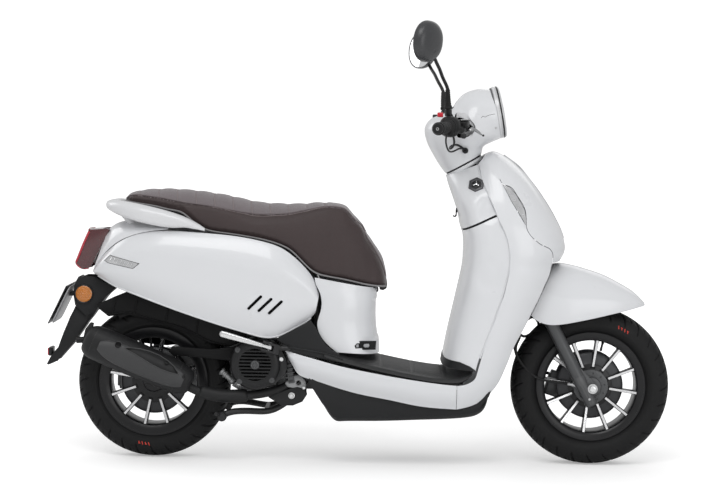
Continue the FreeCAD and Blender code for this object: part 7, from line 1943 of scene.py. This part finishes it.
rr_ = block("rear_reflector_base", (-921.5, 0, 311), X_, Y_, Z_, 5.0, 30, 12.5)
done(rr_, SATIN, "frame", (), bevel=2.5, seg=3)
rl_ = block("rear_reflector_lens", (-927, 0, 311), X_, Y_, Z_, 2.6, 27.5, 10.5)
ct = [block("c", (-930, -26 + 4 * k, 311), X_, Y_, Z_, 1.2, 0.5, 14) for k in range(14)]
boolean(rl_, [join("x", ct)])
done(rl_, REDE, "frame", (), bevel=0.6)

# ------------------------------------------------------------------ under-seat cover
US = [((54, 523), (-128, 556), 149), ((55, 508), (-124, 537), 150), ((56, 490), (-112, 512), 152), ((56, 450), (-108, 462), 154), ((58, 410), (-118, 420), 156), ((64, 365), (-98, 372), 158), ((66, 330), (-60, 338), 158)]
G = ribs([(C, S, w - 0.5, 3.0) for C, S, w in US], 90, 66)
N = gnormals(G)
if N[45, 65, 0] < 0:
    N = -N
# broad inset on the front face
yy_ = np.abs(G[..., 1])
ins2 = 3.0 * np.clip((96 - yy_) / 10, 0, 1) * np.clip((G[..., 2] - 372) / 8, 0, 1) * np.clip((492 - G[..., 2]) / 8, 0, 1) * (G[..., 0] > 20)
G = G - N * ins2[..., None]
us = shell("under_seat_cover_shell", G, 3.0, N=N)
boolean(us, [plate("c", [(-5, 349), (44, 351), (50, 358), (47, 367), (-2, 364), (-8, 357)], -200, -60)])
done(us, WHITE, "frame", ("under_seat_cover",), deg=36, bevel=0.8, blim=55)
lt = [plate("l", [(22, 352.5), (33, 353.2), (36, 358), (34, 363.6), (20, 362.6), (18, 357)], -150, -145), plate("l", [(-3, 352), (4, 352.4), (4, 361.8), (-3, 360.6)], -150, -145)]
done(join("foot_slot_insert", lt), GREYP, "frame", (), bevel=1.0)
# black plate behind the slot: painted shade seen through it
bkk = plate("foot_slot_shade_backing", [(-14, 344), (54, 346), (56, 372), (-14, 370)], -142, -139)
done(bkk, BLACK_AND_PAINTED_SHADE, "frame", ())
lch = plate("seat_hinge_cover", [(84, 545), (86, 532), (84, 518), (74, 512), (64, 514), (62, 524), (70, 534), (74, 546)], -24, 24)
done(lch, SATIN, "frame", (), bevel=2.0, seg=3)

# ------------------------------------------------------------------ grab rail
GR = [(-452, -150, 690, 5, 6, 4), (-462, -151, 694, 7, 9, 5), (-482, -153, 701, 12, 14, 9), (-508, -154, 710, 15, 17, 14), (-540, -154, 717.5, 17, 21, 23), (-590, -152, 727, 18, 25, 28), (-640, -145, 737, 19, 25, 28), (-672, -132, 744, 20, 23, 26), (-700, -112, 750, 21, 20, 23), (-722, -84, 755, 22, 16, 18), (-733, -46, 758, 22, 15, 16), (-737, 0, 759, 22, 14, 15)]
Gr = [(x, y, z, a_, up_h, dn) for x, y, z, a_, up_h, dn in GR]
Gr = Gr + [(x, -y, z, a_, u2, d2) for x, y, z, a_, u2, d2 in Gr[-2::-1]]
T = spl(np.array(Gr, float), 190)
P = T[:, :3]
Tt = np.gradient(P, axis=0)
Tt /= np.linalg.norm(Tt, axis=1, keepdims=True)
R = []
for i in range(len(P)):
    acr = np.cross(Tt[i], (0, 0, 1.0))
    acr /= np.linalg.norm(acr)
    outw = acr if np.dot(acr, P[i] - np.array([-560, 0, 730])) > 0 else -acr
    upv = np.array([0, 0, 1.0])
    a_, u2, d2 = T[i, 3:]
    row = []
    for k in range(48):
        t = 2 * math.pi * k / 48
        c, q = math.cos(t), math.sin(t)
        c, q = np.sign(c) * abs(c) ** 0.72, np.sign(q) * abs(q) ** 0.72
        # wedge: crest towards the seat, outer edge lower
        off = (-c) * 0.22 * u2 if q > 0 else (-c) * 0.10 * d2
        row.append(P[i] + outw * a_ * c + upv * ((u2 * 0.92 if q > 0 else d2 * 0.95) * q + off))
    R.append(row)
gr_ = solid_loft("grab_rail_bar", np.array(R))
done(gr_, SILVER, "frame", ("grab_rail",), deg=45)
for s, nm in ((-1, "right"), (1, "left")):
    stub = tube("rail_stub_" + nm, [(-706, 60 * s, 740), (-690, 66 * s, 722), (-676, 70 * s, 704), (-668, 72 * s, 690)], [13, 12, 11, 10], 24, 30)
    done(stub, SILVER, "frame", ())
    seam = tube("rail_seam_" + nm, [R[i][12 if True else 0] + np.array([0, 0, 0.2]) for i in (range(20, 78, 4) if s < 0 else range(112, 170, 4))], 0.7, 6, 60)
    bpy.data.objects.remove(seam, do_unlink=True)

# ================================================================== seat
ST = [
    (-697, 778, 772, 768, 56, 62), (-691, 788, 777, 767, 70, 77), (-676, 796, 785, 765, 83, 91), (-640, 803, 786, 760, 96, 105), (-602, 805.5, 782, 755, 104, 114), (-560, 806, 776, 746, 110, 120), (-521, 804, 769, 737, 114, 124), (-483, 801, 764, 707, 117.5, 128), (-446, 796, 760, 688, 120, 130),
    (-389, 787, 750, 679, 122, 134), (-310, 770, 738, 668, 122, 138), (-258, 765.5, 737, 657, 120, 140), (-205, 765, 741, 636, 116, 140), (-179, 766, 746, 614, 113, 139), (-153, 768, 751, 588, 110, 138), (-132, 770.5, 756, 571, 107, 137), (-111, 771.5, 760, 562, 104, 135), (-88, 772, 762, 557, 101, 133.5),
    (-66, 770, 760.5, 553, 96.5, 130), (-48, 766, 757, 550, 92, 128), (-30, 755, 742, 546, 88, 124), (-12, 738, 722, 542, 84, 120), (8, 714, 702, 537, 79, 113), (22, 692, 672, 534, 76, 108), (38, 671, 648, 531, 71, 100), (53, 648, 622, 529, 67, 94), (64, 628, 601, 528, 62, 87), (73, 606, 579, 527, 57, 79), (80, 580, 556, 527, 48, 66), (83.5, 558, 542, 527, 38, 52),
]
STn = spl(np.array(ST, float), 150)


def seat_section(x, zt, zp, zl, wt, ws, m=26, grow=0.0):
    """Half outline from the middle of the top, over the piping, to the lower edge; grow pushes it outwards."""
    pts = []
    ztop = zt + grow
    for k in range(m):
        f = k / (m - 1.0)
        # crowned top
        y = wt * math.sin(f * math.pi / 2) ** 0.9 if False else wt * f
        z = ztop - (ztop - zp - 2.5) * (f ** 2.6)
        pts.append((y, z))
    # shoulder rolls down to the side
    n2 = 18
    for k in range(1, n2):
        f = k / (n2 - 1.0)
        y = wt + (ws + grow - wt) * (1 - (1 - f) ** 2.2) ** 0.75
        z = zp + 2.5 + (zl - zp - 2.5) * f ** 1.15
        pts.append((y, z))
    return pts


def seat_rings(shrink):
    R = []
    for i, (x, zt, zp, zl, wt, ws) in enumerate(STn):
        c = np.array([0.0, (zt + zl) / 2])
        half = [np.array(p) for p in seat_section(x, zt - shrink, zp - shrink * 0.8, zl, wt - shrink * 0.6, ws - shrink)]
        ring = [(x, -p[0], p[1]) for p in half[::-1]] + [(x, p[0], p[1]) for p in half[1:]]
        low = half[-1]
        for f in np.linspace(0, 1, 14)[1:-1]:
            ring.append((x, low[0] * (1 - 2 * f), low[1] + 0))
        R.append(ring)
    return np.array(R)


R = seat_rings(10.0)
shape = solid_loft("seat_cushion_body", R)
target = seat_rings(0.0)


def cloth_inflate(o, voxel=6.0, press=4.0, cap=26.0, frames_=16):
    """Blows the closed skin up with pressure, its base pinned, and returns the settled mesh with the displacement
    capped.
    """
    m = o.modifiers.new("r", "REMESH")
    m.mode, m.voxel_size = "VOXEL", voxel * K
    apply(o)
    bm = bmesh.new()
    bm.from_mesh(o.data)
    bmesh.ops.smooth_vert(bm, verts=bm.verts, factor=0.5, use_axis_x=True, use_axis_y=True, use_axis_z=True)
    bmesh.ops.smooth_vert(bm, verts=bm.verts, factor=0.5, use_axis_x=True, use_axis_y=True, use_axis_z=True)
    bm.to_mesh(o.data)
    bm.free()
    n = len(o.data.vertices)
    rest = np.zeros(n * 3)
    o.data.vertices.foreach_get("co", rest)
    rest = rest.reshape(-1, 3)
    # the base board and its lower edge stay put
    vg = o.vertex_groups.new(name="pin")
    zlow = np.interp(rest[:, 0] / K, STn[:, 0], STn[:, 3])
    zpip = np.interp(rest[:, 0] / K, STn[:, 0], STn[:, 2])
    hgt = (rest[:, 2] / K - zlow)
    wgt = np.clip(1 - hgt / 10.0, 0, 1)
    for i in np.nonzero(wgt > 0)[0]:
        vg.add([int(i)], float(wgt[i]), "REPLACE")
    c = o.modifiers.new("c", "CLOTH")
    st = c.settings
    st.quality = 5
    st.mass = 0.3
    st.tension_stiffness = st.compression_stiffness = 12
    st.shear_stiffness = 6
    st.bending_stiffness = 1.2
    st.use_pressure = True
    st.uniform_pressure_force = press
    st.vertex_group_mass = "pin"
    st.effector_weights.gravity = 0
    st.tension_damping = st.compression_damping = 15
    st.air_damping = 2
    c.collision_settings.use_collision = False
    c.point_cache.frame_start, c.point_cache.frame_end = 1, frames_
    for f in range(1, frames_ + 1):
        sc.frame_set(f)
    dg = bpy.context.evaluated_depsgraph_get()
    me = bpy.data.meshes.new_from_object(o.evaluated_get(dg))
    out = np.zeros(n * 3)
    me.vertices.foreach_get("co", out)
    out = out.reshape(-1, 3)
    d_ = out - rest
    L = np.linalg.norm(d_, axis=1, keepdims=True)
    out = rest + d_ * np.minimum(1, cap * K / np.maximum(L, 1e-9))
    print("cloth moved mm", round(float(L.mean() / K), 2), round(float(L.max() / K), 2))
    o.modifiers.clear()
    o.data = me
    o.data.vertices.foreach_set("co", out.ravel())
    sc.frame_set(1)
    return rest, out


SEAM_X = [-655, -600, -545, -490, -435, -380, -325, -270, -215, -160, -105]
rest, out = None, None
rest, out = cloth_inflate(shape)
m_ = shape.modifiers.new("s", "SUBSURF")
m_.levels = m_.render_levels = 1
apply(shape)


def seat_fit(o):
    """Brings the settled skin to the upholstered height, keeping its crown and softness, then draws in the seams."""
    me = o.data
    n = len(me.vertices)
    co = np.zeros(n * 3)
    me.vertices.foreach_get("co", co)
    co = co.reshape(-1, 3) / K
    x = co[:, 0]
    f = lambda k: np.interp(x, STn[:, 0], STn[:, k])
    zt, zp, zl, wt, ws = f(1), f(2), f(3), f(4), f(5)
    y, z = co[:, 1], co[:, 2]
    ay = np.abs(y)
    # measured height of the settled skin along the middle and its side width, against the outline wanted
    bins = np.arange(-690, 92, 6.0)
    mid = ay < 22
    idx = np.digitize(x, bins)
    top_now = np.full(len(bins) + 1, np.nan)
    wid_now = np.full(len(bins) + 1, np.nan)
    for b in range(len(bins) + 1):
        s1 = (idx == b) & mid
        if s1.any():
            top_now[b] = z[s1].max()
        s2 = idx == b
        if s2.any():
            wid_now[b] = ay[s2].max()
    bc = np.r_[bins[0] - 3, bins + 3]
    ok = ~np.isnan(top_now)
    k5 = np.ones(3) / 3
    tn = np.convolve(np.pad(top_now[ok], 1, mode="edge"), k5, "valid")
    wn = np.convolve(np.pad(wid_now[ok], 1, mode="edge"), k5, "valid")
    dz = np.interp(x, bc[ok], np.interp(bc[ok], STn[:, 0], STn[:, 1]) - tn)
    dw = np.interp(x, bc[ok], np.interp(bc[ok], STn[:, 0], STn[:, 5]) - wn)
    h = np.clip((z - zl) / np.maximum(zt - zl, 1), 0, 1)
    z2 = z + 0.5 * np.clip(dz, -6, 6) * h
    y2 = y + 0.3 * np.sign(y) * np.clip(dw, -6, 6) * np.clip(ay / np.maximum(ws, 1), 0, 1) * (1 - 0.5 * h)
    co[:, 1], co[:, 2] = y2, z2
    ay = np.abs(y2)
    # stitched channels across the top panel
    topm = np.clip((z2 - (zp - 3)) / 5.0, 0, 1) * np.clip((wt + 4 - ay) / 6.0, 0, 1)
    sd = np.zeros(n)
    for i, sx in enumerate(SEAM_X):
        xs = sx + 10.0 * (ay / 110.0) ** 2
        d0 = np.abs(x - xs)
        sd = np.maximum(sd, 1.9 * np.exp(-(d0 / 3.4) ** 2) + 1.0 * np.exp(-(d0 / 11.0) ** 2))
    sd2 = np.zeros(n)
    mid_h = 0.6 * np.cos(2 * math.pi * (x - SEAM_X[0]) / 55.0 + math.pi)
    on = np.clip((x + 668) / 8, 0, 1) * np.clip((-92 - x) / 8, 0, 1)
    co[:, 2] -= (sd - mid_h * 0.8) * topm * on
    # front apron channel down the nose
    for sx, sz in ((-12, 735), (38, 664)):
        d0 = np.abs((x - sx) * 0.8 + (z2 - sz) * 0.6)
        co[:, 0] -= 2.8 * np.exp(-(d0 / 3.4) ** 2) * np.clip((wt - ay) / 6, 0, 1) * (z2 > zp - 6)
    # shallow dip below the piping
    band = np.exp(-((z2 - (zp - 1)) / 4.0) ** 2) * np.clip((ay - wt + 8) / 8, 0, 1)
    co[:, 1] -= np.sign(y2) * 2.6 * band
    me.vertices.foreach_set("co", (co * K).ravel())
    me.update()
    return co


# the settled skin is drawn over the foam it covers: most of the way to the upholstered outline, then relaxed
foam = solid_loft("foam_outline", seat_rings(0.0))
from mathutils.bvhtree import BVHTree
bmf = bmesh.new()
bmf.from_mesh(foam.data)
bvf = BVHTree.FromBMesh(bmf)
bmf.free()
bpy.data.objects.remove(foam, do_unlink=True)
bm = bmesh.new()
bm.from_mesh(shape.data)
for v in bm.verts:
    q = bvf.find_nearest(v.co)[0]
    d_ = q - v.co
    if d_.length > 0.022:
        d_ *= 0.022 / d_.length
    v.co += d_ * 0.78
bmesh.ops.smooth_vert(bm, verts=bm.verts, factor=0.4, use_axis_x=True, use_axis_y=True, use_axis_z=True)
bm.to_mesh(shape.data)
bm.free()
co = seat_fit(shape)
# one leather in two colours: the upward-facing top panel is painted lighter and greyer as a painted sheen of light, the
# sides keep the darker leather
me = shape.data
me.materials.clear()
me.materials.append(SEAT)
me.materials.append(SEAT_TOP_SHEEN)
for p in me.polygons:
    c = p.center / K
    zp_, wt_ = np.interp(c.x, STn[:, 0], STn[:, 2]), np.interp(c.x, STn[:, 0], STn[:, 4])
    p.material_index = 1 if (c.z > zp_ - 1.5 and abs(c.y) < wt_ + (6 if c.x < -40 else -1) and p.normal.z > (-0.1 if c.x < -40 else 0.12)) else 0
    p.use_smooth = True
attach(shape, "seat")
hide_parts("seat_cushion")

# ray helper on the finished cushion
bm = bmesh.new()
bm.from_mesh(shape.data)
bv = BVHTree.FromBMesh(bm)


def hit(o_, d):
    r = bv.ray_cast(Vector(np.array(o_) * K), Vector(d).normalized())
    return None if r[0] is None else (np.array(r[0]) / K, np.array(r[1]))


# piping between the top panel and the sides, along each side
for s, nm in ((-1, "right"), (1, "left")):
    pp = []
    for x, zt, zp, zl, wt, ws in STn[4:-4:2]:
        r = hit((x, s * 260, zp + 0.5), (0, -s, 0))
        if r:
            p, q = r
            pp.append(p + q * 0.8)
    done(tube("seat_piping_" + nm, pp, 2.1, 10, 260), PIP2, "seat", ())
    # pale stitch line above the piping
    pp = []
    for x, zt, zp, zl, wt, ws in STn[6:-10:3]:
        r = hit((x, s * (wt - 5), 900), (0, 0, -1))
        if r and r[1][2] > 0.1:
            pp.append(r[0] + r[1] * 0.25)
    done(tube("seat_stitch_" + nm, pp, 0.7, 6, 300), THRD, "seat", ())
    # lower trim bead
    pp = []
    for x, zt, zp, zl, wt, ws in STn[3:-3:3]:
        pp.append((x, s * (ws + 0.4), zl + 1.6))
    done(tube("seat_lower_bead_" + nm, pp, 2.6, 10, 220), PIPING, "seat", ())
# sewn threads lying in each channel
for i, sx in enumerate(SEAM_X):
    pp = []
    wt_ = float(np.interp(sx, STn[:, 0], STn[:, 4])) - 7
    for y in np.linspace(-wt_, wt_, 44):
        r = hit((sx + 10.0 * (abs(y) / 110.0) ** 2, y, 900), (0, 0, -1))
        if r:
            pp.append(r[0] + r[1] * 0.5)
    done(tube("seat_channel_thread_%02d" % (i + 1), pp, 1.1, 8, 90), THRD, "seat", ())
bm.free()

# ================================================================== what is carried over from the CAD
CARRY = {
    "frame": FRAMEP, "floorboard": MAT, "tail_lamp": REDL, "plate_bracket": SATIN, "storage_bucket": BLACKP, "fuel_tank": FRAMEP, "frame_fittings": SATIN, "steering_stem_yoke": FRAMEP, "handlebar": SATIN,
    "bar_controls": SATIN, "mirror_stems": SATIN, "fork_sliders": GRAPH, "front_axle": STEEL, "front_caliper": GRAPH, "crankcase": CAST, "transmission_cover": CAST, "cylinder": CAST, "rear_hugger": BLACKP,
    "crankshaft_fan": STEEL, "rear_rim": RIM, "kick_lever": STEEL, "centre_stand": FRAMEP, "shock_body": SATIN, "shock_rod": STEEL, "shock_spring": material("spring_paint", (0.50, 0.02, 0.02), 0.35, bump=0.06, scale=400, coat=0.3, var=0.08),
    "seat_pan": BLACKP, "lenses": LENS, "exhaust": MUFF, "ignition_barrel": CHROME, "cables": GRIP, "throttle_grip": GRIP, "left_grip": GRIP, "lower_fairings": WHITE, "side_panels": WHITE, "instrument": SATIN,
}
for n, o in frame["nodes"].items():
    mt = CARRY.get(n)
    if mt is None:
        mt = SATIN
    o.data.materials.clear()
    o.data.materials.append(mt)

# ================================================================== stage, light, camera
def stage_mesh(name, V_, F, mat):
    me = bpy.data.meshes.new(name)
    me.from_pydata(V_, [], F)
    o = bpy.data.objects.new(name, me)
    sc.collection.objects.link(o)
    for p in me.polygons:
        p.use_smooth = True
    me.materials.append(mat)
    return o


FLOOR = bpy.data.materials.new("floor_pale")
FLOOR.use_nodes = True
nt = FLOOR.node_tree
b = nt.nodes["Principled BSDF"]
b.inputs["Base Color"].default_value = (0.93, 0.93, 0.93, 1)
b.inputs["Roughness"].default_value = 0.75
b.inputs["Specular IOR Level"].default_value = 0.15
n1 = nt.nodes.new("ShaderNodeTexNoise")
n1.inputs["Scale"].default_value = 300
bp = nt.nodes.new("ShaderNodeBump")
bp.inputs["Strength"].default_value = 0.02
nt.links.new(n1.outputs["Fac"], bp.inputs["Height"])
nt.links.new(bp.outputs[0], b.inputs["Normal"])
# the floor glows for camera rays only, less near the scooter: a painted shade pool round it, while the far floor glows
# to white
lpf = nt.nodes.new("ShaderNodeLightPath")
floor_camera_glow = nt.nodes.new("ShaderNodeMath")
floor_camera_glow.operation = "MULTIPLY"
geo_ = nt.nodes.new("ShaderNodeNewGeometry")
len_ = nt.nodes.new("ShaderNodeVectorMath")
len_.operation = "LENGTH"
floor_glow_by_distance = nt.nodes.new("ShaderNodeMapRange")
floor_glow_by_distance.interpolation_type = "SMOOTHSTEP"
for k_, v_ in (("From Min", 0.7), ("From Max", 3.2), ("To Min", 0.30), ("To Max", 0.62)):
    floor_glow_by_distance.inputs[k_].default_value = v_
nt.links.new(geo_.outputs["Position"], len_.inputs[0])
nt.links.new(len_.outputs["Value"], floor_glow_by_distance.inputs["Value"])
nt.links.new(floor_glow_by_distance.outputs["Result"], floor_camera_glow.inputs[1])
nt.links.new(lpf.outputs["Is Camera Ray"], floor_camera_glow.inputs[0])
b.inputs["Emission Color"].default_value = (1, 1, 1, 1)
nt.links.new(floor_camera_glow.outputs[0], b.inputs["Emission Strength"])
stage_mesh("floor", [(-40, -40, 0), (40, -40, 0), (40, 40, 0), (-40, 40, 0)], [(0, 1, 2, 3)], FLOOR)

W = bpy.data.worlds.new("w")
sc.world = W
W.use_nodes = True
wn = W.node_tree
bg = wn.nodes["Background"]
bg.inputs[0].default_value = (1, 1, 1, 1)
lpn = wn.nodes.new("ShaderNodeLightPath")
mwn = wn.nodes.new("ShaderNodeMix")
mwn.inputs[2].default_value = 0.62
mwn.inputs[3].default_value = 1.05
wn.links.new(lpn.outputs["Is Camera Ray"], mwn.inputs[0])
wn.links.new(mwn.outputs[0], bg.inputs[1])


def area(name, loc, target, size, size_y, power, col=(1, 1, 1)):
    L = bpy.data.lights.new(name, "AREA")
    L.shape = "RECTANGLE"
    L.size, L.size_y, L.energy, L.color = size, size_y, power, col
    o = bpy.data.objects.new(name, L)
    o.location = loc
    o.rotation_euler = (Vector(target) - Vector(loc)).to_track_quat("-Z", "Y").to_euler()
    sc.collection.objects.link(o)
    o.visible_camera = False
    return o


area("key", (-0.6, -3.2, 4.2), (0, 0, 0.6), 3.2, 2.2, 78)
area("fill", (2.6, -4.0, 1.3), (0.1, 0, 0.5), 2.4, 2.2, 27)
area("rim_l", (-3.4, 1.8, 2.6), (-0.3, 0, 0.7), 2.0, 2.0, 26)
area("back", (1.8, 3.6, 3.0), (0, 0, 0.6), 3.0, 2.0, 14)

cd = bpy.data.cameras.new("cam")
cam = bpy.data.objects.new("cam", cd)
sc.collection.objects.link(cam)
cd.lens, cd.sensor_width = 102.864, 36.0
cd.clip_start, cd.clip_end = 0.05, 200
R_ = Vector((0.99980465, 0.01166018, 0.01595931))
U_ = Vector((-0.01660851, 0.05788269, 0.99818523))
F_ = Vector((-0.01071525, 0.9982553, -0.05806504))
M = Matrix((R_, U_, -F_)).transposed().to_4x4()
M.translation = Vector((0.0385, -6.0, 0.98325))
cam.matrix_world = M
sc.camera = cam
sc.view_settings.view_transform = "Standard"
sc.view_settings.look = "None"
sc.view_settings.exposure = 0.0

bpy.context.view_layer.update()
